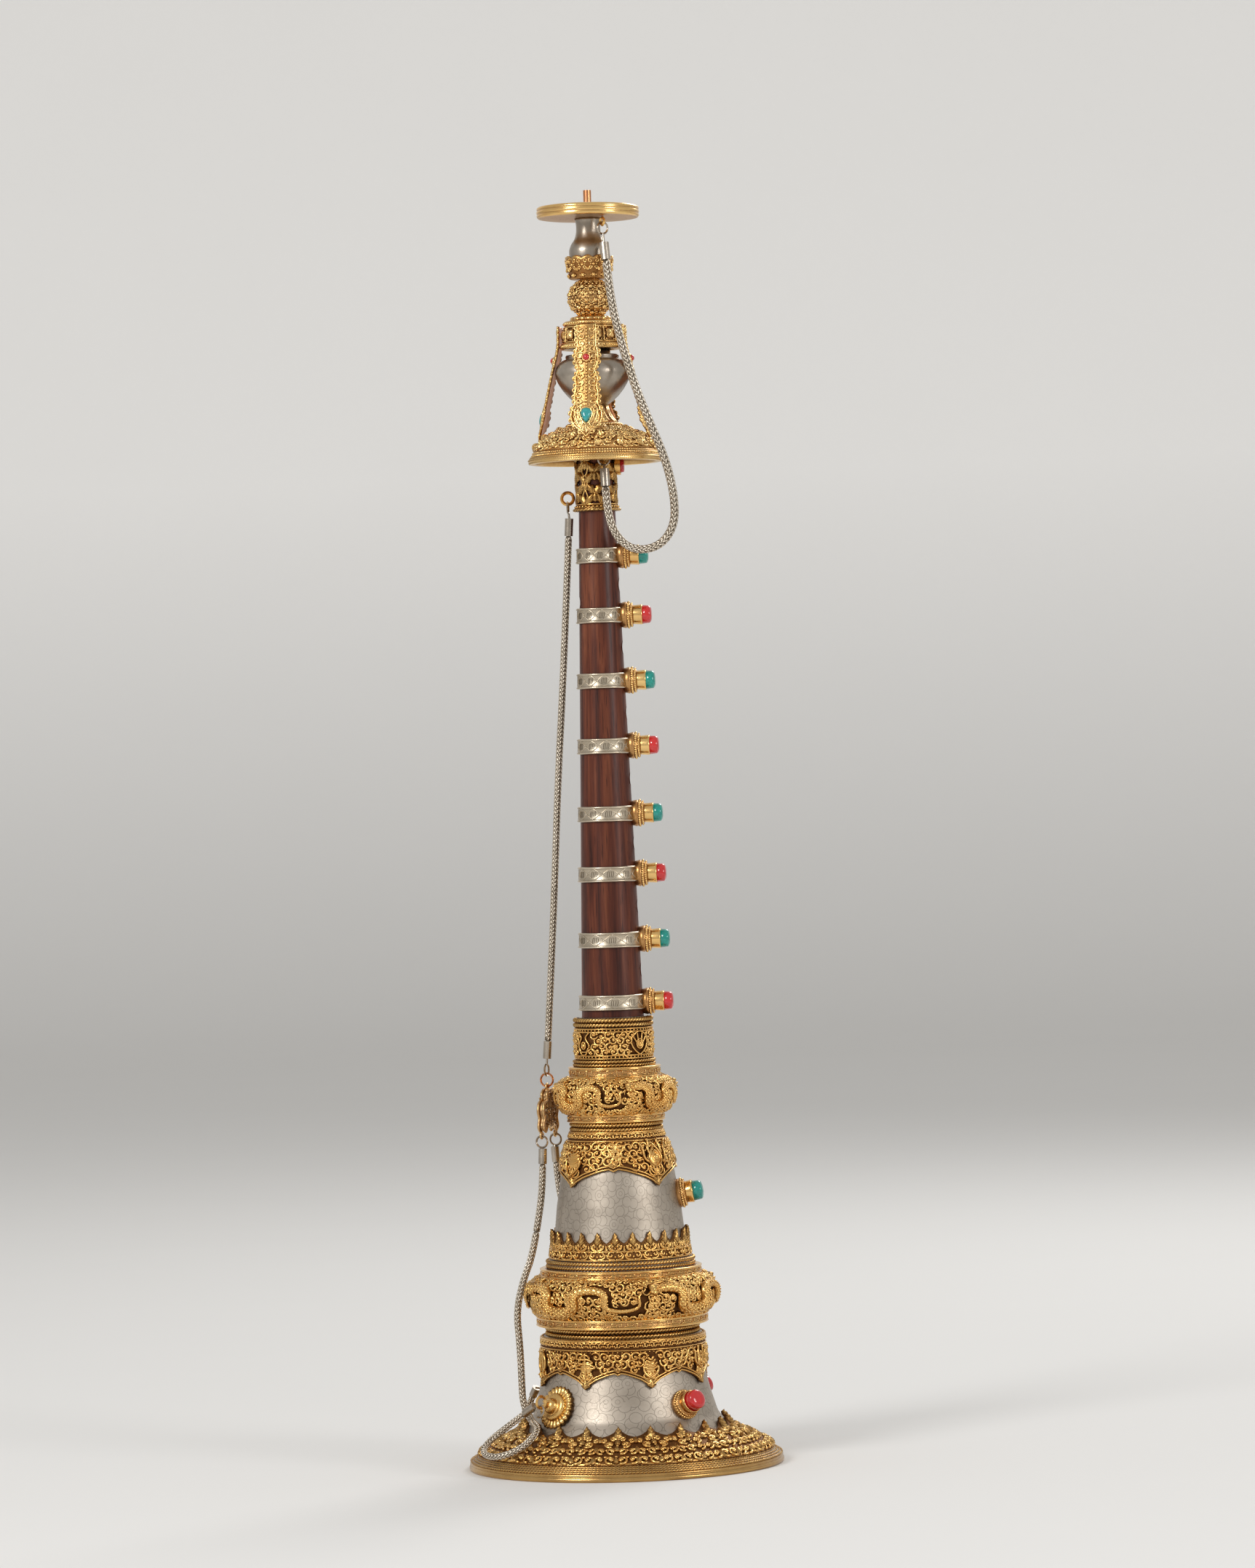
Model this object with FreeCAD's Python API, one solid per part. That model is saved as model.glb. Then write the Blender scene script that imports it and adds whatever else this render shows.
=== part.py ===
"""Gyaling: a ceremonial shawm of rosewood, silver and gilt filigree, in millimetres.

The origin is the middle of the bell's rim on the ground, +Z runs up the bore, and the
finger holes and stone studs face +X. The bell is the root. The chanter lifts out of the
bell's socket, the staple with its ornaments lifts out of the chanter, and the pendant
swings from the copper ring of the carrying chain.
"""

import FreeCAD
import Part

import math
import os

vector = FreeCAD.Vector
origin = vector(0, 0, 0)
upwards = vector(0, 0, 1)
full_turn = 360
half_turn = full_turn / 2
quarter_turn = full_turn / 4

# Clearances and sheet thicknesses
seat_gap = 0.05
slide_gap = 0.08
shoulder_gap = 0.1
cut_overrun = 2.0
shell_wall = 1.0
filigree_sheet = 1.5

# Bell rim and lower bell
rim_radius = 73.4
rim_height = 4.0
rim_width = 3.6
rim_rounding = 1.2
mouth_inset = 0.8
lower_bell_height = 57.2
lower_bell_top_radius = 37.0
lower_neck_radius = 34.0
lower_bell_outline_shares = [
    (1.0, 0.0),
    (0.70, 0.118),
    (0.33, 0.220),
    (0.175, 0.350),
    (0.092, 0.516),
    (0.010, 0.717),
    (0.0, 1.0),
]

# Upper bell, from its foot inside the lower dragon ring to the socket
upper_bell_height = 63.2
upper_bell_base_radius = 31.8
upper_bell_top_radius = 20.4
upper_neck_radius = 17.0
upper_bell_outline_shares = [
    (1.0, 0.0),
    (0.868, 0.244),
    (0.746, 0.449),
    (0.526, 0.697),
    (0.316, 0.841),
    (0.0, 1.0),
]

# Rings, flanges and dragon rings round the bell, from the bottom up
lower_wires_height = 4.9
lower_wires_radius = 36.3
low_flange_height = 4.6
low_flange_radius = 40.2
lower_dragon_height = 18.1
lower_dragon_radius = 46.0
mid_flange_height = 4.0
mid_flange_radius = 37.8
crest_wires_height = 4.2
crest_wires_radius = 35.0
upper_wires_height = 4.4
upper_wires_radius = 22.0
key_band_height = 4.0
key_band_radius = 23.0
upper_dragon_height = 16.4
upper_dragon_radius = 29.8
top_flange_height = 5.3
top_flange_radius = 21.6
drum_wires_height = 3.3
drum_wires_radius = 19.5
drum_height = 15.0
drum_radius = 18.6
mouth_wires_height = 4.5
mouth_wires_radius = 18.9
wire_edge_share = 0.25
wire_groove_shares = [0.25, 0.5, 0.75]
flange_waist_share = 0.03
mouth_lip_share = 0.98

# Filigree skirts and crestings on the bell
lower_skirt_length = 22.4
lower_skirt_lobes = 8
lower_skirt_arch = 7.2
upper_skirt_length = 25.0
upper_skirt_lobes = 4
upper_skirt_arch = 8.0
skirt_point_share = 0.16
skirt_side_share = 0.78
crest_height = 13.2
crest_points = 24
crest_notch = 4.6
base_crest_low = 2.6
base_crest_high = 17.0
base_crest_points = 20
base_crest_notch = 4.2
crest_notch_width_share = 0.62
crest_leaf_relief = 1.1
crest_leaf_outline_shares = [
    (0.12, 0.05),
    (0.70, 0.16),
    (0.54, 0.30),
    (0.62, 0.42),
    (0.40, 0.54),
    (0.40, 0.66),
    (0.0, 0.90),
]
valley_leaf_share = 0.55

# Stones and chain bosses on the bell
fitting_height = 26.0
fitting_raise = 20.0
fitting_angles = [-45.0, 45.0]
boss_angles = [-135.0, 135.0]
bell_collar_radius = 7.0
bell_collar_height = 3.2
bell_bezel_radius = 5.3
bell_bezel_height = 3.6
bell_stone_radius = 4.85
bell_stone_height = 5.2
top_stud_place = 33.0
top_stud_raise = 8.0
boss_disc_radius = 10.9
boss_disc_height = 1.6
boss_ring_radius = 6.75
boss_ring_height = 1.8
boss_knob_radius = 3.6
boss_knob_height = 3.4
eye_radius = 3.4
eye_wire = 0.7

# Socket tube and chanter
socket_depth = 49.0
socket_bore_radius = 12.1
tenon_length = 40.0
lapping_thickness = 0.4
lapping_inset = 3.0
wood_base_radius = 14.47
wood_top_radius = 8.55
wood_length = 235.4
spigot_length = 29.6
spigot_radius = 8.2
bore_end_radius = 7.2
bore_start_radius = 3.2
finger_hole_radius = 3.3
thumb_hole_place = 193.0
finger_holes = 7

# Silver bands with their stone studs
band_height = 7.1
band_thickness = 1.5
band_edge = 0.6
band_place_shares = [0.0285, 0.152, 0.282, 0.401, 0.535, 0.664, 0.7935, 0.912]
collar_radius = 6.4
collar_height = 3.9
bezel_radius = 4.7
bezel_height = 4.5
stone_radius = 4.5
stone_height = 4.8
stone_edge = 0.9
bezel_lip = 0.5

# Ferrule on the chanter's top
ferrule_radius = 10.0
ferrule_ring_height = 1.4
ferrule_ring_radius = 11.4
ferrule_bead_height = 1.2
ferrule_bead_radius = 10.5
ferrule_stone_place = 21.0
ferrule_stone_radius = 3.5
ferrule_stone_height = 2.3
ferrule_bezel_radius = 4.4
ferrule_bezel_height = 1.6
eyelet_radius = 3.5
eyelet_wire = 0.75
eyelet_place = 6.4
safety_eyelet_angle = -68.0
safety_eyelet_place = 27.0
safety_eyelet_radius = 2.6

# Dome, bulb, crown and what stands on them
staple_depth = 44.0
staple_end_radius = 2.95
staple_tip_radius = 1.85
staple_wall = 0.6
staple_tip_length = 7.5
dome_overhang = 7.1
dome_lip_height = 3.0
dome_lip_radius = 31.1
dome_beads_height = 2.5
dome_beads_radius = 30.1
dome_height = 16.4
dome_foot_radius = 28.9
dome_top_radius = 12.4
dome_hub_radius = 7.5
dome_outline_shares = [(1.0, 0.0), (0.79, 0.41), (0.52, 0.72), (0.0, 1.0)]
dome_rosettes = [16, 12, 8]
dome_rosette_radius = 2.1
dome_rosette_relief = 1.3
dome_rosette_crown_share = 0.5
foot_ring_radius = 13.5
foot_ring_height = 2.0
foot_height = 10.5
foot_radius = 10.9
foot_top_radius = 6.8
foot_waist_shares = [0.6, 0.45]
bulb_height = 26.1
bulb_radius = 17.6
bulb_shoulder_radius = 12.5
bulb_neck_radius = 8.5
bulb_outline_shares = [(0.30, 0.12), (0.86, 0.37), (1.0, 0.57), (0.93, 0.69), (0.42, 0.83)]
bulb_step_height = 1.7
bulb_neck_height = 2.7
crown_low_radius = 14.9
crown_low_height = 2.7
crown_drum_height = 8.0
crown_drum_radius = 13.5
crown_high_radius = 13.2
crown_high_height = 2.3
cap_radius = 10.2
cap_height = 3.1
cap_stem_radius = 6.0
cap_stem_height = 0.9
ball_radius = 10.9
ball_height = 15.8
ball_pole_radius = 4.6
ball_neck_height = 0.9
cup_height = 10.6
cup_base_radius = 9.3
cup_rim_radius = 11.5
cup_floor = 3.2
cup_wall = 1.7
cup_scallops = 12
cup_scallop_depth = 1.5
cup_flare_share = 0.4
vase_height = 25.0
vase_belly_radius = 9.3
vase_foot_radius = 7.5
vase_neck_radius = 6.1
vase_lip_radius = 5.6
vase_outline_shares = [(0.0, 0.0), (1.0, 0.22), (1.0, 0.40), (0.72, 0.50)]
vase_neck_share = 0.58
disc_radius = 24.0
disc_height = 5.7
disc_groove = 0.7
disc_ridges = 3
disc_dish = 1.0
disc_eye_angle = -55.0
disc_eye_place = 13.0
disc_eye_radius = 2.4

# Straps from the crown to the dome
strap_count = 4
strap_turn = -4.6
strap_sheet = 1.0
strap_top_inset = 2.0
strap_half_width = 4.6
strap_outline_shares = [
    (1.0, 0.0),
    (0.98, 0.20),
    (1.22, 0.25),
    (1.22, 0.35),
    (0.72, 0.41),
    (1.28, 0.47),
    (1.05, 0.55),
    (1.34, 0.64),
    (1.10, 0.70),
    (1.62, 0.77),
    (1.62, 0.86),
    (1.05, 0.92),
    (0.42, 0.96),
    (0.0, 1.0),
]
strap_slot_shares = [(0.09, 0.30, 0.12), (0.50, 0.36, 0.055), (0.62, 0.40, 0.055)]
strap_slot_place_share = 0.62
strap_bend_shares = [0, 0.26, 0.43, 0.76, 1]
strap_belly_share = 0.57
strap_foot_shares = [0.56, 0.55]
strap_tip_reach = 25.4
strap_tip_lift = 1.1
strap_tip_slope = 0.34
strap_bow = 0.7
coral_share = 0.30
coral_radius = 1.7
coral_height = 2.2
coral_bezel_height = 1.0
turquoise_share = 0.81
turquoise_half_width = 3.2
turquoise_half_height = 4.6
turquoise_thickness = 2.6
turquoise_corner_share = 0.7

# Pendant on the carrying chain
pendant_facing = 164.0
pendant_shift = -1.6
pendant_gap = 1.5
pendant_sheet = 4.0
pendant_half_width = 9.6
pendant_height = 20.0
pendant_drop = 3.2
pendant_outline_shares = [
    (0.20, 0.0),
    (0.46, 0.10),
    (0.40, 0.22),
    (0.86, 0.30),
    (1.0, 0.50),
    (0.80, 0.66),
    (1.0, 0.86),
    (0.72, 1.0),
    (0.44, 0.82),
    (0.0, 0.92),
]
pendant_window_share = 0.28
pendant_window_drop_share = 0.52
pendant_rest_share = 0.36
pendant_loop_radius = 2.0
pendant_loop_wire = 0.6
pendant_loop_place = 9.0

# Chains, their sleeves and end rings
chain_radius = 1.8
safety_chain_radius = 2.15
sleeve_radius = 1.95
sleeve_length = 8.2
safety_sleeve_radius = 2.2
ring_radius = 3.2
ring_wire = 0.5
copper_ring_radius = 3.5
corner_share = 0.45

# Routes of the free chains between their end rings: how far along the straight line from ring
# to ring each point is, and how far aside of it, with each carrying chain opened at a meeting
chain_drop_points = 3
chain_meeting_share = 0.47
upper_chain_shares = [0, 0.25, 0.5, 0.75, 1]
upper_chain_asides = [
    (-0.1, 0.2, -13.3),
    (0.5, 0.1, -6.1),
    (0.2, -0.2, 0.4),
    (1.1, 0, 6.8),
    (1.1, -0.4, 13.5),
]
front_chain_shares = [0, 0.05, 0.1, 0.2, 0.26, 0.33, 0.4, 0.47, 0.53, 0.58, 0.65, 0.72, 0.78, 0.83, 0.88, 0.94, 1]
front_chain_asides = [
    (0, 0, -10.4),
    (-0.3, 1.0, -14.6),
    (-1.6, 0.6, -19.9),
    (-5.2, -0.8, -28.9),
    (-9.4, -4.3, -32.8),
    (-12.5, -5.8, -38.5),
    (-11.2, -3.6, -46.3),
    (-10.9, -0.9, -52.5),
    (-10.5, 0.6, -58.3),
    (-6.0, -3.9, -59.6),
    (-1.1, -15.0, -53.3),
    (-8.2, -23.2, -52.6),
    (-20.1, -20.0, -49.8),
    (-27.7, -9.5, -43.0),
    (-26.6, 2.9, -33.0),
    (-17.1, 10.3, -19.2),
    (-8.2, 6.2, -5.6),
]
rear_chain_shares = [0, 0.05, 0.11, 0.23, 0.31, 0.39, 0.49, 0.59, 0.66, 0.73, 0.79, 0.86, 0.94, 1]
rear_chain_asides = [
    (0, 0, -10.4),
    (0.8, 0.2, -14.6),
    (2.8, 2.1, -19.0),
    (5.8, 8.4, -25.3),
    (9.5, 18.2, -24.3),
    (13.5, 24.6, -29.4),
    (14.8, 23.6, -36.7),
    (15.2, 21.8, -42.9),
    (15.2, 23.1, -49.1),
    (9.8, 29.7, -49.9),
    (-1.4, 29.5, -46.5),
    (-11.8, 20.3, -37.6),
    (-15.7, 7.5, -21.2),
    (-10.1, 1.1, -4.1),
]
safety_chain_shares = [0, 0.1, 0.21, 0.31, 0.42, 0.52, 0.61, 0.68, 0.75, 0.81, 0.88, 0.95, 1]
safety_chain_asides = [
    (1.3, -2.2, -15.0),
    (3.2, -4.6, -22.7),
    (7.9, -6.9, -30.9),
    (13.6, -9.8, -39.1),
    (20.7, -11.7, -45.8),
    (27.8, -9.4, -52.6),
    (31.4, -5.9, -58.9),
    (31.6, -4.0, -66.0),
    (24.5, -2.3, -68.3),
    (12.4, -2.3, -63.7),
    (3.7, -3.2, -48.4),
    (0.7, -2.7, -27.9),
    (0.5, -1.7, -12.7),
]

made_nodes = {}


def keep(name, *solids):
    """Collects a node: one solid, or a group of separate ones."""
    made_nodes[name] = solids[0] if len(solids) == 1 else Part.makeCompound(list(solids))


def polar(radius, angle, height):
    """A point at a radius and an angle in degrees round the axis."""
    turn = math.radians(angle)
    return vector(radius * math.cos(turn), radius * math.sin(turn), height)


def mixed(low, high, share):
    """The value that lies a share of the way from low to high."""
    return low + (high - low) * share


def rounded_edges(points, share):
    """Straight runs through the points, with a tangent arc at each inner point.

    Each arc starts a share of the shorter run away from its point. A share of nothing
    keeps the corners sharp. The arcs' radii come back beside the edges.
    """
    edges = []
    radii = []
    points = [
        point for index, point in enumerate(points) if index == 0 or point != points[index - 1]
    ]
    start = points[0]
    for before, corner, after in zip(points, points[1:], points[2:]):
        inwards = (corner - before).normalize()
        outwards = (after - corner).normalize()
        half_angle = inwards.getAngle(outwards) / 2
        trim = share * min(corner.distanceToPoint(before), after.distanceToPoint(corner))
        if trim * math.tan(half_angle) < seat_gap * seat_gap * seat_gap:
            if share == 0:
                edges.append(Part.LineSegment(start, corner))
                start = corner
            continue
        arc_start = corner - inwards * trim
        arc_end = corner + outwards * trim
        radius = trim / math.tan(half_angle)
        to_centre = ((arc_start + arc_end) / 2 - corner).normalize()
        arc_middle = corner + to_centre * (radius / math.cos(half_angle) - radius)
        edges.append(Part.LineSegment(start, arc_start))
        edges.append(Part.Arc(arc_start, arc_middle, arc_end))
        radii.append(radius)
        start = arc_end
    edges.append(Part.LineSegment(start, points[-1]))
    return edges, radii


def spun(*stretches):
    """A solid of revolution about +Z.

    Each stretch of the outline is a list of (radius, height) pairs and the share by which
    its corners are rounded. The stretches follow each other and close on the first one.
    """
    edges = []
    ends = []
    for pairs, share in stretches:
        points = [vector(radius, 0, height) for radius, height in pairs]
        if len(points) > 1:
            edges.extend(rounded_edges(points, share)[0])
        ends.append((points[0], points[-1]))
    for index, (first, last) in enumerate(ends):
        following = ends[(index + 1) % len(ends)][0]
        if last.distanceToPoint(following) > 0:
            edges.append(Part.LineSegment(last, following))
    wire = Part.Wire(Part.__sortEdges__([edge.toShape() for edge in edges]))
    return Part.Face(wire).revolve(origin, upwards, full_turn)


def turned(pairs):
    """A solid of revolution with a sharp outline."""
    return spun((pairs, 0))


def shifted(pairs, distance):
    """An open outline moved sideways by a distance, to the left of its direction."""
    normals = []
    for (r0, z0), (r1, z1) in zip(pairs, pairs[1:]):
        length = math.hypot(r1 - r0, z1 - z0)
        normals.append(((z0 - z1) / length, (r1 - r0) / length))
    moved = []
    for index, (radius, height) in enumerate(pairs):
        first = normals[max(index - 1, 0)]
        second = normals[min(index, len(normals) - 1)]
        along = first[0] + second[0], first[1] + second[1]
        scale = 2 * distance / (along[0] ** 2 + along[1] ** 2)
        moved.append((radius + along[0] * scale, height + along[1] * scale))
    return moved


def radius_on(pairs, height):
    """The radius of an outline, taken from the bottom up, at a height."""
    for (r0, z0), (r1, z1) in zip(pairs, pairs[1:]):
        if z0 <= height <= z1:
            return mixed(r0, r1, (height - z0) / (z1 - z0))
    return pairs[-1][0]


def pointing(shape, place, direction):
    """A shape made along +Z from the origin, moved to a place and turned to a direction."""
    copy = shape.copy()
    copy.Placement = FreeCAD.Placement(place, FreeCAD.Rotation(upwards, direction))
    return copy


def raised(angle, lift):
    """The direction that leaves the axis at an angle round it, and rises by lift degrees."""
    flat = polar(1, angle, 0)
    rise = math.radians(lift)
    return flat * math.cos(rise) + upwards * math.sin(rise)


def wire_ring(radius, wire, centre, axis):
    """A closed ring of wire, with its flats towards its axis."""
    section = [
        (radius - 2 * wire, 0),
        (radius - wire, -wire),
        (radius, 0),
        (radius - wire, wire),
        (radius - 2 * wire, 0),
    ]
    return pointing(turned(section), centre, axis)


def link_drop(upper_ring, upper_wire, lower_ring, lower_wire):
    """How far apart the middles of two linked wire rings hang."""
    return upper_ring - 2 * upper_wire + lower_ring - 2 * lower_wire - seat_gap


def rod(radius, length, place, direction):
    """A round bar from a place along a direction."""
    return Part.makeCylinder(radius, length, place, direction)


def stack_of(bottom, *heights):
    """The levels of pieces that stand on each other, from the bottom up."""
    levels = [bottom]
    for height in heights:
        levels.append(levels[-1] + height)
    return levels


# Levels up the bell
rim_top = rim_height
lower_shoulder = rim_top + lower_bell_height
(
    lower_wires_low,
    low_flange_low,
    lower_dragon_low,
    mid_flange_low,
    crest_wires_low,
) = stack_of(
    lower_shoulder,
    lower_wires_height,
    low_flange_height,
    lower_dragon_height,
    mid_flange_height,
)
crest_low = crest_wires_low + crest_wires_height
upper_shoulder = crest_wires_low + upper_bell_height
(
    upper_wires_low,
    key_band_low,
    upper_dragon_low,
    top_flange_low,
    drum_wires_low,
    drum_low,
    mouth_wires_low,
    socket_top,
) = stack_of(
    upper_shoulder,
    upper_wires_height,
    key_band_height,
    upper_dragon_height,
    top_flange_height,
    drum_wires_height,
    drum_height,
    mouth_wires_height,
)
bells_meet = lower_dragon_low + lower_dragon_height / 2
upper_neck_top = upper_dragon_low + upper_dragon_height / 2
tube_radius = upper_neck_radius - shell_wall - seat_gap

# Levels up the chanter and the staple
wood_low = socket_top + shoulder_gap
wood_high = wood_low + wood_length
wood_top = wood_high + spigot_length
dome_rim = wood_top + shoulder_gap - dome_overhang
dome_top = dome_rim + dome_height
bulb_low = dome_top + foot_height
crown_low = bulb_low + bulb_height
cap_low = crown_low + crown_low_height + crown_drum_height + crown_high_height
ball_low = cap_low + cap_height
cup_low = ball_low + ball_height + ball_neck_height
vase_low = cup_low + cup_floor
disc_low = vase_low + vase_height
staple_tip = disc_low + disc_height + staple_tip_length
staple_end = wood_top - staple_depth


def bell_outline(shares, low, height, base_radius, top_radius):
    """The (radius, height) pairs of a bell's wall, from the bottom up."""
    return [
        (mixed(top_radius, base_radius, reach), low + height * rise) for reach, rise in shares
    ]


lower_bell = bell_outline(
    lower_bell_outline_shares,
    rim_top,
    lower_bell_height,
    rim_radius - mouth_inset,
    lower_bell_top_radius,
)
upper_bell = bell_outline(
    upper_bell_outline_shares,
    crest_wires_low,
    upper_bell_height,
    upper_bell_base_radius,
    upper_bell_top_radius,
)


def wood_radius(height):
    """The chanter's outside radius at a height."""
    return mixed(wood_base_radius, wood_top_radius, (height - wood_low) / wood_length)


def staple_radius(height):
    """The staple tube's outside radius at a height, up to its straight tip."""
    taper = staple_tip - staple_tip_length - staple_end
    share = min(1, (height - staple_end) / taper)
    return mixed(staple_end_radius, staple_tip_radius, share)


def round_staple(height):
    """The radius of a hole that passes the staple from a height upwards."""
    return staple_radius(height) + seat_gap


def make_bells():
    """Two thin spun shells: a flared lower bell, and a slim upper one with a stepped neck."""
    outside = lower_bell + [(lower_neck_radius, lower_shoulder), (lower_neck_radius, bells_meet)]
    inside = shifted(outside, shell_wall)
    inside[0] = (mixed(inside[1][0], inside[0][0], mouth_lip_share), rim_top)
    bend = len(lower_bell)
    keep(
        "bell_lower_shell",
        spun(
            (outside[:bend], corner_share),
            (outside[bend:], 0),
            (list(reversed(inside[bend:])), 0),
            (list(reversed(inside[:bend])), corner_share),
        ),
    )
    outside = [(lower_neck_radius, bells_meet), (lower_neck_radius, crest_wires_low), *upper_bell]
    inside = shifted(outside, shell_wall)
    throat = upper_bell_top_radius - shell_wall
    inside[-1] = (throat, upper_shoulder)
    first = len(outside) - len(upper_bell)
    keep(
        "bell_upper_shell",
        spun(
            (outside[:first], 0),
            (outside[first:], corner_share),
            (list(reversed(inside[first:])), corner_share),
            (list(reversed(inside[:first])), 0),
        ),
    )
    step = upper_shoulder - shell_wall
    bore = upper_neck_radius - shell_wall
    keep(
        "bell_neck",
        turned(
            [
                (bore, step),
                (throat - seat_gap, step),
                (throat - seat_gap, upper_shoulder),
                (upper_neck_radius, upper_shoulder),
                (upper_neck_radius, upper_neck_top),
                (bore, upper_neck_top),
                (bore, step),
            ]
        ),
    )


def make_rim():
    """The gilt rolled rim that the bell stands on."""
    inner = rim_radius - rim_width
    edge = rim_radius - rim_rounding
    keep(
        "bell_rim",
        turned(
            [
                (inner, rim_rounding),
                (inner + rim_rounding, 0),
                (edge, 0),
                (rim_radius, rim_rounding),
                (rim_radius, rim_height - rim_rounding),
                (edge, rim_height),
                (inner, rim_height),
                (inner, rim_rounding),
            ]
        ),
    )


def wire_band(low, height, inner, outer):
    """Two twisted wires side by side, as one ring with a groove round it."""
    edge = (outer - inner) * wire_edge_share
    first, groove, second = [low + height * share for share in wire_groove_shares]
    return turned(
        [
            (inner, low),
            (outer - edge, low),
            (outer, first),
            (outer - edge, groove),
            (outer, second),
            (outer - edge, low + height),
            (inner, low + height),
            (inner, low),
        ]
    )


def flange(low, height, inner, outer):
    """A band for the key pattern, slightly drawn in at its middle."""
    waist = outer * (1 - flange_waist_share)
    return turned(
        [
            (inner, low),
            (outer, low),
            (waist, low + height / 2),
            (outer, low + height),
            (inner, low + height),
            (inner, low),
        ]
    )


def dragon_ring(low, height, inner, outer):
    """A stout ring with a half-round outside, as the ground of the dragon relief."""
    bend = outer - height / 2
    arc = Part.Arc(
        vector(bend, 0, low), vector(outer, 0, low + height / 2), vector(bend, 0, low + height)
    )
    inside = [vector(bend, 0, low + height), vector(inner, 0, low + height)]
    inside += [vector(inner, 0, low), vector(bend, 0, low)]
    lines = [Part.LineSegment(first, last) for first, last in zip(inside, inside[1:])]
    wire = Part.Wire([arc.toShape()] + [line.toShape() for line in lines])
    return Part.Face(wire).revolve(origin, upwards, full_turn)


def make_rings():
    """Everything that is threaded on the bell's necks, from the bottom up."""
    low_neck = lower_neck_radius + seat_gap
    high_neck = upper_neck_radius + seat_gap
    tube = tube_radius + seat_gap
    crest_seat = upper_bell_base_radius + seat_gap
    keep(
        "bell_wire_rings",
        wire_band(lower_wires_low, lower_wires_height, low_neck, lower_wires_radius),
        wire_band(crest_wires_low, crest_wires_height, crest_seat, crest_wires_radius),
        wire_band(upper_wires_low, upper_wires_height, high_neck, upper_wires_radius),
        wire_band(drum_wires_low, drum_wires_height, tube, drum_wires_radius),
        wire_band(mouth_wires_low, mouth_wires_height, tube, mouth_wires_radius),
    )
    keep("key_flange_low", flange(low_flange_low, low_flange_height, low_neck, low_flange_radius))
    keep("key_flange_mid", flange(mid_flange_low, mid_flange_height, low_neck, mid_flange_radius))
    keep("key_band", flange(key_band_low, key_band_height, high_neck, key_band_radius))
    keep("key_flange_top", flange(top_flange_low, top_flange_height, tube, top_flange_radius))
    keep(
        "dragon_ring_lower",
        dragon_ring(lower_dragon_low, lower_dragon_height, low_neck, lower_dragon_radius),
    )
    keep(
        "dragon_ring_upper",
        dragon_ring(upper_dragon_low, upper_dragon_height, high_neck, upper_dragon_radius),
    )
    keep(
        "socket_drum",
        turned(
            [
                (tube, drum_low),
                (drum_radius, drum_low),
                (drum_radius, drum_low + drum_height),
                (tube, drum_low + drum_height),
                (tube, drum_low),
            ]
        ),
    )
    keep(
        "socket_tube",
        turned(
            [
                (socket_bore_radius, socket_top - socket_depth),
                (tube_radius, socket_top - socket_depth),
                (tube_radius, socket_top),
                (socket_bore_radius, socket_top),
                (socket_bore_radius, socket_top - socket_depth),
            ]
        ),
    )


def prism(outline, reach, angle):
    """A flat outline of (sideways, height) pairs, pushed out along a radius at an angle."""
    side = polar(1, angle + quarter_turn, 0)
    points = [side * across + upwards * height for across, height in outline]
    face = Part.Face(Part.makePolygon(points + points[:1]))
    return face.extrude(polar(reach, angle, 0))


def skin(outline, low, high, sheet):
    """A sheet that lies on an outline's wall, between two heights."""
    inside = shifted(outline, -seat_gap)
    outside = shifted(outline, -seat_gap - sheet)
    whole = spun((outside, corner_share), (list(reversed(inside)), corner_share))
    reach = 2 * max(radius for radius, height in outside)
    slab = Part.makeCylinder(reach, high - low, upwards * low)
    return whole.common(slab)


def make_skirts():
    """Filigree aprons with pointed lobes that hang over the shoulders of the bell."""
    sheets = (
        ("skirt_lower", lower_bell, lower_shoulder, lower_skirt_length, lower_skirt_lobes,
         lower_skirt_arch, lower_bell_top_radius),
        ("skirt_upper", upper_bell, upper_shoulder, upper_skirt_length, upper_skirt_lobes,
         upper_skirt_arch, upper_bell_top_radius),
    )
    for name, outline, top, length, lobes, arch, top_radius in sheets:
        low = top - length
        sheet = skin(outline, low, top, filigree_sheet)
        reach = radius_on(outline, low) + filigree_sheet
        half_lobe = reach * math.tan(math.radians(half_turn / lobes))
        valley = low + arch
        for lobe in range(lobes):
            angle = full_turn * lobe / lobes
            tool = prism(
                [
                    (-half_lobe, low - cut_overrun),
                    (half_lobe, low - cut_overrun),
                    (half_lobe, low),
                    (half_lobe * (1 - skirt_point_share), low + arch * skirt_point_share * 2),
                    (half_lobe / 2, mixed(low, valley, skirt_side_share)),
                    (half_lobe * skirt_point_share, valley),
                    (0, valley - arch * skirt_point_share),
                    (-half_lobe * skirt_point_share, valley),
                    (-half_lobe / 2, mixed(low, valley, skirt_side_share)),
                    (-half_lobe * (1 - skirt_point_share), low + arch * skirt_point_share * 2),
                    (-half_lobe, low),
                ],
                reach * 2,
                angle,
            )
            sheet = sheet.cut(tool)
        keep(name, *sheet.Solids)


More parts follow.
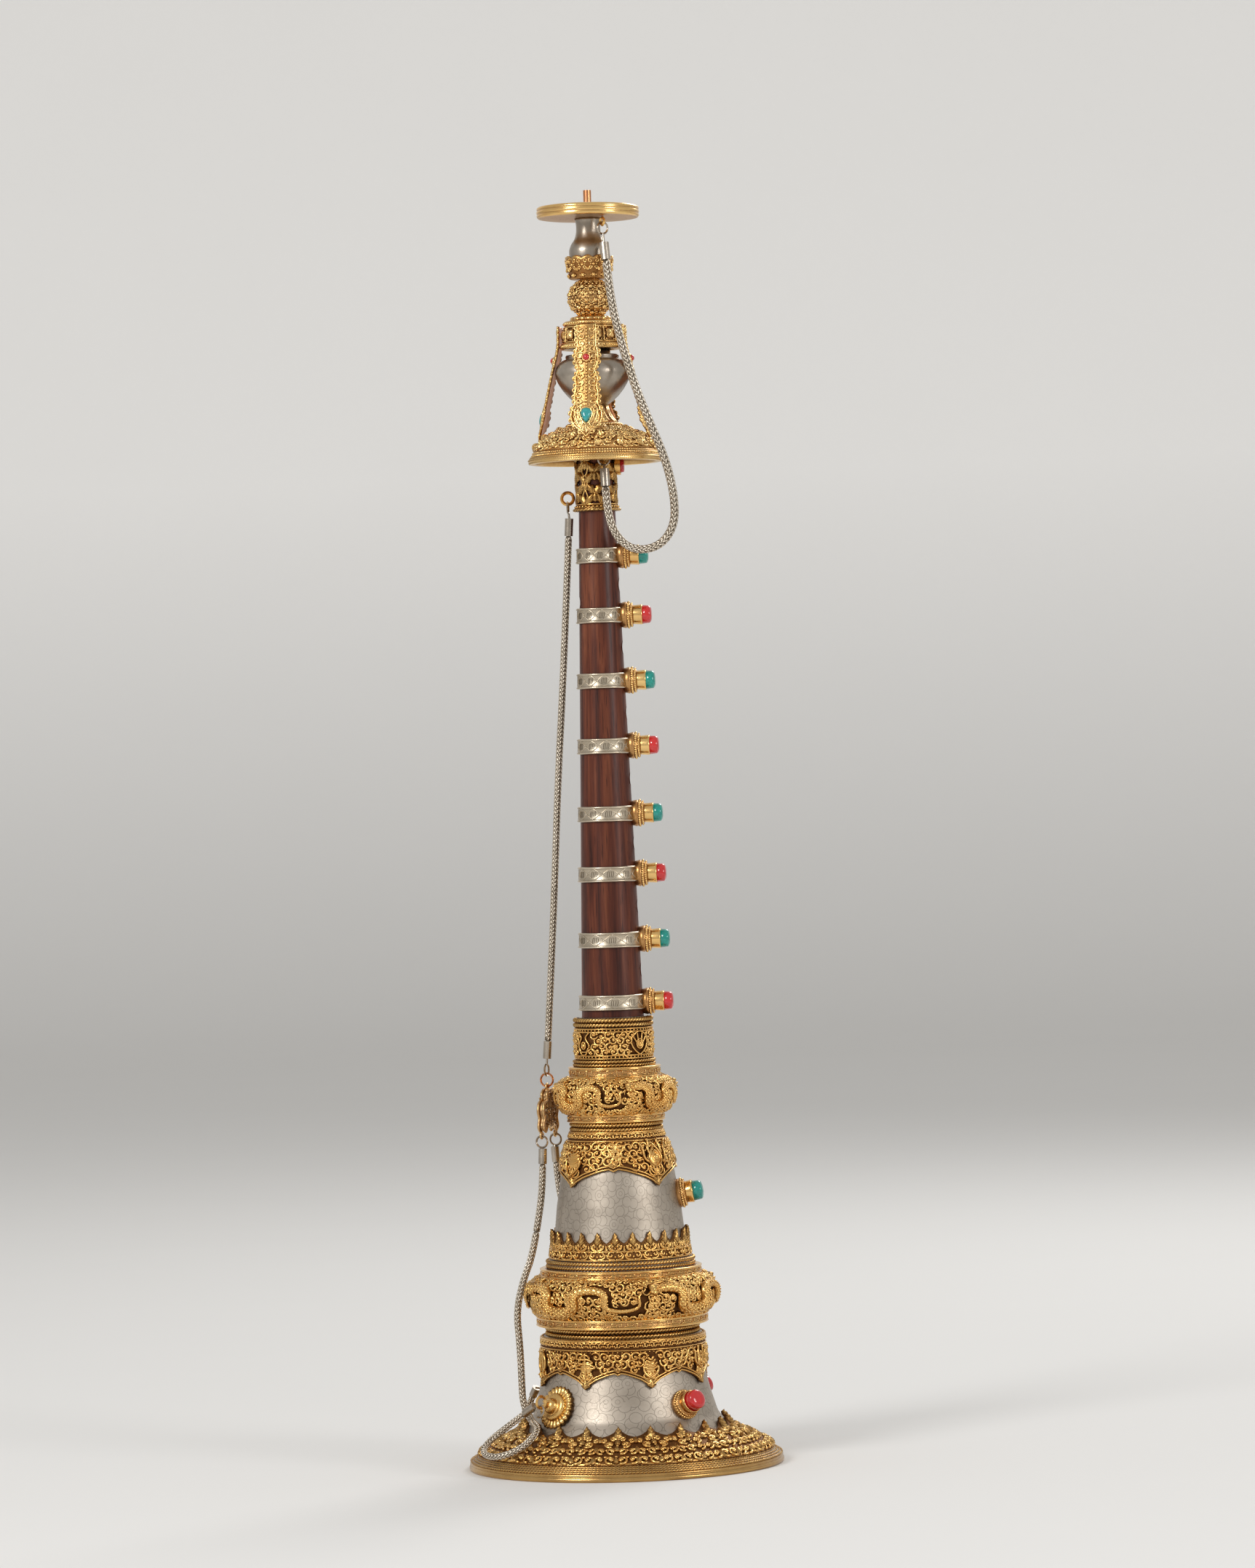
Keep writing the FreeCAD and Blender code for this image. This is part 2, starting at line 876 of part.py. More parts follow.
def make_crests():
    """Standing filigree borders, with a notch between each pair of points."""
    borders = (
        ("cresting_upper", upper_bell, crest_low, crest_low + crest_height, crest_points,
         crest_notch),
        ("cresting_base", lower_bell, rim_top + base_crest_low, rim_top + base_crest_high,
         base_crest_points, base_crest_notch),
    )
    for name, outline, low, high, count, notch in borders:
        border = skin(outline, low, high, filigree_sheet)
        radius = radius_on(outline, high) + filigree_sheet
        half_width = radius * math.tan(math.radians(half_turn / count))
        for point in range(count):
            tool = prism(
                [
                    (0, high - notch),
                    (half_width * crest_notch_width_share, high - notch / 2),
                    (half_width, high + cut_overrun),
                    (-half_width, high + cut_overrun),
                    (-half_width * crest_notch_width_share, high - notch / 2),
                ],
                radius * 2,
                full_turn * (2 * point + 1) / (2 * count),
            )
            border = border.cut(tool)
        if name == "cresting_base":
            border = border.fuse(crest_leaves(outline, low, high, count, half_width))
        keep(name, *border.Solids)


def crest_leaves(outline, low, high, count, half_width):
    """Acanthus leaves in relief: a tall one up each point, and a short one in each valley."""
    raised_sheet = skin(outline, low, high, filigree_sheet + crest_leaf_relief)
    leaves = []
    for share, turn in ((1, 0), (valley_leaf_share, half_turn / count)):
        right = [
            (half_width * share * across, mixed(low, high, rise * share))
            for across, rise in crest_leaf_outline_shares
        ]
        left = [(-across, height) for across, height in reversed(right[:-1])]
        leaf = raised_sheet.common(prism(right + left, 2 * rim_radius, 0))
        for index in range(count):
            copy = leaf.copy()
            copy.rotate(origin, upwards, turn + full_turn * index / count)
            leaves.append(copy)
    return leaves


def filled(outline, low, high):
    """The space inside an outline, to seat what is fastened on its wall."""
    whole = spun((outline, corner_share), ([(0, outline[-1][1]), (0, outline[0][1])], 0))
    slab = Part.makeCylinder(2 * outline[0][0], high - low, upwards * low)
    return whole.common(slab)


def stud_mount(collar, rise, bezel, length, stone, depth):
    """A stepped collar and bezel along +Z, from below the wall that it is cut to."""
    return turned(
        [
            (0, -depth),
            (collar, -depth),
            (collar, rise),
            (bezel, rise),
            (bezel, rise + length),
            (stone, rise + length),
            (stone, rise + length - bezel_lip),
            (0, rise + length - bezel_lip),
            (0, -depth),
        ]
    )


def stud_stone(stone, length):
    """A polished stone along +Z with a softened edge, from the floor of its bezel."""
    return turned(
        [
            (0, 0),
            (stone - seat_gap, 0),
            (stone - seat_gap, length - stone_edge),
            (stone - seat_gap - stone_edge, length),
            (0, length),
            (0, 0),
        ]
    )


def make_bell_fittings():
    """Stone studs and chain bosses that are seated on the bell's curved wall."""
    fitting_level = rim_top + fitting_height
    wall_radius = radius_on(lower_bell, fitting_level)
    spread = boss_disc_radius + cut_overrun
    wall = filled(shifted(lower_bell, -seat_gap), fitting_level - spread, fitting_level + spread)
    mounts = []
    stones = []
    top_level = crest_wires_low + top_stud_place
    top_wall_radius = radius_on(upper_bell, top_level)
    top_wall = filled(shifted(upper_bell, -seat_gap), top_level - spread, top_level + spread)
    rise = bell_collar_height
    mount = stud_mount(
        bell_collar_radius, rise, bell_bezel_radius, bell_bezel_height, bell_stone_radius,
        bell_collar_radius,
    )
    stone = stud_stone(bell_stone_radius, bell_stone_height)
    seats = [
        (polar(wall_radius, angle, fitting_level), raised(angle, fitting_raise), wall)
        for angle in fitting_angles
    ]
    seats.append((polar(top_wall_radius, 0, top_level), raised(0, top_stud_raise), top_wall))
    for place, direction, backing in seats:
        mounts.append(pointing(mount, place, direction).cut(backing))
        floor = place + direction * (rise + bell_bezel_height - bezel_lip + seat_gap)
        stones.append(pointing(stone, floor, direction))
    keep("bell_stud_mounts", *[solid for shape in mounts for solid in shape.Solids])
    keep("bell_coral_stones", *stones[:-1])
    keep("bell_teal_stone", stones[-1])
    boss = turned(
        [
            (0, -boss_disc_radius / 2),
            (boss_disc_radius, -boss_disc_radius / 2),
            (boss_disc_radius, boss_disc_height),
            (boss_ring_radius, boss_disc_height),
            (boss_ring_radius, boss_disc_height + boss_ring_height),
            (boss_knob_radius, boss_disc_height + boss_ring_height),
            (boss_knob_radius / 2, boss_disc_height + boss_ring_height + boss_knob_height),
            (0, boss_disc_height + boss_ring_height + boss_knob_height),
            (0, -boss_disc_radius / 2),
        ]
    )
    bosses = []
    eyes = []
    for angle in boss_angles:
        place = polar(wall_radius, angle, fitting_level)
        direction = raised(angle, fitting_raise)
        bosses.extend(pointing(boss, place, direction).cut(wall).Solids)
        eyes.append(wire_ring(eye_radius, eye_wire, boss_eye_centre(angle), polar(1, angle + quarter_turn, 0)))
    keep("chain_bosses", *bosses)
    keep("boss_eyes", *eyes)


def boss_eye_centre(angle):
    """The middle of the wire eye that stands on a boss's knob."""
    level = rim_top + fitting_height
    height = boss_disc_height + boss_ring_height + boss_knob_height + eye_radius + seat_gap
    return polar(radius_on(lower_bell, level), angle, level) + raised(angle, fitting_raise) * height


def make_chanter():
    """The rosewood pipe with its conical bore, finger holes, thumb hole and lapped tenon."""
    tenon_radius = socket_bore_radius - slide_gap - lapping_thickness - seat_gap
    tenon_low = wood_low - tenon_length
    receiver_low = staple_end - cut_overrun
    receiver_radius = staple_end_radius + slide_gap
    pipe = turned(
        [
            (bore_end_radius, tenon_low),
            (tenon_radius, tenon_low),
            (tenon_radius, wood_low),
            (wood_base_radius, wood_low),
            (wood_top_radius, wood_high),
            (spigot_radius, wood_high),
            (spigot_radius, wood_top),
            (receiver_radius, wood_top),
            (receiver_radius, receiver_low),
            (bore_start_radius, receiver_low),
            (bore_end_radius, tenon_low),
        ]
    )
    bands = [wood_low + wood_length * share for share in band_place_shares]
    for low, high in list(zip(bands, bands[1:]))[:finger_holes]:
        middle = (low + high) / 2
        pipe = pipe.cut(rod(finger_hole_radius, 2 * wood_base_radius, upwards * middle, vector(1, 0, 0)))
    thumb = upwards * (wood_low + thumb_hole_place)
    pipe = pipe.cut(rod(finger_hole_radius, 2 * wood_base_radius, thumb, vector(-1, 0, 0)))
    keep("chanter_pipe", pipe)
    low = tenon_low + lapping_inset
    high = wood_low - lapping_inset
    inner = tenon_radius + seat_gap
    outer = inner + lapping_thickness
    keep("tenon_lapping", turned([(inner, low), (outer, low), (outer, high), (inner, high), (inner, low)]))


def make_bands():
    """Silver bands round the chanter, each with a gilt collar, a bezel and a stone at +X."""
    bands = []
    mounts = []
    teal_stones = []
    coral_stones = []
    mount = stud_mount(
        collar_radius, collar_height, bezel_radius, bezel_height, stone_radius, collar_radius
    )
    stone = stud_stone(stone_radius, stone_height)
    sideways = vector(1, 0, 0)
    for index, share in enumerate(reversed(band_place_shares)):
        middle = wood_low + wood_length * share
        low = middle - band_height / 2
        high = middle + band_height / 2
        wide = wood_radius(low) + seat_gap
        narrow = wood_radius(high) + seat_gap
        outer_wide = wide + band_thickness
        outer_narrow = narrow + band_thickness
        bands.append(
            turned(
                [
                    (wide, low),
                    (outer_wide - band_edge, low),
                    (outer_wide, low + band_edge),
                    (outer_narrow, high - band_edge),
                    (outer_narrow - band_edge, high),
                    (narrow, high),
                    (wide, low),
                ]
            )
        )
        seat = wood_radius(middle) + band_thickness + seat_gap
        spread = 2 * collar_radius
        backing = Part.makeCone(
            wood_radius(middle - spread) + band_thickness + 2 * seat_gap,
            wood_radius(middle + spread) + band_thickness + 2 * seat_gap,
            2 * spread,
            upwards * (middle - spread),
        )
        place = vector(seat, 0, middle)
        mounts.extend(pointing(mount, place, sideways).cut(backing).Solids)
        floor = place + sideways * (collar_height + bezel_height - bezel_lip + seat_gap)
        stones = teal_stones if index % 2 == 0 else coral_stones
        stones.append(pointing(stone, floor, sideways))
    keep("chanter_bands", *bands)
    keep("band_stud_mounts", *mounts)
    keep("band_teal_stones", *teal_stones)
    keep("band_coral_stones", *coral_stones)


def make_ferrule():
    """The gilt ferrule on the chanter's top, with its wire rings, coral and eyelets."""
    inner = spigot_radius + seat_gap
    ring_low = wood_high + seat_gap
    bead_low = ring_low + ferrule_ring_height
    sleeve_low = bead_low + ferrule_bead_height
    keep(
        "ferrule_rings",
        turned(
            [
                (inner, ring_low),
                (ferrule_ring_radius, ring_low),
                (ferrule_ring_radius, bead_low),
                (ferrule_bead_radius, bead_low),
                (ferrule_bead_radius, sleeve_low),
                (inner, sleeve_low),
                (inner, ring_low),
            ]
        ),
    )
    sleeve = turned(
        [
            (inner, sleeve_low),
            (ferrule_radius, sleeve_low),
            (ferrule_radius, wood_top),
            (inner, wood_top),
            (inner, sleeve_low),
        ]
    )
    keep("ferrule_sleeve", sleeve)
    level = ring_low + ferrule_stone_place
    backing = Part.makeCylinder(ferrule_radius + seat_gap, spigot_length, upwards * ring_low)
    mount = stud_mount(
        ferrule_bezel_radius, 0, ferrule_bezel_radius, ferrule_bezel_height, ferrule_stone_radius,
        ferrule_stone_radius,
    )
    place = vector(ferrule_radius + seat_gap, 0, level)
    sideways = vector(1, 0, 0)
    bezel = pointing(mount, place, sideways).cut(backing)
    stone = stud_stone(ferrule_stone_radius, ferrule_stone_height)
    floor = place + sideways * (ferrule_bezel_height - bezel_lip + seat_gap)
    keep("ferrule_coral", pointing(stone, floor, sideways))
    carry_centre = vector(-ferrule_radius - eyelet_radius - seat_gap, 0, ring_low + eyelet_place)
    safety_centre = polar(
        ferrule_radius + safety_eyelet_radius + seat_gap,
        safety_eyelet_angle,
        ring_low + safety_eyelet_place,
    )
    keep(
        "ferrule_mounts",
        *bezel.Solids,
        wire_ring(eyelet_radius, eyelet_wire, carry_centre, vector(0, 1, 0)),
        wire_ring(
            safety_eyelet_radius, eye_wire, safety_centre, polar(1, safety_eyelet_angle + quarter_turn, 0)
        ),
    )
    return carry_centre, safety_centre


def make_staple():
    """The tapered copper tube that carries the reed and all the ornaments."""
    straight = staple_tip - staple_tip_length
    keep(
        "staple_tube",
        turned(
            [
                (staple_end_radius - staple_wall, staple_end),
                (staple_end_radius, staple_end),
                (staple_tip_radius, straight),
                (staple_tip_radius, staple_tip),
                (staple_tip_radius - staple_wall, staple_tip),
                (staple_tip_radius - staple_wall, straight),
                (staple_end_radius - staple_wall, staple_end),
            ]
        ),
    )


def dome_rosettes_on(outside):
    """Domed rosettes on the umbrella: one row on each of its slopes, clear of the straps."""
    rosettes = []
    for (r0, z0), (r1, z1), count in zip(outside, outside[1:], dome_rosettes):
        radius = (r0 + r1) / 2
        level = (z0 + z1) / 2
        lean = math.degrees(math.atan2(r0 - r1, z1 - z0))
        for index in range(count):
            angle = strap_turn + full_turn * (index + 1 / 2) / count
            direction = raised(angle, lean)
            foot = polar(radius, angle, level) - direction * (shell_wall / 2)
            rosettes.append(
                Part.makeCone(
                    dome_rosette_radius,
                    dome_rosette_radius * dome_rosette_crown_share,
                    dome_rosette_relief + shell_wall / 2,
                    foot,
                    direction,
                )
            )
    return rosettes


def make_dome():
    """The filigree umbrella with its rim, open below, and the fluted foot that stands on it."""
    shell_low = dome_rim + dome_lip_height + dome_beads_height
    rise = dome_top - shell_low
    outside = [
        (mixed(dome_top_radius, dome_foot_radius, reach), shell_low + rise * share)
        for reach, share in dome_outline_shares
    ]
    inside = shifted(outside, shell_wall)
    inside[0] = (outside[0][0] - shell_wall, shell_low)
    inside[-1] = (inside[-1][0], dome_top - shell_wall)
    hub_low = wood_top + shoulder_gap
    hole = round_staple(hub_low)
    shell = spun(
        (outside, corner_share),
        ([(hole, dome_top), (hole, hub_low), (dome_hub_radius, hub_low)], 0),
        ([(dome_hub_radius, dome_top - shell_wall)], 0),
        (list(reversed(inside)), corner_share),
    )
    keep("dome", shell.fuse(dome_rosettes_on(outside)))
    inner = dome_foot_radius - shell_wall
    bead_low = dome_rim + dome_lip_height
    keep(
        "dome_rim",
        turned(
            [
                (inner, dome_rim),
                (dome_lip_radius, dome_rim),
                (dome_lip_radius, bead_low),
                (dome_beads_radius, bead_low),
                (dome_beads_radius, shell_low),
                (inner, shell_low),
                (inner, dome_rim),
            ]
        ),
    )
    foot_hole = round_staple(dome_top)
    waist = mixed(foot_radius, foot_top_radius, foot_waist_shares[0])
    keep(
        "dome_foot",
        turned(
            [
                (foot_hole, dome_top),
                (foot_ring_radius, dome_top),
                (foot_ring_radius, dome_top + foot_ring_height),
                (foot_radius, dome_top + foot_ring_height),
                (waist, dome_top + foot_height * foot_waist_shares[1]),
                (foot_top_radius, bulb_low),
                (foot_hole, bulb_low),
                (foot_hole, dome_top),
            ]
        ),
    )


def make_bulb():
    """The silver bulb, shaped like an upturned pear."""
    hole = round_staple(bulb_low)
    neck_low = crown_low - bulb_neck_height
    step_low = neck_low - bulb_step_height
    side = [(foot_top_radius, bulb_low)]
    side += [
        (mixed(foot_top_radius, bulb_radius, reach), bulb_low + bulb_height * rise)
        for reach, rise in bulb_outline_shares
    ]
    keep(
        "silver_bulb",
        spun(
            (side, corner_share),
            (
                [
                    (bulb_shoulder_radius, step_low),
                    (bulb_shoulder_radius, neck_low),
                    (bulb_neck_radius, neck_low),
                    (bulb_neck_radius, crown_low),
                    (hole, crown_low),
                    (hole, bulb_low),
                ],
                0,
            ),
        ),
    )


def make_crown():
    """The crown of flower panels, and the petalled cap on it."""
    hole = round_staple(crown_low)
    drum_bottom = crown_low + crown_low_height
    drum_top = drum_bottom + crown_drum_height
    keep(
        "crown_drum",
        turned(
            [
                (hole, crown_low),
                (crown_low_radius, crown_low),
                (crown_low_radius, drum_bottom),
                (crown_drum_radius, drum_bottom),
                (crown_high_radius - shell_wall / 2, drum_top),
                (crown_high_radius, drum_top),
                (crown_high_radius, cap_low),
                (hole, cap_low),
                (hole, crown_low),
            ]
        ),
    )
    step = ball_low - cap_stem_height
    keep(
        "crown_cap",
        turned(
            [
                (hole, cap_low),
                (cap_radius, cap_low),
                (cap_radius, step),
                (cap_stem_radius, step),
                (cap_stem_radius, ball_low),
                (hole, ball_low),
                (hole, cap_low),
            ]
        ),
    )


def make_ball_and_cup():
    """The filigree ball, and the scalloped cup that holds the vase."""
    hole = round_staple(ball_low)
    ball_top = ball_low + ball_height
    arc = Part.Arc(
        vector(ball_pole_radius, 0, ball_low),
        vector(ball_radius, 0, ball_low + ball_height / 2),
        vector(ball_pole_radius, 0, ball_top),
    )
    corners = [
        vector(ball_pole_radius, 0, ball_top),
        vector(ball_pole_radius, 0, cup_low),
        vector(hole, 0, cup_low),
        vector(hole, 0, ball_low),
        vector(ball_pole_radius, 0, ball_low),
    ]
    lines = [Part.LineSegment(first, last).toShape() for first, last in zip(corners, corners[1:])]
    keep("filigree_ball", Part.Face(Part.Wire([arc.toShape()] + lines)).revolve(origin, upwards, full_turn))
    rim = cup_low + cup_height
    inner_rim = cup_rim_radius - cup_wall
    cup = turned(
        [
            (hole, cup_low),
            (cup_base_radius, cup_low),
            (mixed(cup_base_radius, cup_rim_radius, cup_flare_share), cup_low + cup_floor),
            (cup_rim_radius, rim),
            (inner_rim, rim),
            (inner_rim, vase_low + vase_height * vase_outline_shares[1][1]),
            (vase_foot_radius + seat_gap * 2, vase_low),
            (hole, vase_low),
            (hole, cup_low),
        ]
    )
    for scallop in range(cup_scallops):
        angle = full_turn * scallop / cup_scallops
        half_width = cup_rim_radius * math.tan(math.radians(half_turn / cup_scallops)) / 2
        tool = prism(
            [
                (0, rim - cup_scallop_depth),
                (half_width, rim + cup_scallop_depth),
                (-half_width, rim + cup_scallop_depth),
            ],
            2 * cup_rim_radius,
            angle,
        )
        cup = cup.cut(tool)
    keep("filigree_cup", *cup.Solids)


def make_vase():
    """The silver vase: a round belly that sits in the cup, and a slim neck up to the disc."""
    hole = round_staple(vase_low)
    belly = vase_belly_radius
    side = [
        (mixed(vase_foot_radius, belly, reach), vase_low + vase_height * rise)
        for reach, rise in vase_outline_shares
    ]
    side += [(vase_neck_radius, vase_low + vase_height * vase_neck_share), (vase_lip_radius, disc_low)]
    keep(
        "silver_vase",
        spun((side, corner_share), ([(hole, disc_low), (hole, vase_low), (vase_foot_radius, vase_low)], 0)),
    )


def make_disc():
    """The lip disc with a ridged rim, and the wire eye under it."""
    hole = round_staple(disc_low)
    top = disc_low + disc_height
    ridge = disc_height / disc_ridges
    rim = []
    for index in range(disc_ridges):
        low = disc_low + ridge * index
        rim += [(disc_radius - disc_groove, low), (disc_radius, low + ridge / 2)]
    rim.append((disc_radius - disc_groove, top))
    inset = disc_radius - disc_height / 2
    keep(
        "lip_disc",
        turned(
            [(hole, disc_low)]
            + rim
            + [(inset, top), (inset - disc_dish, top - disc_dish), (hole, top - disc_dish), (hole, disc_low)]
        ),
    )
    centre = polar(disc_eye_place, disc_eye_angle, disc_low - disc_eye_radius - seat_gap)
    keep("disc_eye", wire_ring(disc_eye_radius, eye_wire, centre, polar(1, disc_eye_angle + quarter_turn, 0)))
    return centre


def strap_bends():
    """The (radius, height) pairs where a strap's inner face bends, from the top down."""
    top = cap_low - strap_top_inset
    bottom = dome_top - strap_tip_lift - (strap_tip_reach - dome_top_radius) * strap_tip_slope
    top_radius = crown_low_radius + seat_gap
    belly_radius = bulb_radius + strap_bow
    belly_level = bulb_low + bulb_height * strap_belly_share
    reach, fall = strap_foot_shares
    return [
        (top_radius, top),
        (top_radius + seat_gap, crown_low + crown_low_height / 4),
        (belly_radius, belly_level),
        (mixed(belly_radius, strap_tip_reach, reach), mixed(belly_level, bottom, fall)),
        (strap_tip_reach, bottom),
    ]


def strap_line(share):
    """The (radius, height) of a strap's inner face, a share of the way down."""
    places = list(zip(strap_bend_shares, strap_bends()))
    for (before, first), (after, second) in zip(places, places[1:]):
        if before <= share <= after:
            part = (share - before) / (after - before)
            return mixed(first[0], second[0], part), mixed(first[1], second[1], part)
    return places[-1][1]


def make_straps():
    """Four openwork straps that bow out from the crown to the dome, with their stones."""
    bends = strap_bends()
    inner = [vector(radius, 0, height) for radius, height in bends]
    outer = [vector(radius + strap_sheet, 0, height) for radius, height in bends]
    wire = Part.Wire(
        [edge.toShape() for edge in rounded_edges(inner, corner_share)[0]]
        + [Part.LineSegment(inner[-1], outer[-1]).toShape()]
        + [edge.toShape() for edge in rounded_edges(list(reversed(outer)), corner_share)[0]]
        + [Part.LineSegment(outer[0], inner[0]).toShape()]
    )
    width = 2 * strap_half_width
    blank = Part.Face(wire).extrude(vector(0, 2 * width, 0))
    blank.translate(vector(0, -width, 0))
    top = bends[0][1]
    length = top - bends[-1][1]
    right = [(strap_half_width * reach, top - length * drop) for reach, drop in strap_outline_shares]
    left = [(-across, height) for across, height in reversed(right[:-1])]
    strap = blank.common(prism(right + left, 2 * strap_tip_reach, 0))
    for drop, reach, depth in strap_slot_shares:
        for side in (-1, 1):
            across = side * strap_half_width * strap_slot_place_share
            half = strap_half_width * reach
            level = top - length * drop
            window = [
                (across, level + length * depth / 2),
                (across + half, level),
                (across, level - length * depth / 2),
                (across - half, level),
            ]
            strap = strap.cut(prism(window, 2 * strap_tip_reach, 0))
    coral_radius_at, coral_level = strap_line(coral_share)
    drop_radius_at, drop_level = strap_line(turquoise_share)
    out = vector(1, 0, 0)
    outer_face = strap_sheet + seat_gap
    bead = Part.makeCone(
        coral_radius, coral_radius / 2, coral_height + coral_bezel_height,
        vector(coral_radius_at + outer_face + coral_bezel_height / 2, 0, coral_level), out,
    )
    half = turquoise_half_height
    corner = turquoise_half_width * turquoise_corner_share
    drop_face = [
        (0, drop_level + half),
        (turquoise_half_width, drop_level),
        (corner, drop_level - half * turquoise_corner_share),
        (0, drop_level - half),
        (-corner, drop_level - half * turquoise_corner_share),
        (-turquoise_half_width, drop_level),
    ]
    points = [vector(drop_radius_at + outer_face + strap_sheet, across, height) for across, height in drop_face]
    drop = Part.Face(Part.makePolygon(points + points[:1])).extrude(out * turquoise_thickness)
    straps = []
    corals = []
    drops = []
    for index in range(strap_count):
        angle = strap_turn + full_turn * index / strap_count
        for shape, group in ((strap, straps), (bead, corals), (drop, drops)):
            copy = shape.copy()
            copy.rotate(origin, upwards, angle)
            group.append(copy)
    keep("crown_straps", *[solid for shape in straps for solid in shape.Solids])
    keep("strap_corals", *corals)
    keep("strap_turquoises", *drops)


def end_fitting(ring_centre, ring_axis, sleeve_start, direction, radius, length):
    """A ring, a sleeve that starts at a place and runs along a direction, and a neck between."""
    sleeve = rod(radius, length, sleeve_start, direction)
    wire = wire_ring(ring_radius, ring_wire, ring_centre, ring_axis)
    neck_end = ring_centre + (sleeve_start - ring_centre).normalize() * (ring_radius - ring_wire)
    reach = (sleeve_start - neck_end).Length + ring_wire
    neck = rod(ring_wire, reach, neck_end, sleeve_start - neck_end)
    return sleeve.fuse([neck, wire])


def route_between(first, last, shares, asides):
    """A chain's points: a share of the way between two end rings, and an offset aside."""
    return [
        first + (last - first) * share + vector(*aside) for share, aside in zip(shares, asides)
    ]


def parted(points):
    """One chain as two: the drop below the pendant, and the fall that carries it on."""
    meeting = mixed(points[chain_drop_points - 1], points[chain_drop_points], chain_meeting_share)
    return points[:chain_drop_points] + [meeting], [meeting] + points[chain_drop_points:]


def tube_along(name, points, radius):
    """A free chain as a plain tube: straight runs joined by tangent arcs."""
    edges, radii = rounded_edges(points, corner_share)
    path = Part.Wire([edge.toShape() for edge in edges])
    start = points[1] - points[0]
    section = Part.Wire(Part.Circle(points[0], start, radius).toShape())
    tube = path.makePipeShell([section], True, False)
    expected = math.pi * radius ** 2 * path.Length
    print(
        name, "length", round(path.Length, 1), "radii", [round(bend, 1) for bend in radii],
        "volume ratio", round(tube.Volume / expected, 4), "valid", tube.isValid(),
    )
    keep(name, tube)
    return points


def make_chains(carry_eyelet, safety_eyelet, disc_eye_centre):
    """The free chains, and the sleeves and rings at their ends."""
    facing = polar(1, pendant_facing, 0)
    sideways = polar(1, pendant_facing - quarter_turn, 0)
    eyelet_drop = link_drop(eyelet_radius, eyelet_wire, ring_radius, ring_wire)
    carry_ring = carry_eyelet - upwards * eyelet_drop
    copper_drop = link_drop(copper_ring_radius, ring_wire, pendant_loop_radius, pendant_loop_wire)
    copper_centre = pendant_crown_loop() + upwards * copper_drop
    copper_link = link_drop(ring_radius, ring_wire, copper_ring_radius, ring_wire)
    upper_ring = copper_centre + upwards * copper_link
    loop_drop = upwards * link_drop(pendant_loop_radius, pendant_loop_wire, ring_radius, ring_wire)
    front_ring, rear_ring = [loop - loop_drop for loop in pendant_loops()]
    front_eye, rear_eye = [boss_eye_centre(angle) for angle in boss_angles]
    cap_drop = upwards * link_drop(disc_eye_radius, eye_wire, ring_radius, ring_wire)
    cap_ring = disc_eye_centre - cap_drop
    sleeve_drop = upwards * link_drop(safety_eyelet_radius, eye_wire, ring_radius, ring_wire)
    safety_ring = safety_eyelet - sleeve_drop

    upper_route = route_between(carry_ring, upper_ring, upper_chain_shares, upper_chain_asides)
    front_route = route_between(front_ring, front_eye, front_chain_shares, front_chain_asides)
    rear_route = route_between(rear_ring, rear_eye, rear_chain_shares, rear_chain_asides)
    safety_route = route_between(cap_ring, safety_ring, safety_chain_shares, safety_chain_asides)
    drop_route, fall_route = parted(front_route)
    upper = tube_along("chain_upper", upper_route, chain_radius)
    front_drop = tube_along("chain_front_drop", drop_route, chain_radius)
    front_fall = tube_along("chain_front_fall", fall_route, chain_radius)
    drop_route, fall_route = parted(rear_route)
    rear_drop = tube_along("chain_rear_drop", drop_route, chain_radius)
    rear_fall = tube_along("chain_rear_fall", fall_route, chain_radius)
    safety = tube_along("chain_safety", safety_route, safety_chain_radius)

    def fitting_at(points, target, axis, radius):
        """The sleeve that carries on a chain's first run, and the ring beyond it at a target."""
        back = (points[0] - points[1]).normalize()
        length = min(sleeve_length, (target - points[0]).Length - ring_radius)
        return end_fitting(target, axis, points[0] + back * length, -back, radius, length)

    keep(
        "chain_upper_ends",
        fitting_at(upper, carry_ring, vector(1, 0, 0), sleeve_radius),
        fitting_at(upper[::-1], upper_ring, facing, sleeve_radius),
    )
    keep("copper_ring", wire_ring(copper_ring_radius, ring_wire, copper_centre, sideways))
    keep(
        "chain_low_tops",
        fitting_at(front_drop, front_ring, sideways, sleeve_radius),
        fitting_at(rear_drop, rear_ring, sideways, sleeve_radius),
    )
    ends = []
    for points, eye, angle in zip((front_fall, rear_fall), (front_eye, rear_eye), boss_angles):
        tangent = polar(1, angle + quarter_turn, 0)
        towards = points[-1] - eye
        pull = (towards - tangent * towards.dot(tangent)).normalize()
        target = eye + pull * link_drop(eye_radius, eye_wire, ring_radius, ring_wire)
        ends.append(fitting_at(points[::-1], target, pull.cross(tangent), sleeve_radius))
    keep("chain_boss_ends", *ends)
    axis = polar(1, disc_eye_angle, 0)
    keep("safety_cap", fitting_at(safety, cap_ring, axis, safety_sleeve_radius))
    axis = polar(1, safety_eyelet_angle, 0)
    keep("safety_sleeve", fitting_at(safety[::-1], safety_ring, axis, safety_sleeve_radius))


def pendant_centre():
    """The middle of the pendant's plate, which hangs beside the upper dragon ring."""
    facing = polar(1, pendant_facing, 0)
    sideways = polar(1, pendant_facing - quarter_turn, 0)
    away = upper_dragon_radius + pendant_gap + pendant_sheet / 2
    level = upper_dragon_low + upper_dragon_height / 2 - pendant_height * pendant_rest_share
    return facing * away + sideways * pendant_shift + upwards * level


def pendant_loops():
    """The two loops at the pendant's lower corners, front and rear."""
    sideways = polar(1, pendant_facing - quarter_turn, 0)
    low = pendant_centre() - upwards * (pendant_height / 2 + pendant_loop_radius / 2)
    return low - sideways * pendant_loop_place, low + sideways * pendant_loop_place


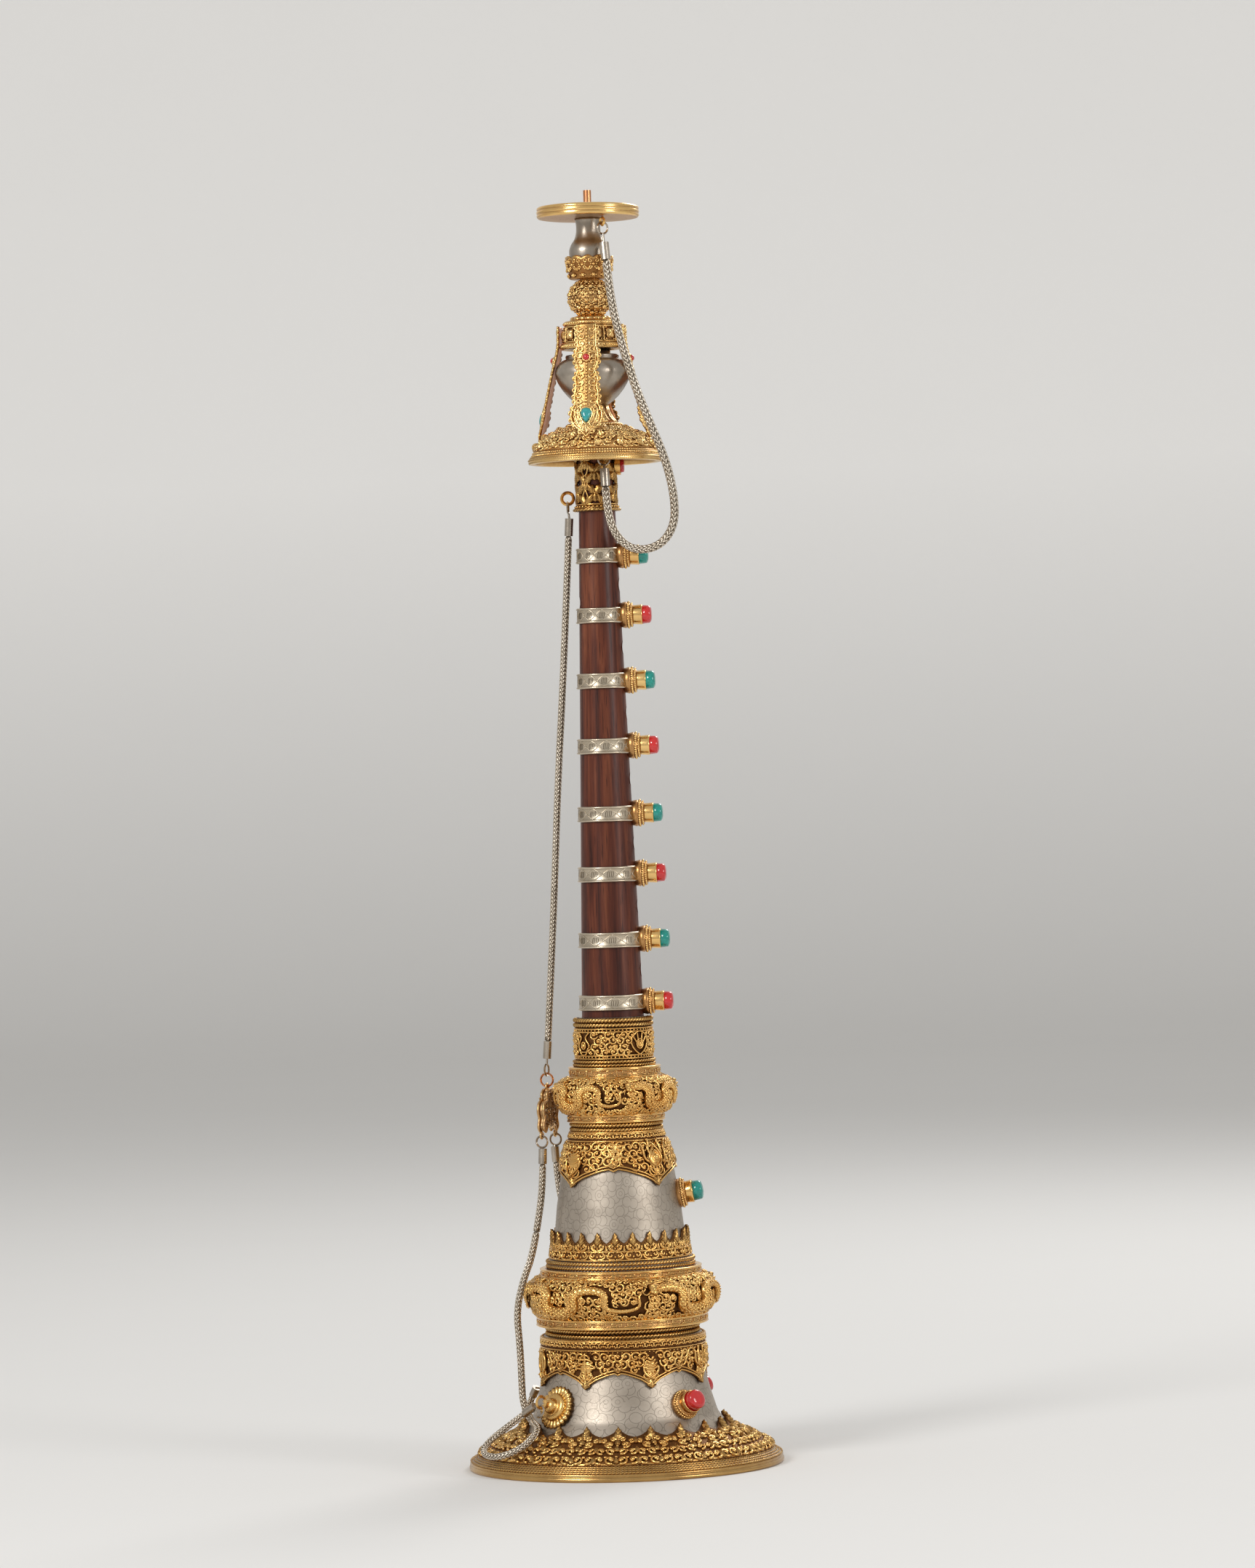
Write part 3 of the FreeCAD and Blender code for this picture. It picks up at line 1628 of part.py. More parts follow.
def pendant_crown_loop():
    """The middle of the loop that the pendant hangs by."""
    return pendant_centre() + upwards * (pendant_height / 2 + pendant_drop - pendant_loop_radius)


def make_pendant():
    """The pierced pendant: a lobed plate with a loop on top and two below."""
    centre = pendant_centre()
    facing = polar(1, pendant_facing, 0)
    sideways = polar(1, pendant_facing - quarter_turn, 0)
    top = centre + upwards * (pendant_height / 2)
    back = facing * (-pendant_sheet / 2)

    def plate(pairs):
        points = [top + back + sideways * across - upwards * drop for across, drop in pairs]
        return Part.Face(Part.makePolygon(points + points[:1])).extrude(facing * pendant_sheet)

    right = [(pendant_half_width * reach, pendant_height * drop) for reach, drop in pendant_outline_shares]
    left = [(-across, drop) for across, drop in reversed(right[:-1])]
    body = plate(right + left)
    for side in (-1, 1):
        across = side * pendant_half_width / 2
        half = pendant_half_width * pendant_window_share
        level = pendant_height * pendant_window_drop_share
        window = [(-half, 0), (0, -half), (half, 0), (0, half)]
        body = body.cut(plate([(across + over, level + down) for over, down in window]))
    front_loop, rear_loop = pendant_loops()
    crown_loop = pendant_crown_loop()
    rings = [
        wire_ring(pendant_loop_radius, pendant_loop_wire, place, facing)
        for place in (crown_loop, front_loop, rear_loop)
    ]
    keep("pendant", body.fuse(rings))


def main():
    """Makes every node and writes it to its own file."""
    os.makedirs("parts", exist_ok=True)
    make_bells()
    make_rim()
    make_rings()
    make_skirts()
    make_crests()
    make_bell_fittings()
    make_chanter()
    make_bands()
    carry_eyelet, safety_eyelet = make_ferrule()
    make_staple()
    make_dome()
    make_bulb()
    make_crown()
    make_ball_and_cup()
    make_vase()
    disc_eye_centre = make_disc()
    make_straps()
    make_pendant()
    make_chains(carry_eyelet, safety_eyelet, disc_eye_centre)
    for name, shape in made_nodes.items():
        if not shape.isValid() or not shape.Solids:
            print("check", name, "solids", len(shape.Solids), "valid", shape.isValid())
        shape.exportStep(f"parts/{name}.step")
    print("nodes", len(made_nodes))


main()
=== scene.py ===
import math

import bpy
import numpy as np
from mathutils import Matrix, Vector


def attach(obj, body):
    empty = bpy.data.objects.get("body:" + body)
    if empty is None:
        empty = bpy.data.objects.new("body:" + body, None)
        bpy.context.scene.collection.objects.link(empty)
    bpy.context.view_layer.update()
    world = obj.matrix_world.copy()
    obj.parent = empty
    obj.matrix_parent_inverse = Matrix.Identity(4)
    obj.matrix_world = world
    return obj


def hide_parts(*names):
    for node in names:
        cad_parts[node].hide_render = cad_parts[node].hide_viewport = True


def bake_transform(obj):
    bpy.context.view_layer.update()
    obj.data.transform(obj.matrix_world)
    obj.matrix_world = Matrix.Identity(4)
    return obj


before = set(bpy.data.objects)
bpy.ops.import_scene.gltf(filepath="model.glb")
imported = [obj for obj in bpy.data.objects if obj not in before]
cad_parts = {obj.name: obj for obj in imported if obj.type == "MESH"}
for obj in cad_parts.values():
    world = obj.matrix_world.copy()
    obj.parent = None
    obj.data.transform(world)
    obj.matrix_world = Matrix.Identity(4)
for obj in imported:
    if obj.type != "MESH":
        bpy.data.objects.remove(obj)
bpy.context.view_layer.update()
scene = bpy.context.scene
mm = 0.001
fullTurn = 2 * math.pi
print("frame loaded:", len(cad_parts), "nodes")


# meshes from arrays; every length below is in mm until newMesh turns it to metres

def stripFaces(rows, cols, wrapRows=False, wrapCols=False):
    # quads of a grid whose point (i, j) has the number i * cols + j
    i, j = np.meshgrid(
        np.arange(rows if wrapRows else rows - 1), np.arange(cols if wrapCols else cols - 1), indexing="ij"
    )
    down, right = (i + 1) % rows, (j + 1) % cols
    return np.stack([i * cols + j, i * cols + right, down * cols + right, down * cols + j], -1).reshape(-1, 4)


def newMesh(name, points, faceSets, marks=None):
    # points in metres, face sets of triangles and quads, and a mark from 0 to 1 of painted shade that darkens
    # hollows and undersides
    mesh = bpy.data.meshes.new(name)
    mesh.vertices.add(len(points))
    mesh.vertices.foreach_set("co", np.asarray(points, np.float32).ravel())
    sizes = np.concatenate([np.full(len(faces), faces.shape[1]) for faces in faceSets])
    corners = np.concatenate([faces.ravel() for faces in faceSets]).astype(np.int32)
    mesh.loops.add(len(corners))
    mesh.loops.foreach_set("vertex_index", corners)
    mesh.polygons.add(len(sizes))
    mesh.polygons.foreach_set("loop_start", (np.cumsum(sizes) - sizes).astype(np.int32))
    mesh.polygons.foreach_set("use_smooth", np.full(len(sizes), True))
    if marks is not None:
        mark = mesh.attributes.new("paintedShade", "FLOAT", "POINT")
        mark.data.foreach_set("value", np.asarray(marks, np.float32))
    mesh.update(calc_edges=True)
    made = bpy.data.objects.new(name, mesh)
    scene.collection.objects.link(made)
    return made


def joined(parts):
    # one (points, face sets, marks) from several, each part's faces numbered on from the last
    points, faces, marks, first = [], [], [], 0
    for spots, faceSets, mark in parts:
        spots = np.reshape(spots, (-1, 3))
        points.append(spots)
        faces += [faceSet + first for faceSet in faceSets]
        marks.append(np.broadcast_to(np.ravel(mark), (len(spots),)))
        first += len(spots)
    return np.concatenate(points), faces, np.concatenate(marks)


def build(name, parts, body, finish, *nodes):
    # one mesh from several parts; it rides a body and stands for CAD nodes
    points, faces, marks = joined(parts)
    made = newMesh(name, points * mm, faces, marks)
    made.data.materials.append(finish)
    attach(made, body)
    if nodes:
        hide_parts(*nodes)


def polar(r, a, z):
    # (r cos a, r sin a, z)
    return np.stack(np.broadcast_arrays(r * np.cos(a), r * np.sin(a), z), -1)


def unit(v):
    # v / |v|
    return v / np.maximum(np.linalg.norm(v, axis=-1, keepdims=True), 1e-9)


def tube(paths, normals, width, height=None, sides=6, closed=False, mark=None):
    # point = path + width * cos t * side + height * sin t * up, where side = normal x direction
    height = width if height is None else height
    count, steps = paths.shape[:2]
    ahead = np.roll(paths, -1, 1) - np.roll(paths, 1, 1) if closed else np.gradient(paths, axis=1)
    along = unit(ahead)
    side = unit(np.cross(normals, along))
    up = np.cross(along, side)
    t = np.arange(sides) / sides * fullTurn
    w = np.broadcast_to(width, (count, steps))[:, :, None, None]
    h = np.broadcast_to(height, (count, steps))[:, :, None, None]
    rings = paths[:, :, None] + side[:, :, None] * (w * np.cos(t)[:, None])
    rings = rings + up[:, :, None] * (h * np.sin(t)[:, None])
    # painted shade: each wire is darkest on its side towards the wall, lighter at its sides and bright on
    # top; its end caps get a little
    shade = np.clip(0.38 - 0.6 * np.sin(t), 0, 1) if mark is None else np.full(sides, mark)
    marks = np.broadcast_to(shade, (count, steps, sides)).reshape(count, -1)
    quads = stripFaces(steps, sides, closed, True)[:, ::-1]
    if closed:
        shift = (np.arange(count) * steps * sides)[:, None, None]
        return rings.reshape(-1, 3), [(quads[None] + shift).reshape(-1, 4)], marks.ravel()
    points = np.concatenate([rings.reshape(count, -1, 3), paths[:, :1], paths[:, -1:]], 1)
    marks = np.concatenate([marks, np.full((count, 2), 0.3)], 1)
    k, last = np.arange(sides), (steps - 1) * sides
    start = np.stack([np.full(sides, steps * sides), k, (k + 1) % sides], -1)
    end = np.stack([np.full(sides, steps * sides + 1), last + (k + 1) % sides, last + k], -1)
    shift = (np.arange(count) * (steps * sides + 2))[:, None, None]
    return (
        points.reshape(-1, 3),
        [(quads[None] + shift).reshape(-1, 4), (np.concatenate([start, end])[None] + shift).reshape(-1, 3)],
        marks.ravel(),
    )


def placed(points, centres, axes, size=1.0):
    # centre + size * (px * x + py * y + pz * z), for every point at every centre
    return centres[:, None] + size * np.einsum("pk,nkj->npj", points, axes)


def copies(template, centres, x, y, z, size=1.0):
    # the template's points placed at each centre, its faces numbered on
    points, faceSets, marks = template
    centres, *axes = (np.reshape(v, (-1, 3)) for v in (centres, x, y, z))
    count = len(centres)
    axes = np.stack([np.broadcast_to(a, (count, 3)) for a in axes], 1)
    spots = placed(points, centres, axes, np.broadcast_to(size, (count,))[:, None, None])
    shift = (np.arange(count) * len(points))[:, None, None]
    faces = [(f[None] + shift).reshape(-1, f.shape[1]) for f in faceSets]
    return spots.reshape(-1, 3), faces, np.broadcast_to(marks, (count, len(points))).ravel()


def stroke(flat, seat, width, height=None, sides=6, closed=False, mark=None):
    # one path of (x, y, z) points, drawn as a tube at every seat (centres and their three axes)
    path = placed(flat, seat[0], np.stack(seat[1:], 1))
    return tube(path, np.broadcast_to(seat[3][:, None], path.shape), width, height, sides, closed, mark)


def cushion(rings, sides, shape, foot=0.0):
    # closed polar form: (p * w * cos a, p * w * sin a, h) with (w, h) = shape(p, a) and p from 1 down to 0
    p, a = np.meshgrid(np.linspace(1, 0, rings + 1)[:-1], np.arange(sides) / sides * fullTurn, indexing="ij")
    w, h = shape(p, a)
    w, h = np.broadcast_to(w, p.shape), np.broadcast_to(h, p.shape)
    top = float(np.ravel(shape(np.zeros(1), np.zeros(1))[1])[0])
    points = np.stack([p * w * np.cos(a), p * w * np.sin(a), h], -1).reshape(-1, 3)
    points = np.concatenate([points, [[0, 0, top]], [[0, 0, foot + float(h[0].min())]]])
    k, last = np.arange(sides), (rings - 1) * sides
    pole = np.stack([last + k, last + (k + 1) % sides, np.full(sides, rings * sides)], -1)
    under = np.stack([(k + 1) % sides, k, np.full(sides, rings * sides + 1)], -1)
    # painted shade: the lower a point of the form, the darker, and its underside in full shade
    level = (h - h.min()) / max(float(h.max() - h.min()), 1e-6)
    marks = np.concatenate([np.clip(0.95 - 1.25 * level, 0, 1).ravel(), [0.0, 1.0]])
    return points, [stripFaces(rings, sides, False, True), np.concatenate([pole, under])], marks


def lidded(rows, marks, ends=0.2):
    # closed form from rings of points (rows, cols, 3), drawn in to the axis at its first and last heights
    rows = np.asarray(rows, float)
    count, cols = rows.shape[:2]
    points = np.concatenate([rows.reshape(-1, 3), [[0, 0, rows[0, 0, 2]], [0, 0, rows[-1, 0, 2]]]])
    k, n = np.arange(cols), count * cols
    low = np.stack([(k + 1) % cols, k, np.full(cols, n)], -1)
    high = np.stack([n - cols + k, n - cols + (k + 1) % cols, np.full(cols, n + 1)], -1)
    marks = np.append(np.broadcast_to(marks, (count, cols)), [ends, ends])
    return points, [stripFaces(count, cols, False, True), np.concatenate([low, high])], marks


def turned(pairs, cols=24, mark=0.15):
    # closed turned form along z: (r * cos a, r * sin a, z), its first and last pairs drawn in to the axis
    pairs = np.array(pairs, float)
    return lidded(polar(pairs[:, :1], np.arange(cols) / cols * fullTurn, pairs[:, 1:]), mark, mark)


def spun(pairs, cols=128, marks=0.0):
    # ring round the axis from a closed (radius, height) outline: up the outside, then down the inside
    pairs = np.array(pairs, float)
    spots = polar(pairs[:, :1], np.arange(cols) / cols * fullTurn, pairs[:, 1:])
    marks = np.broadcast_to(np.asarray(marks, float).reshape(-1, 1), (len(pairs), cols))
    return spots, [stripFaces(len(pairs), cols, True, True)], marks


def slab(top, bottom, topMarks, bottomMark=1.0):
    # a patch closed by its back: grids (count, rows, cols, 3) sewn together round their edges
    count, rows, cols = top.shape[:3]
    n = rows * cols
    faces = stripFaces(rows, cols)
    number = np.arange(n).reshape(rows, cols)
    edge = np.concatenate([number[0, :-1], number[:-1, -1], number[-1, :0:-1], number[:0:-1, 0]])
    following = np.roll(edge, -1)
    sides = np.stack([following, edge, edge + n, following + n], -1)
    every = np.concatenate([faces, faces[:, ::-1] + n, sides])
    shift = (np.arange(count) * 2 * n)[:, None, None]
    points = np.concatenate([top.reshape(count, n, 3), bottom.reshape(count, n, 3)], 1)
    # painted shade: the top takes the given marks and the back the bottom mark, full shade unless given
    marks = np.broadcast_to(topMarks, (count, rows, cols)).reshape(count, n)
    marks = np.concatenate([marks, np.full((count, n), bottomMark)], 1)
    return points.reshape(-1, 3), [(every[None] + shift).reshape(-1, 4)], marks.ravel()


def makeWall(pairs, ease=9):
    # a turned wall from its (radius, height) pairs, eased by a running mean, with normal (dz, -dr) / ds
    pairs = np.array(pairs, float)
    step = np.concatenate([[0], np.cumsum(np.hypot(*np.diff(pairs, axis=0).T))])
    fine = np.linspace(0, step[-1], 200)

    def easeOut(v):
        # running mean over ease points, with each end carried on by point reflection
        pad = ease // 2
        long = np.concatenate([2 * v[0] - v[pad:0:-1], v, 2 * v[-1] - v[-2:-2 - pad:-1]])
        return np.convolve(long, np.ones(ease) / ease, "valid")

    r, z = easeOut(np.interp(fine, step, pairs[:, 0])), easeOut(np.interp(fine, step, pairs[:, 1]))
    s = np.concatenate([[0], np.cumsum(np.hypot(np.diff(r), np.diff(z)))])
    dr, dz = np.gradient(r, s), np.gradient(z, s)
    size = np.hypot(dr, dz)
    return {"s": s, "r": r, "z": z, "nr": dz / size, "nz": -dr / size, "length": s[-1]}


def upTo(wall, level):
    # how far up a rising wall a height is
    return np.interp(level, wall["z"], wall["s"])


def radiusAt(wall, along):
    # the wall's radius at a distance up it
    return np.interp(along, wall["s"], wall["r"])


def profile(wall, every):
    # some of the wall's own (radius, height) pairs
    return np.stack([wall["r"], wall["z"]], -1)[::every]


def onWall(wall, angle, along, lift=0.0):
    # ((r + lift * nr) * (cos, sin) of the angle, z + lift * nz), and the normal there
    angle, along, lift = np.broadcast_arrays(angle, along, lift)
    r, z, nr, nz = (np.interp(along, wall["s"], wall[key]) for key in ("r", "z", "nr", "nz"))
    return polar(r + lift * nr, angle, z + lift * nz), polar(nr, angle, nz)


def seats(wall, angle, along, turn=0.0, lift=0.0):
    # centre and axes on the wall: x round it, y up it and z off it, turned in its plane
    spots, off = onWall(wall, angle, along, lift)
    angle = np.broadcast_to(angle, off.shape[:-1])
    around = np.stack([-np.sin(angle), np.cos(angle), np.zeros_like(angle)], -1)
    rise = np.cross(off, around)
    c, s = (np.broadcast_to(v, off.shape[:-1])[..., None] for v in (np.cos(turn), np.sin(turn)))
    return tuple(v.reshape(-1, 3) for v in (spots, around * c + rise * s, rise * c - around * s, off))


def wires(wall, curves, angles, lift=0.4, width=0.45, height=None, sides=5, mark=None):
    # flat curves (x round the wall, y up it) laid at each angle: angle + x / r(y)
    curves = np.asarray(curves, float)
    curves = curves[None] if curves.ndim == 2 else curves
    angles = np.asarray(angles, float).reshape(-1, 1, 1)
    y = np.broadcast_to(curves[None, :, :, 1], (len(angles),) + curves.shape[:2])
    turn = angles + curves[None, :, :, 0] / radiusAt(wall, y)
    spots, off = onWall(wall, turn, y, lift)
    steps = curves.shape[1]
    return tube(spots.reshape(-1, steps, 3), off.reshape(-1, steps, 3), width, height, sides, False, mark)


def ringWires(wall, heights, lift=0.4, width=0.4, height=None, sides=6, mark=None):
    # closed wires round the wall, each at the heights given for evenly spaced angles
    heights = np.atleast_2d(heights)
    if heights.shape[1] == 1:
        heights = np.broadcast_to(heights, (len(heights), 144))
    angle = np.broadcast_to(np.arange(heights.shape[1]) / heights.shape[1] * fullTurn, heights.shape)
    spots, off = onWall(wall, angle, heights, lift)
    return tube(spots, off, width, height, sides, True, mark)


def band(wall, low, high, lift, rows=4, cols=144, back=-0.5, mark=1.0):
    # a closed skin between two distances up the wall, each a number or one value for every angle
    angle = np.arange(cols) / cols * fullTurn
    low, high = np.broadcast_to(low, (cols,)), np.broadcast_to(high, (cols,))
    t = np.linspace(0, 1, rows)[:, None]
    along = low + (high - low) * t
    spots = np.concatenate([onWall(wall, angle, along, lift)[0], onWall(wall, angle, along[::-1], back)[0]])
    # painted shade: the whole skin takes one mark, full shade by default
    return spots, [stripFaces(2 * rows, cols, True, True)], np.full(2 * rows * cols, mark)


def rope(radius, level, thick, twists, sides=8):
    # twisted wire: section radius thick * (0.76 + 0.24 * cos(2t - twists * a)) round the axis
    a, t = np.meshgrid(
        np.arange(twists * 5) / (twists * 5) * fullTurn, np.arange(sides) / sides * fullTurn, indexing="ij"
    )
    wave = np.cos(2 * t - twists * a)
    r = thick * (0.76 + 0.24 * wave)
    spots = polar(radius + r * np.cos(t), a, level + r * np.sin(t))
    # painted shade in the grooves between the strands
    marks = np.clip(0.22 - 0.7 * wave, 0, 1).ravel()
    return spots, [stripFaces(len(a), sides, True, True)[:, ::-1]], marks


def curl(x, y, size, start, hand=1, turns=1.1, steps=14):
    # spiral: (x, y) + size * (1 - 0.85 t) * (cos, sin) of start + hand * turns * 2 pi * t
    t = np.linspace(0, 1, steps)
    reach, angle = size * (1 - 0.85 * t), start + hand * turns * fullTurn * t
    return np.stack([x + reach * np.cos(angle), y + reach * np.sin(angle)], -1)


def bends(table, steps=14):
    # cubic Bezier curves, each through four flat points
    t = np.linspace(0, 1, steps)[:, None]
    p0, p1, p2, p3 = np.moveaxis(np.asarray(table, float), 1, 0)[:, :, None]
    return (1 - t) ** 3 * p0 + 3 * t * (1 - t) ** 2 * p1 + 3 * t * t * (1 - t) * p2 + t ** 3 * p3


def mirrored(curves):
    # every curve and its mirror image in x = 0
    curves = np.asarray(curves, float)
    return np.concatenate([curves, curves * [-1, 1]])


def evenly(count, start=0.0):
    # count angles round the axis, from start in degrees
    return (np.arange(count) / count + start / 360) * fullTurn


grain = cushion(2, 8, lambda p, a: (np.sqrt(1 - (1 - p) ** 2) / np.maximum(p, 1e-6), 1.25 * (1 - p)))


def outward(a, radius, level, lean=0.0):
    # seats at an angle from the axis: x round it, z outwards and up by the lean in degrees, y = z x x
    e = np.radians(lean)
    side, out = polar(1.0, a + math.pi / 2, 0.0), polar(np.cos(e), a, np.sin(e))
    return polar(radius, a, level), side, np.cross(out, side), out


def beadRow(radius, level, count, size, lean=0.0):
    # count grains round the axis, facing outwards and up by the lean
    return copies(grain, *outward(evenly(count), radius, level, lean), size)


def blossom(petals, notch=0.24, rise=0.45, rings=6):
    # petal edge 1 - notch * (1 - |cos(petals * a / 2)|), crowned petals and a raised eye
    def shape(p, a):
        # width as above; height = rise * (sin(pi p) * (0.35 + 0.65 ridge) + eye)
        ridge = np.abs(np.cos(petals * a / 2))
        eye = 1.2 * np.exp(-(p / 0.3) ** 2)
        bowl = rise * (np.sin(np.pi * np.clip(p, 0, 1)) * (0.35 + 0.65 * ridge) + eye)
        return 1 - notch * (1 - ridge) * np.clip(p * 1.4 - 0.4, 0, 1), bowl
    return cushion(rings, petals * 5, shape)


def grains(wall, angles, along, size, lift=0.3):
    # grains of one radius at each angle, at one distance up the wall or several
    angles, along = np.broadcast_arrays(angles, along)
    return copies(grain, *seats(wall, angles.ravel(), along.ravel(), 0.0, lift), size)


def leaves(wall, angles, start, length, width, turn=0.0, lift=0.3, rise=0.9, lobes=3, curlOut=0.0, rows=13,
           cols=9):
    # x = u * width * sin(pi * v^0.75) * lobed edge, y = v * length, crowned by rise * (1 - u^2) with a midrib
    angles, start = np.broadcast_arrays(np.asarray(angles, float), start)
    v, u = np.meshgrid(np.linspace(0, 1, rows), np.linspace(-1, 1, cols), indexing="ij")
    edge = np.sin(np.pi * np.clip(v, 0, 1) ** 0.75) * (1 + 0.2 * np.cos(lobes * fullTurn * v + 2.4)) + 0.03
    x, y = u * width * edge, v * length
    vein = 0.18 * np.cos(lobes * 2 * fullTurn * (v - 0.35 * np.abs(u)))
    midrib = 0.28 * np.exp(-(u / 0.16) ** 2)
    crown = rise * ((1 - u ** 2) * (0.55 + 0.45 * np.sin(np.pi * v)) + midrib + vein * (1 - np.abs(u)) * 0.8)
    c, s = np.cos(turn), np.sin(turn)
    across, up = x * c - y * s, x * s + y * c
    along = start.ravel()[:, None, None] + up
    around = angles.ravel()[:, None, None] + across / radiusAt(wall, along)
    top = onWall(wall, around, along, lift + crown + curlOut * v ** 3)[0]
    under = onWall(wall, around, along, lift - 0.45 + curlOut * v ** 3 * 0.8)[0]
    # painted shade towards the leaf's edges and in the grooves between its veins, less on the vein ridges
    marks = np.clip(0.75 * np.abs(u) ** 2 + 0.35 - 2.2 * vein, 0, 0.9)
    return slab(top, under, marks)


def fillScrolls(wall, tiles, width, low, high, gap, seed, inside=None, lift=0.35, wire=0.42, offset=0.0):
    # spirals on a shaken lattice, reach = 0.54 * gap * (1 - 0.66 t), from an arm at t = -0.3 to t = 1, each
    # with a grain in its eye and a smaller one between the rows, repeated round the wall
    rng = np.random.default_rng(seed)
    rows, cols = max(1, round((high - low) / (gap * 0.86))), max(1, round(width / gap))
    y, x = np.meshgrid((np.arange(rows) + 0.5) / rows, (np.arange(cols) + 0.5) / cols - 0.5, indexing="ij")
    x = x * width + (np.arange(rows) % 2)[:, None] * gap * 0.5 - gap * 0.25
    x = x + rng.uniform(-0.12, 0.12, x.shape) * gap
    y = low + y * (high - low) + rng.uniform(-0.12, 0.12, y.shape) * gap
    x, y = x.ravel(), y.ravel()
    if inside is not None:
        kept = inside(x, y)
        x, y = x[kept], y[kept]
    t = np.linspace(-0.3, 1, 17)
    start, hand = rng.uniform(0, fullTurn, len(x))[:, None], rng.choice([-1, 1], len(x))[:, None]
    turn = start + hand * 0.82 * fullTurn * t
    reach = gap * 0.54 * (1 - 0.66 * t)
    curves = np.stack([x[:, None] + reach * np.cos(turn), y[:, None] + reach * np.sin(turn)], -1)
    angles = evenly(tiles, offset)
    thick = wire * np.interp(t, [-0.3, -0.05, 1], [0.5, 1, 0.8])
    parts = [wires(wall, curves, angles, lift, thick, thick * 1.5)]
    radius = radiusAt(wall, y)
    around = (angles[:, None] + x / radius).ravel()
    parts.append(grains(wall, around, np.tile(y, tiles), gap * 0.21, lift + wire * 0.5))
    between = (angles[:, None] + (x + gap * 0.5) / radius).ravel()
    parts.append(grains(wall, between, np.tile(y + gap * 0.12, tiles), gap * 0.18, lift))
    return parts


fret = np.array([(0, 0), (0.84, 0), (0.84, 1), (0.2, 1), (0.2, 0.36), (0.56, 0.36), (0.56, 0.68)])


def meander(wall, count, low, high, lift=0.25, wire=0.34):
    # a square fret: each unit steps over, up, back and in, between two wires
    corner = np.arange(len(fret))
    x, y = (np.interp(np.linspace(0, len(fret) - 1, 31), corner, fret[:, k]) for k in (0, 1))
    angle = evenly(count)[:, None] + x * fullTurn / count
    spots, off = onWall(wall, angle, low + y * (high - low), lift)
    edges = ringWires(wall, [[low - wire * 2.2], [high + wire * 2.2]], lift, wire * 0.9)
    return [tube(spots, off, wire, wire, 4), edges]


# finishes, all procedural

def nodesOf(name):
    # a new material, its tree and its shader
    material = bpy.data.materials.new(name)
    material.use_nodes = True
    return material, material.node_tree, material.node_tree.nodes["Principled BSDF"]


def joinTo(tree, value, socket):
    # a socket is linked, a number or colour is set
    if isinstance(value, bpy.types.NodeSocket):
        tree.links.new(value, socket)
    else:
        socket.default_value = (*value, 1) if isinstance(value, tuple) and len(value) == 3 else value


def ramp(tree, source, stops):
    # the source's value read off a scale of (place, tone) stops, straight between them
    made = tree.nodes.new("ShaderNodeValToRGB")
    elements = made.color_ramp.elements
    while len(elements) < len(stops):
        elements.new(0.5)
    for element, (place, tone) in zip(elements, stops):
        element.position = place
        element.color = (*tone, 1) if isinstance(tone, tuple) else (tone, tone, tone, 1)
    tree.links.new(source, made.inputs["Fac"])
    return made.outputs["Color"]


def noise(tree, scale, detail=4.0, rough=0.55, stretch=(1, 1, 1), warp=0.0):
    # cloudy value from 0 to 1 at the object's own place, stretched along an axis by a scale under 1
    place = tree.nodes.new("ShaderNodeTexCoord")
    mapping = tree.nodes.new("ShaderNodeMapping")
    mapping.inputs["Scale"].default_value = stretch
    made = tree.nodes.new("ShaderNodeTexNoise")
    for key, value in (("Scale", scale), ("Detail", detail), ("Roughness", rough), ("Distortion", warp)):
        made.inputs[key].default_value = value
    tree.links.new(place.outputs["Object"], mapping.inputs["Vector"])
    tree.links.new(mapping.outputs["Vector"], made.inputs["Vector"])
    return made.outputs["Fac"]


def mixed(tree, share, first, second):
    # colour = first * (1 - share) + second * share
    made = tree.nodes.new("ShaderNodeMix")
    made.data_type = "RGBA"
    joinTo(tree, share, made.inputs[0])
    joinTo(tree, first, made.inputs[6])
    joinTo(tree, second, made.inputs[7])
    return made.outputs[2]


def worked(tree, kind, first, second=0.5, clamp=True):
    # one step of arithmetic on two values, held between 0 and 1
    made = tree.nodes.new("ShaderNodeMath")
    made.operation = kind
    made.use_clamp = clamp
    joinTo(tree, first, made.inputs[0])
    joinTo(tree, second, made.inputs[1])
    return made.outputs[0]


def bumped(tree, shader, source, strength, distance):
    # the shader's normal leans as if the source were a height
    made = tree.nodes.new("ShaderNodeBump")
    made.inputs["Strength"].default_value = strength
    made.inputs["Distance"].default_value = distance
    tree.links.new(source, made.inputs["Height"])
    tree.links.new(made.outputs["Normal"], shader.inputs["Normal"])


def metalFinish(name, bright, dull, paintedShade, roughness, depth=0.9, patches=70, bump=0.2):
    # bright and dull tones drift over the metal; the mark paints shade into its recesses by mixing in the
    # shade colour, and roughens them
    material, tree, shader = nodesOf(name)
    shader.inputs["Metallic"].default_value = 1
    drift = ramp(tree, noise(tree, patches, 5, 0.62), [(0.36, 0.0), (0.66, 1.0)])
    colour = mixed(tree, drift, bright, dull)
    mark = tree.nodes.new("ShaderNodeAttribute")
    mark.attribute_name = "paintedShade"
    fine = noise(tree, 1400, 3, 0.6)
    shade = worked(tree, "MULTIPLY", mark.outputs["Fac"], worked(tree, "ADD", fine, 0.55, False))
    colour = mixed(tree, worked(tree, "MULTIPLY", shade, depth), colour, paintedShade)
    tree.links.new(colour, shader.inputs["Base Color"])
    wear = worked(tree, "ADD", worked(tree, "MULTIPLY", fine, 0.5), worked(tree, "MULTIPLY", shade, 0.5))
    rough = ramp(tree, wear, [(0.15, max(0.05, roughness - 0.08)), (0.85, min(0.9, roughness + 0.2))])
    tree.links.new(rough, shader.inputs["Roughness"])
    bumped(tree, shader, fine, bump, 0.0002)
    return material


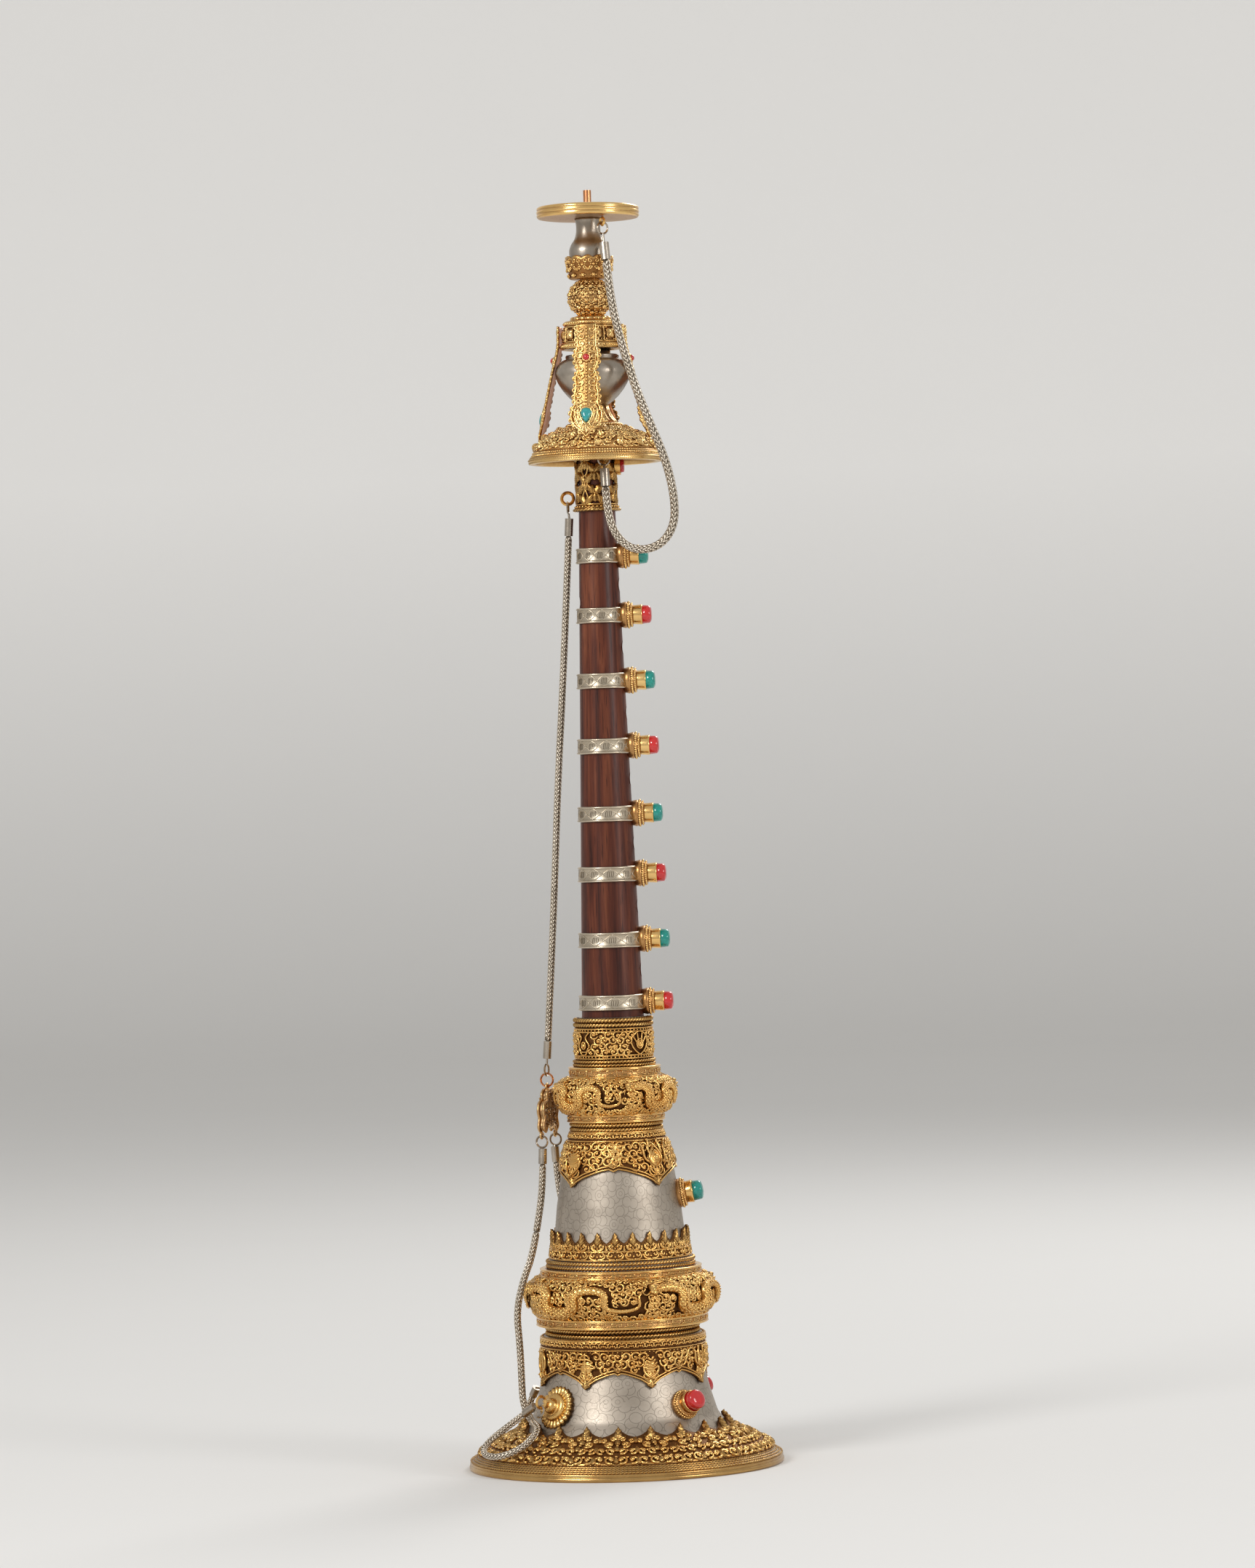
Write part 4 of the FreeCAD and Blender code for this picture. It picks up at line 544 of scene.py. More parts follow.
def stoneFinish(name, tone, deep, vein, veinShare, roughness=0.12):
    # waxy stone: two tones in soft clouds and a thin darker matrix
    material, tree, shader = nodesOf(name)
    clouds = noise(tree, 160, 5, 0.6, warp=0.6)
    lines = ramp(tree, noise(tree, 330, 7, 0.7, warp=1.2), [(0.47, 0.0), (0.5, 1.0), (0.53, 0.0)])
    colour = mixed(tree, ramp(tree, clouds, [(0.35, 0.0), (0.7, 1.0)]), tone, deep)
    colour = mixed(tree, worked(tree, "MULTIPLY", lines, veinShare), colour, vein)
    tree.links.new(colour, shader.inputs["Base Color"])
    shader.inputs["Roughness"].default_value = roughness
    shader.inputs["Coat Weight"].default_value = 0.5
    shader.inputs["Coat Roughness"].default_value = 0.08
    bumped(tree, shader, clouds, 0.12, 0.0004)
    return material


def woodFinish():
    # rosewood: dark and red streaks along the pipe, fine pores, faint scratches
    material, tree, shader = nodesOf("polishedRosewood")
    streaks = noise(tree, 260, 6, 0.62, (1, 1, 0.035), 0.5)
    broad = noise(tree, 70, 3, 0.5, (1, 1, 0.05), 0.4)
    tones = [(0.32, (0.026, 0.007, 0.005)), (0.50, (0.105, 0.026, 0.013)), (0.70, (0.215, 0.066, 0.030))]
    colour = ramp(tree, streaks, tones)
    colour = mixed(tree, ramp(tree, broad, [(0.4, 0.0), (0.72, 0.75)]), colour, (0.044, 0.011, 0.007))
    pores = ramp(tree, noise(tree, 1500, 2, 0.5, (1, 1, 0.05)), [(0.60, 0.0), (0.68, 1.0)])
    colour = mixed(tree, worked(tree, "MULTIPLY", pores, 0.6), colour, (0.012, 0.004, 0.004))
    tree.links.new(colour, shader.inputs["Base Color"])
    scratches = ramp(tree, noise(tree, 420, 3, 0.7, (1, 1, 0.16), 1.5), [(0.5, 0.34), (0.78, 0.52)])
    tree.links.new(scratches, shader.inputs["Roughness"])
    shader.inputs["Specular IOR Level"].default_value = 0.2
    shader.inputs["Coat Weight"].default_value = 0.05
    shader.inputs["Coat Roughness"].default_value = 0.25
    bumped(tree, shader, streaks, 0.16, 0.0004)
    return material


def threadFinish():
    # wound thread: rounded turns along the pipe, made a little uneven by distortion
    material, tree, shader = nodesOf("waxedThread")
    place = tree.nodes.new("ShaderNodeTexCoord")
    wave = tree.nodes.new("ShaderNodeTexWave")
    wave.bands_direction = "Z"
    wave.inputs["Scale"].default_value = 520
    wave.inputs["Distortion"].default_value = 0.6
    tree.links.new(place.outputs["Object"], wave.inputs["Vector"])
    # the tone follows the same wave as the bump: painted shade between the turns, painted light on their
    # crowns
    tone = mixed(tree, wave.outputs["Fac"], (0.26, 0.20, 0.12), (0.62, 0.54, 0.38))
    tree.links.new(tone, shader.inputs["Base Color"])
    shader.inputs["Roughness"].default_value = 0.85
    bumped(tree, shader, wave.outputs["Fac"], 0.5, 0.0003)
    return material


def roundPlace(tree, radius):
    # flat place on a turned wall: (radius * angle from the front, height), its seam at the back
    place = tree.nodes.new("ShaderNodeTexCoord")
    apart, flat = tree.nodes.new("ShaderNodeSeparateXYZ"), tree.nodes.new("ShaderNodeCombineXYZ")
    tree.links.new(place.outputs["Object"], apart.inputs[0])
    front = worked(tree, "MULTIPLY", apart.outputs["Y"], -1.0, False)
    angle = worked(tree, "ARCTAN2", apart.outputs["X"], front, False)
    tree.links.new(worked(tree, "MULTIPLY", angle, radius, False), flat.inputs[0])
    tree.links.new(apart.outputs["Z"], flat.inputs[1])
    return flat.outputs[0]


def voronoi(tree, place, feature, scale, randomness=0.8):
    # distance to a scattered point of the plane, and that point's own number from 0 to 1
    made = tree.nodes.new("ShaderNodeTexVoronoi")
    apart = tree.nodes.new("ShaderNodeSeparateColor")
    made.voronoi_dimensions = "2D"
    made.feature = feature
    made.inputs["Scale"].default_value = scale
    made.inputs["Randomness"].default_value = randomness
    tree.links.new(place, made.inputs["Vector"])
    tree.links.new(made.outputs["Color"], apart.inputs[0])
    return made.outputs["Distance"], apart.outputs[0]


def chasedFinish():
    # satin silver chased with lobes that overlap like scales: every point has a disc with a rim at 0.6 of the
    # pitch; the second nearest lies over the nearest where its number is higher, and a rim shows where
    # no disc covers it
    tones = (0.50, 0.435, 0.36), (0.38, 0.325, 0.265), (0.13, 0.11, 0.085)
    material = metalFinish("chasedSilver", *tones, 0.52, 0.9, 45, 0.08)
    tree = material.node_tree
    shader = tree.nodes["Principled BSDF"]
    place = roundPlace(tree, 0.034)
    near, nearMark = voronoi(tree, place, "F1", 245, 0.95)
    far, farMark = voronoi(tree, place, "F2", 245, 0.95)
    above = worked(tree, "GREATER_THAN", farMark, nearMark)
    over = worked(tree, "MULTIPLY", above, worked(tree, "LESS_THAN", far, 0.6))
    rim = [(0.55, 0.0), (0.595, 1.0), (0.64, 0.0)]
    lower = worked(tree, "MULTIPLY", ramp(tree, near, rim), worked(tree, "SUBTRACT", 1.0, over))
    upper = worked(tree, "MULTIPLY", ramp(tree, far, rim), above)
    ring = ramp(tree, near, [(0.2, 0.0), (0.235, 1.0), (0.27, 0.0)])
    eyes = worked(tree, "MULTIPLY", ring, worked(tree, "GREATER_THAN", nearMark, 0.8))
    lines = worked(tree, "MAXIMUM", worked(tree, "MAXIMUM", lower, upper), eyes)
    source = shader.inputs["Base Color"].links[0].from_socket
    tone = mixed(tree, worked(tree, "MULTIPLY", lines, 0.7), source, (0.10, 0.085, 0.065))
    tree.links.new(tone, shader.inputs["Base Color"])
    dome = worked(tree, "MULTIPLY", near, 0.45)
    bumped(tree, shader, worked(tree, "ADD", worked(tree, "MULTIPLY", lines, 0.5), dome), -0.7, 0.0008)
    return material


# the third tone of each metal finish is the colour of its painted shade
giltFinish = metalFinish("filigreeGilt", (0.90, 0.57, 0.20), (0.68, 0.37, 0.105), (0.10, 0.036, 0.010), 0.29,
                         1.0)
polishedGilt = metalFinish(
    "polishedGilt", (0.93, 0.63, 0.25), (0.82, 0.49, 0.17), (0.34, 0.14, 0.05), 0.22, 0.9, 40, 0.08)
# painted shade: a dark gilt for the ground sheets under the openwork, standing for the shade seen through its
# gaps
shadedRecessGilt = metalFinish("recessPaintedShade", (0.42, 0.21, 0.07), (0.28, 0.125, 0.040), (0.09, 0.034, 0.011), 0.5)
# painted light: a lighter copy of the gilt for the upward-facing staple pieces
stapleLitGilt = metalFinish("stapleLitGilt", (0.98, 0.69, 0.30), (0.86, 0.53, 0.18), (0.30, 0.125, 0.035), 0.26,
                         0.95)
# painted shade for the ground under the staple's filigree, lighter than the bell's since these pieces face up
stapleShadedRecess = metalFinish("stapleShadedRecess", (0.74, 0.44, 0.17), (0.56, 0.31, 0.11), (0.24, 0.10, 0.03), 0.36)
# painted shade: a darker copy of the gilt for the bell's rim, which faces down
rimShadedGilt = metalFinish("rimShadedGilt", (0.63, 0.40, 0.15), (0.46, 0.27, 0.095), (0.24, 0.11, 0.04), 0.25, 0.9, 40,
                      0.08)
chasedSilver = chasedFinish()
dullSilver = metalFinish(
    "dullSilver", (0.56, 0.49, 0.405), (0.32, 0.27, 0.215), (0.09, 0.075, 0.06), 0.34, 0.9, 34, 0.12)
nickelSilver = metalFinish("bandSilver", (0.68, 0.59, 0.46), (0.52, 0.44, 0.33), (0.11, 0.08, 0.05), 0.34,
                           0.9, 60, 0.1)
chainSilver = metalFinish(
    "chainSilver", (0.80, 0.71, 0.59), (0.63, 0.55, 0.44), (0.17, 0.135, 0.10), 0.40, 0.9, 120, 0.12)
wornGilt = metalFinish("wornGilt", (0.84, 0.58, 0.27), (0.60, 0.37, 0.17), (0.20, 0.10, 0.05), 0.32, 0.9, 90,
                       0.12)
copperFinish = metalFinish("warmCopper", (0.80, 0.38, 0.19), (0.54, 0.23, 0.10), (0.20, 0.08, 0.05), 0.34,
                           0.9, 50, 0.1)
coralFinish = stoneFinish("waxyCoral", (0.60, 0.020, 0.020), (0.44, 0.012, 0.015), (0.26, 0.007, 0.009), 0.3)
tealFinish = stoneFinish("waxyTeal", (0.004, 0.30, 0.24), (0.003, 0.20, 0.17), (0.012, 0.07, 0.06), 0.7)
turquoiseFinish = stoneFinish("paleTurquoise", (0.035, 0.40, 0.38), (0.02, 0.27, 0.29), (0.03, 0.07, 0.07),
                              0.6)
rosewoodFinish = woodFinish()
print("finishes ready")


# camera, floor and lamps

viewPlace = {"azimuth": 4.0, "distance": 2.8, "height": 0.317, "aside": 0.0102, "lean": 1.8, "lens": 137.9}


def addCamera(place):
    # eye = distance * (sin a, -cos a) + aside * (cos a, sin a), level, rolled about its line of sight
    a = math.radians(place["azimuth"])
    data = bpy.data.cameras.new("eye")
    data.sensor_fit = "VERTICAL"
    data.sensor_height = 36
    data.lens = place["lens"]
    data.clip_end = 60
    eye = bpy.data.objects.new("eye", data)
    scene.collection.objects.link(eye)
    spot = (
        place["distance"] * math.sin(a) + place["aside"] * math.cos(a),
        -place["distance"] * math.cos(a) + place["aside"] * math.sin(a),
        place["height"],
    )
    eye.matrix_world = (
        Matrix.Translation(spot) @ Matrix.Rotation(a, 4, "Z") @ Matrix.Rotation(math.pi / 2, 4, "X")
        @ Matrix.Rotation(math.radians(-place["lean"]), 4, "Z")
    )
    scene.camera = eye


room = {"floor": (0.80, 0.79, 0.77), "glow": 0.30, "sky": 0.55, "reach": 9.0, "foot": 4.2, "bend": 1.6,
        "tall": 7.0,
        "aim": (0, 0, 0.28), "lamps": (
            ("keyLamp", (-1.25, -1.7, 1.35), 0.8, 24.0),
            ("fillLamp", (1.8, -1.2, 0.8), 0.8, 12.0),
            ("rimLamp", (0.7, 1.5, 1.5), 0.8, 12.0),
        )}


def addFloor():
    # floor that sweeps up into a backdrop: (foot + bend sin t, bend (1 - cos t)), then straight up
    t = np.linspace(0, math.pi / 2, 16)
    foot, swing, reach = room["foot"], room["bend"], room["reach"]
    ahead = np.concatenate([[-reach], foot + swing * np.sin(t), [foot + swing]])
    rise = np.concatenate([[0.0], swing * (1 - np.cos(t)), [room["tall"]]])
    points = np.stack(np.broadcast_arrays([-reach, reach], ahead[:, None], rise[:, None]), -1)
    floor = newMesh("floor", points.reshape(-1, 3), [stripFaces(len(ahead), 2)[:, ::-1]])
    paper, tree, shader = nodesOf("backdropPaper")
    tone = mixed(tree, noise(tree, 6, 3), room["floor"], tuple(v * 0.985 for v in room["floor"]))
    tree.links.new(tone, shader.inputs["Base Color"])
    shader.inputs["Roughness"].default_value = 0.9
    # painted light: the backdrop glows with its own tone, for camera, glossy and transmission rays only, more
    # of it higher up
    seen = tree.nodes.new("ShaderNodeLightPath")
    place = tree.nodes.new("ShaderNodeNewGeometry")
    apart = tree.nodes.new("ShaderNodeSeparateXYZ")
    tree.links.new(place.outputs["Position"], apart.inputs[0])
    rays = worked(tree, "ADD", seen.outputs["Is Camera Ray"], seen.outputs["Is Glossy Ray"])
    rays = worked(tree, "ADD", rays, seen.outputs["Is Transmission Ray"])
    tall = ramp(tree, apart.outputs["Z"], [(0.02, 0.0), (0.75, room["glow"])])
    tree.links.new(tone, shader.inputs["Emission Color"])
    tree.links.new(worked(tree, "MULTIPLY", rays, tall), shader.inputs["Emission Strength"])
    floor.data.materials.append(paper)


def addLight():
    # even sky, and three disc lamps that face the aim
    scene.world = bpy.data.worlds.new("room")
    scene.world.use_nodes = True
    sky = scene.world.node_tree.nodes["Background"]
    sky.inputs["Color"].default_value = (1.0, 0.99, 0.975, 1)
    sky.inputs["Strength"].default_value = room["sky"]
    for name, spot, size, power in room["lamps"]:
        data = bpy.data.lights.new(name, "AREA")
        data.shape, data.size, data.energy = "DISK", size, power
        lamp = bpy.data.objects.new(name, data)
        lamp.location = spot
        lamp.rotation_euler = (Vector(room["aim"]) - Vector(spot)).to_track_quat("-Z", "Y").to_euler()
        scene.collection.objects.link(lamp)


addCamera(viewPlace)
addFloor()
addLight()
scene.view_settings.view_transform = "Standard"
print("camera and room ready")


# walls that the ornament lies on

lowerWall = makeWall([(72.6, 4), (61.9, 10.75), (48.7, 16.6), (43.2, 24.0), (40.3, 33.5), (37.4, 45),
                      (37, 61.2)])
upperWall = makeWall([(31.8, 97), (30.3, 108.2), (28.9, 121.2), (26.4, 136.8), (24.0, 146), (20.4, 156)])
drumWall = makeWall([(17.7, 189.4), (17.7, 204.4)])
domeWall = makeWall([(28.9, 472.5), (25.4, 477.0), (20.9, 480.4), (12.4, 483.4)], 15)
strapWall = makeWall([(25.4, 477.9), (22.3, 491.8), (18.3, 508.8), (15.0, 521.5), (14.95, 531.0)], 25)


# silver shells of the bell, chased all over

shells = {
    "lowerBellChased": {"wall": lowerWall, "rows": 90, "node": "bell_lower_shell", "inside": [
        (34, 61.2), (34, 79.75), (33, 79.75), (33, 61.4), (36, 60.2), (36.4, 45), (39.3, 33.2), (42.3, 23.4),
        (47.9, 15.9), (61.3, 9.9), (71.2, 4)]},
    "upperBellChased": {"wall": upperWall, "rows": 70, "node": "bell_upper_shell", "inside": [
        (19.4, 156), (23.0, 145.8), (25.4, 136.5), (27.9, 121), (29.3, 108), (30.8, 97), (31.0, 94),
        (33, 92.6),
        (33, 79.8), (34, 79.8), (34, 96.6)]},
}


def silverShell(name, wall, rows, node, inside):
    # the wall's own points up the outside, then the inner outline back down
    along = np.linspace(0, wall["length"], rows)
    outer = np.stack([np.interp(along, wall["s"], wall[key]) for key in ("r", "z")], -1)
    # painted shade on the inner outline, none on the outside
    marks = np.append(np.zeros(rows), np.full(len(inside), 0.35))
    build(name, [spun(np.concatenate([outer, inside]), 256, marks)], "bell", chasedSilver, node)


for name, facts in shells.items():
    silverShell(name, **facts)
print("bell shells ready")


# gilt rim, wire rings, key flanges

rimShape = {"wires": ((72.3, 4.3), (71.1, 5.05), (69.9, 5.8), (68.7, 6.5)), "thick": 0.62, "twists": 250,
            "lip": [
    (69.9, 1.2), (70.6, 0.3), (71.2, 0.0), (72.6, 0.0), (73.15, 0.4), (73.4, 1.15), (73.2, 1.9), (72.6, 2.2),
    (72.5, 2.5), (72.9, 2.8), (72.95, 3.3), (72.5, 3.8), (71.8, 4.0), (70.2, 4.0), (69.8, 3.6)]}
# outer radius, low, high, inner radius, twists
wirePairs = ((36.3, 61.2, 66.1, 33.0, 128), (35.0, 92.8, 97.0, 33.0, 124), (22.0, 156.0, 160.4, 17.05, 78),
             (19.5, 186.1, 189.4, 17.05, 70), (18.9, 204.4, 208.9, 17.05, 68))
# name, node, outer radius, low, high, inner radius, units of the fret
flanges = (("keyFlangeLow", "key_flange_low", 40.2, 66.1, 70.7, 34.05, 34),
           ("keyFlangeMid", "key_flange_mid", 37.8, 88.8, 92.8, 34.05, 34),
           ("keyBand", "key_band", 23.0, 160.4, 164.4, 17.05, 22),
           ("keyFlangeTop", "key_flange_top", 21.6, 180.8, 186.1, 17.05, 18))
# how far the flange's lip draws in and stands up, and its marks of painted shade, darkest in the crease by
# the waist
flangeLip = {"steps": ((0.5, 0), (0.05, 0.25), (0, 0.5), (0.15, 0.75), (0.55, 0.85)),
             "marks": [0.1, 0.1, 0, 0, 0.2, 0.75], "gap": 0.75, "lift": 0.12, "wire": 0.27}


def addRings():
    # a rolled lip with rope wires inside it, and pairs of twisted wires, each a quarter of the pair's height
    build("rimLip", [spun(rimShape["lip"], 256, 0.1)], "bell", rimShadedGilt, "bell_rim")
    rows = [rope(r, z, rimShape["thick"], rimShape["twists"], 6) for r, z in rimShape["wires"]]
    build("rimWires", rows, "bell", giltFinish)
    parts = []
    for outer, low, high, inner, twists in wirePairs:
        thick = (high - low) / 4
        core, groove = outer - 2 * thick, outer - 1.2 * thick
        parts += [rope(outer - thick, z, thick, twists) for z in (low + thick, high - thick)]
        # the core between the two ropes is in near-full painted shade
        parts.append(spun([(core, low + 0.1), (groove, low + thick), (core, (low + high) / 2),
                           (groove, high - thick), (core, high - 0.1), (inner, high - 0.1),
                           (inner, low + 0.1)],
                          96, 0.9))
    build("twistedWires", parts, "bell", giltFinish, "bell_wire_rings")


def addFlanges():
    # two rolled lips with a waist between them, and a square fret round the waist
    steps, marks, gap = flangeLip["steps"], flangeLip["marks"], flangeLip["gap"]
    for name, node, outer, low, high, inner, count in flanges:
        under = [(inner, low)] + [(outer - away, low + rise) for away, rise in steps]
        over = [(outer - away, high - rise) for away, rise in steps[::-1]] + [(inner, high)]
        face = makeWall([under[-1], over[0]], 3)
        key = meander(face, count, gap, face["length"] - gap, flangeLip["lift"], flangeLip["wire"])
        build(name, [spun(under + over, 192, marks + marks[::-1])] + key, "bell", polishedGilt, node)


addRings()
addFlanges()
print("rim, wires and key flanges ready")


# dragon rings

dragonRings = {
    "lower": {"node": "dragon_ring_lower", "middle": 36.95, "level": 79.75, "reach": 9.05, "inner": 34.05,
              "girth": 2.75, "gap": 3.52, "start": -112},
    "upper": {"node": "dragon_ring_upper", "middle": 21.6, "level": 172.6, "reach": 8.2, "inner": 17.05,
              "girth": 2.3, "gap": 3.28, "start": -118},
}
dragon = {"count": 4, "share": 0.93, "sway": 0.44, "steps": 170, "headAt": 6, "sunk": 3.2,
          "manes": (-1.6, -0.8, 0, 0.8, 1.6), "legs": ((0.22, 1), (0.42, -1), (0.62, 1), (0.80, -1)),
          "toes": (-0.8, 0.0, 0.8, 1.5),
          "jaws": [[(-0.6, -1.0), (-2.6, -3.0), (-4.2, -1.4), (-3.4, 0.4)],
                   [(-1.0, 1.0), (-3.0, 2.8), (-4.6, 3.4), (-5.4, 2.0)]]}


def dragonWall(middle, level, out, up):
    # half an ellipse in section: (middle + out cos t, level + up sin t)
    t = np.linspace(-math.pi / 2, math.pi / 2, 24)
    return makeWall(np.stack([middle + out * np.cos(t), level + up * np.sin(t)], -1), 3)


def pathAxes(path, off):
    # x along a path, y across it and z up from it, where off is the wall's normal
    along = unit(np.gradient(path, axis=1))
    side = np.cross(off, along)
    return along, side, np.cross(along, side)


def dragonBody(wall, angles, span, girth, sway):
    # spine: y = middle + sway * sin(p), x = t * span less a share of sin(2p), so that its bends are round;
    # girth swells at the chest and tapers to the tail, with a row of fins and rows of scales over it
    steps = dragon["steps"]
    t = np.linspace(0, 1, steps)
    phase = t * fullTurn * 2.05 + 0.5
    y = wall["length"] / 2 + sway * np.sin(phase) * (1 - 0.2 * t)
    x = (t - 0.5) * span - 0.044 * span * np.sin(2 * phase)
    angle = angles[:, None] + x
    lift = girth * (0.66 + 0.16 * np.cos(phase * 2))
    spots, off = onWall(wall, angle, y, lift)
    swell = girth * (0.72 + 0.4 * np.sin(np.pi * np.clip(t * 1.15, 0, 1))) * np.clip(1.25 - t, 0.18, 1)
    crest, crestOff = onWall(wall, angle[:, ::3], y[::3], (lift + swell)[::3])
    along, side, up = pathAxes(crest, crestOff)
    fins = copies(grain, crest, along * 0.7, side * 0.55, crestOff * 1.3,
                  np.tile(swell[::3] * 0.30, len(angles)))
    parts = [tube(spots, off, swell, swell * 1.05, 10), fins]
    along, side, up = pathAxes(spots, off)
    for row in range(-3, 4):
        kept = slice(row % 2 * 2 + 6, steps - 8, 4)
        lean = row * 0.36
        out = side[:, kept] * math.sin(lean) + up[:, kept] * math.cos(lean)
        centres = spots[:, kept] + out * (swell[kept, None] * 0.96)
        across = np.cross(out, along[:, kept])
        size = np.tile(swell[kept] * 0.30, len(angles))
        parts.append(copies(grain, centres, along[:, kept] * 1.25, across * 0.9, out * 0.55, size))
    return parts, x, y


def headShape(p, a):
    # a blunt head: long towards +x, brows and cheeks as bumps
    w = 1 + 0.42 * np.cos(a) + 0.10 * np.cos(3 * a)
    x, y = p * np.cos(a), p * np.sin(a)
    brow = 0.55 * np.exp(-((x - 0.05) / 0.16) ** 2 - ((np.abs(y) - 0.36) / 0.16) ** 2)
    nose = 0.42 * np.exp(-((x - 0.72) / 0.15) ** 2 - (y / 0.25) ** 2)
    return w, 0.95 * np.sqrt(np.clip(1 - p ** 2, 0, 1)) + brow + nose


def dragonLimbs(wall, angles, girth, spineX, spineY):
    # mane and jaws from the head, four legs from the spine, and four toes at each foot, as tapering wires
    head = [spineX[dragon["headAt"]], spineY[dragon["headAt"]]]
    mane = bends([[(1.2, 0.7 * k), (3.5, 2.6 + k), (6.0 + k, 1.5 * k - 1.2), (9.0 + 1.2 * k, 1.6 + 2.1 * k)]
                  for k in dragon["manes"]], 18) + head
    parts = [wires(wall, mane, angles, girth * 0.75, np.linspace(0.62, 0.22, 18), 0.7),
             wires(wall, bends(dragon["jaws"], 12) + head, angles, girth * 0.6, np.linspace(0.5, 0.25, 12),
                   0.6)]
    legs, toes = [], []
    for place, way in dragon["legs"]:
        k, reach = int(place * 149), girth * 1.9
        root = np.array([spineX[k], spineY[k]])
        knee, foot = root + (1.6 * way, way * reach * 0.75), root + (-1.4, way * reach * 1.25)
        legs.append([root, knee, knee, foot])
        toes += [[foot, foot + (0.6 * toe - 1.0, 0.9 * way + 0.3 * toe), foot + (1.3 * toe - 1.6, 0.4 * way),
                  foot + (1.4 * toe - 1.9, -0.5 * way)] for toe in dragon["toes"]]
    thick = np.linspace(1, 0.5, 14)
    parts.append(wires(wall, bends(legs), angles, girth * 0.45, girth * 0.40 * thick, girth * 0.45 * thick,
                       6))
    parts.append(wires(wall, bends(toes), angles, girth * 0.45, 0.34 * thick, 0.42 * thick))
    return parts


def cloudTongues(length, girth, spineX, spineY):
    # curls along both sides of the body, 1.35 girths off its spine, that follow its heading
    picks, away = np.arange(8, 166, 8), girth * 1.35
    headings = np.arctan2(np.gradient(spineY), np.gradient(spineX))[picks]
    made = []
    for k, heading in zip(picks, headings):
        for hand in (-1, 1):
            x = spineX[k] - hand * away * math.sin(heading)
            y = spineY[k] + hand * away * math.cos(heading)
            if 1.6 < y < length - 1.6:
                made.append(curl(x, y, 1.5, heading + hand * 0.6, -hand, 0.95))
    return made


def addDragons(key):
    # a ground that is an arc in section, four dragons round it, and clouds where they leave it free
    facts = dragonRings[key]
    middle, level, reach, inner, girth = (facts[k] for k in ("middle", "level", "reach", "inner", "girth"))
    count, outer, out = dragon["count"], middle + reach, reach - dragon["sunk"]
    wall = dragonWall(middle, level, out, reach - 0.5)
    length = wall["length"]
    t = np.linspace(-math.pi / 2, math.pi / 2, 26)
    arc = np.stack([middle + out * np.cos(t), level + reach * np.sin(t)], -1)
    ground = np.concatenate([[(inner, level - reach)], arc, [(inner, level + reach)]])
    # painted shade: the ground is in full shade, dark gilt for the shade between the dragons and clouds
    build(key + "DragonGround", [spun(ground, 192, 1.0)], "bell", shadedRecessGilt, facts["node"])
    angles = evenly(count, facts["start"])
    sway = length / 2 * dragon["sway"]
    parts, turn, spineY = dragonBody(wall, angles, fullTurn / count * dragon["share"], girth, sway)
    at = dragon["headAt"]
    head = seats(wall, angles + turn[at], spineY[at], 2.5, girth * 0.5)
    parts.append(copies(cushion(9, 30, headShape), *head, girth * 1.02))
    spineX = turn * outer
    parts += dragonLimbs(wall, angles, girth, spineX, spineY)
    build(key + "Dragons", parts, "bell", giltFinish)

    def clear(x, y):
        # cloud scrolls fill what the bodies leave free
        return np.min(np.hypot(x[:, None] - spineX, y[:, None] - spineY), 1) > girth * 0.95

    parts = fillScrolls(wall, count, fullTurn / count * outer, 1.2, length - 1.2, facts["gap"], 21, clear,
                        0.6,
                        0.62, facts["start"])
    parts.append(wires(wall, cloudTongues(length, girth, spineX, spineY), angles, 0.9, 0.46, 0.75))
    parts.append(ringWires(wall, [[0.7], [length - 0.7]], 0.3, 0.5))
    rows = evenly(round(fullTurn * outer / 2.3))
    parts += [grains(wall, rows, y, 0.52, 0.2) for y in (2.0, length - 2.0)]
    build(key + "DragonClouds", parts, "bell", giltFinish)


addDragons("lower")
addDragons("upper")
print("dragon rings ready")


# filigree skirts with pointed lobes, an emblem over a lotus in each

skirts = {
    "lower": {"wall": lowerWall, "node": "skirt_lower", "top": 61.2, "low": 38.8, "arch": 7.2, "lobes": 8,
              "cols": 320, "crown": 37.6, "clear": 6.0, "size": 4.4,
              "order": ("fishes", "umbrella", "conch", "jewel")},
    "upper": {"wall": upperWall, "node": "skirt_upper", "top": 156.0, "low": 131.0, "arch": 8.0, "lobes": 4,
              "cols": 240, "crown": 21.2, "clear": 6.8, "size": 5.6, "order": ("conch", "jewel")},
}
# the lobe's edge: how far from its point, as a share of half a lobe, and how high, as a share of the arch
lobe = {"away": [0, 0.14, 0.3, 0.5, 0.72, 0.9, 1.0], "rise": [0, 0.30, 0.52, 0.70, 0.88, 0.97, 0.84],
        "lift": 1.0, "gap": 3.7, "pitch": 4.3}
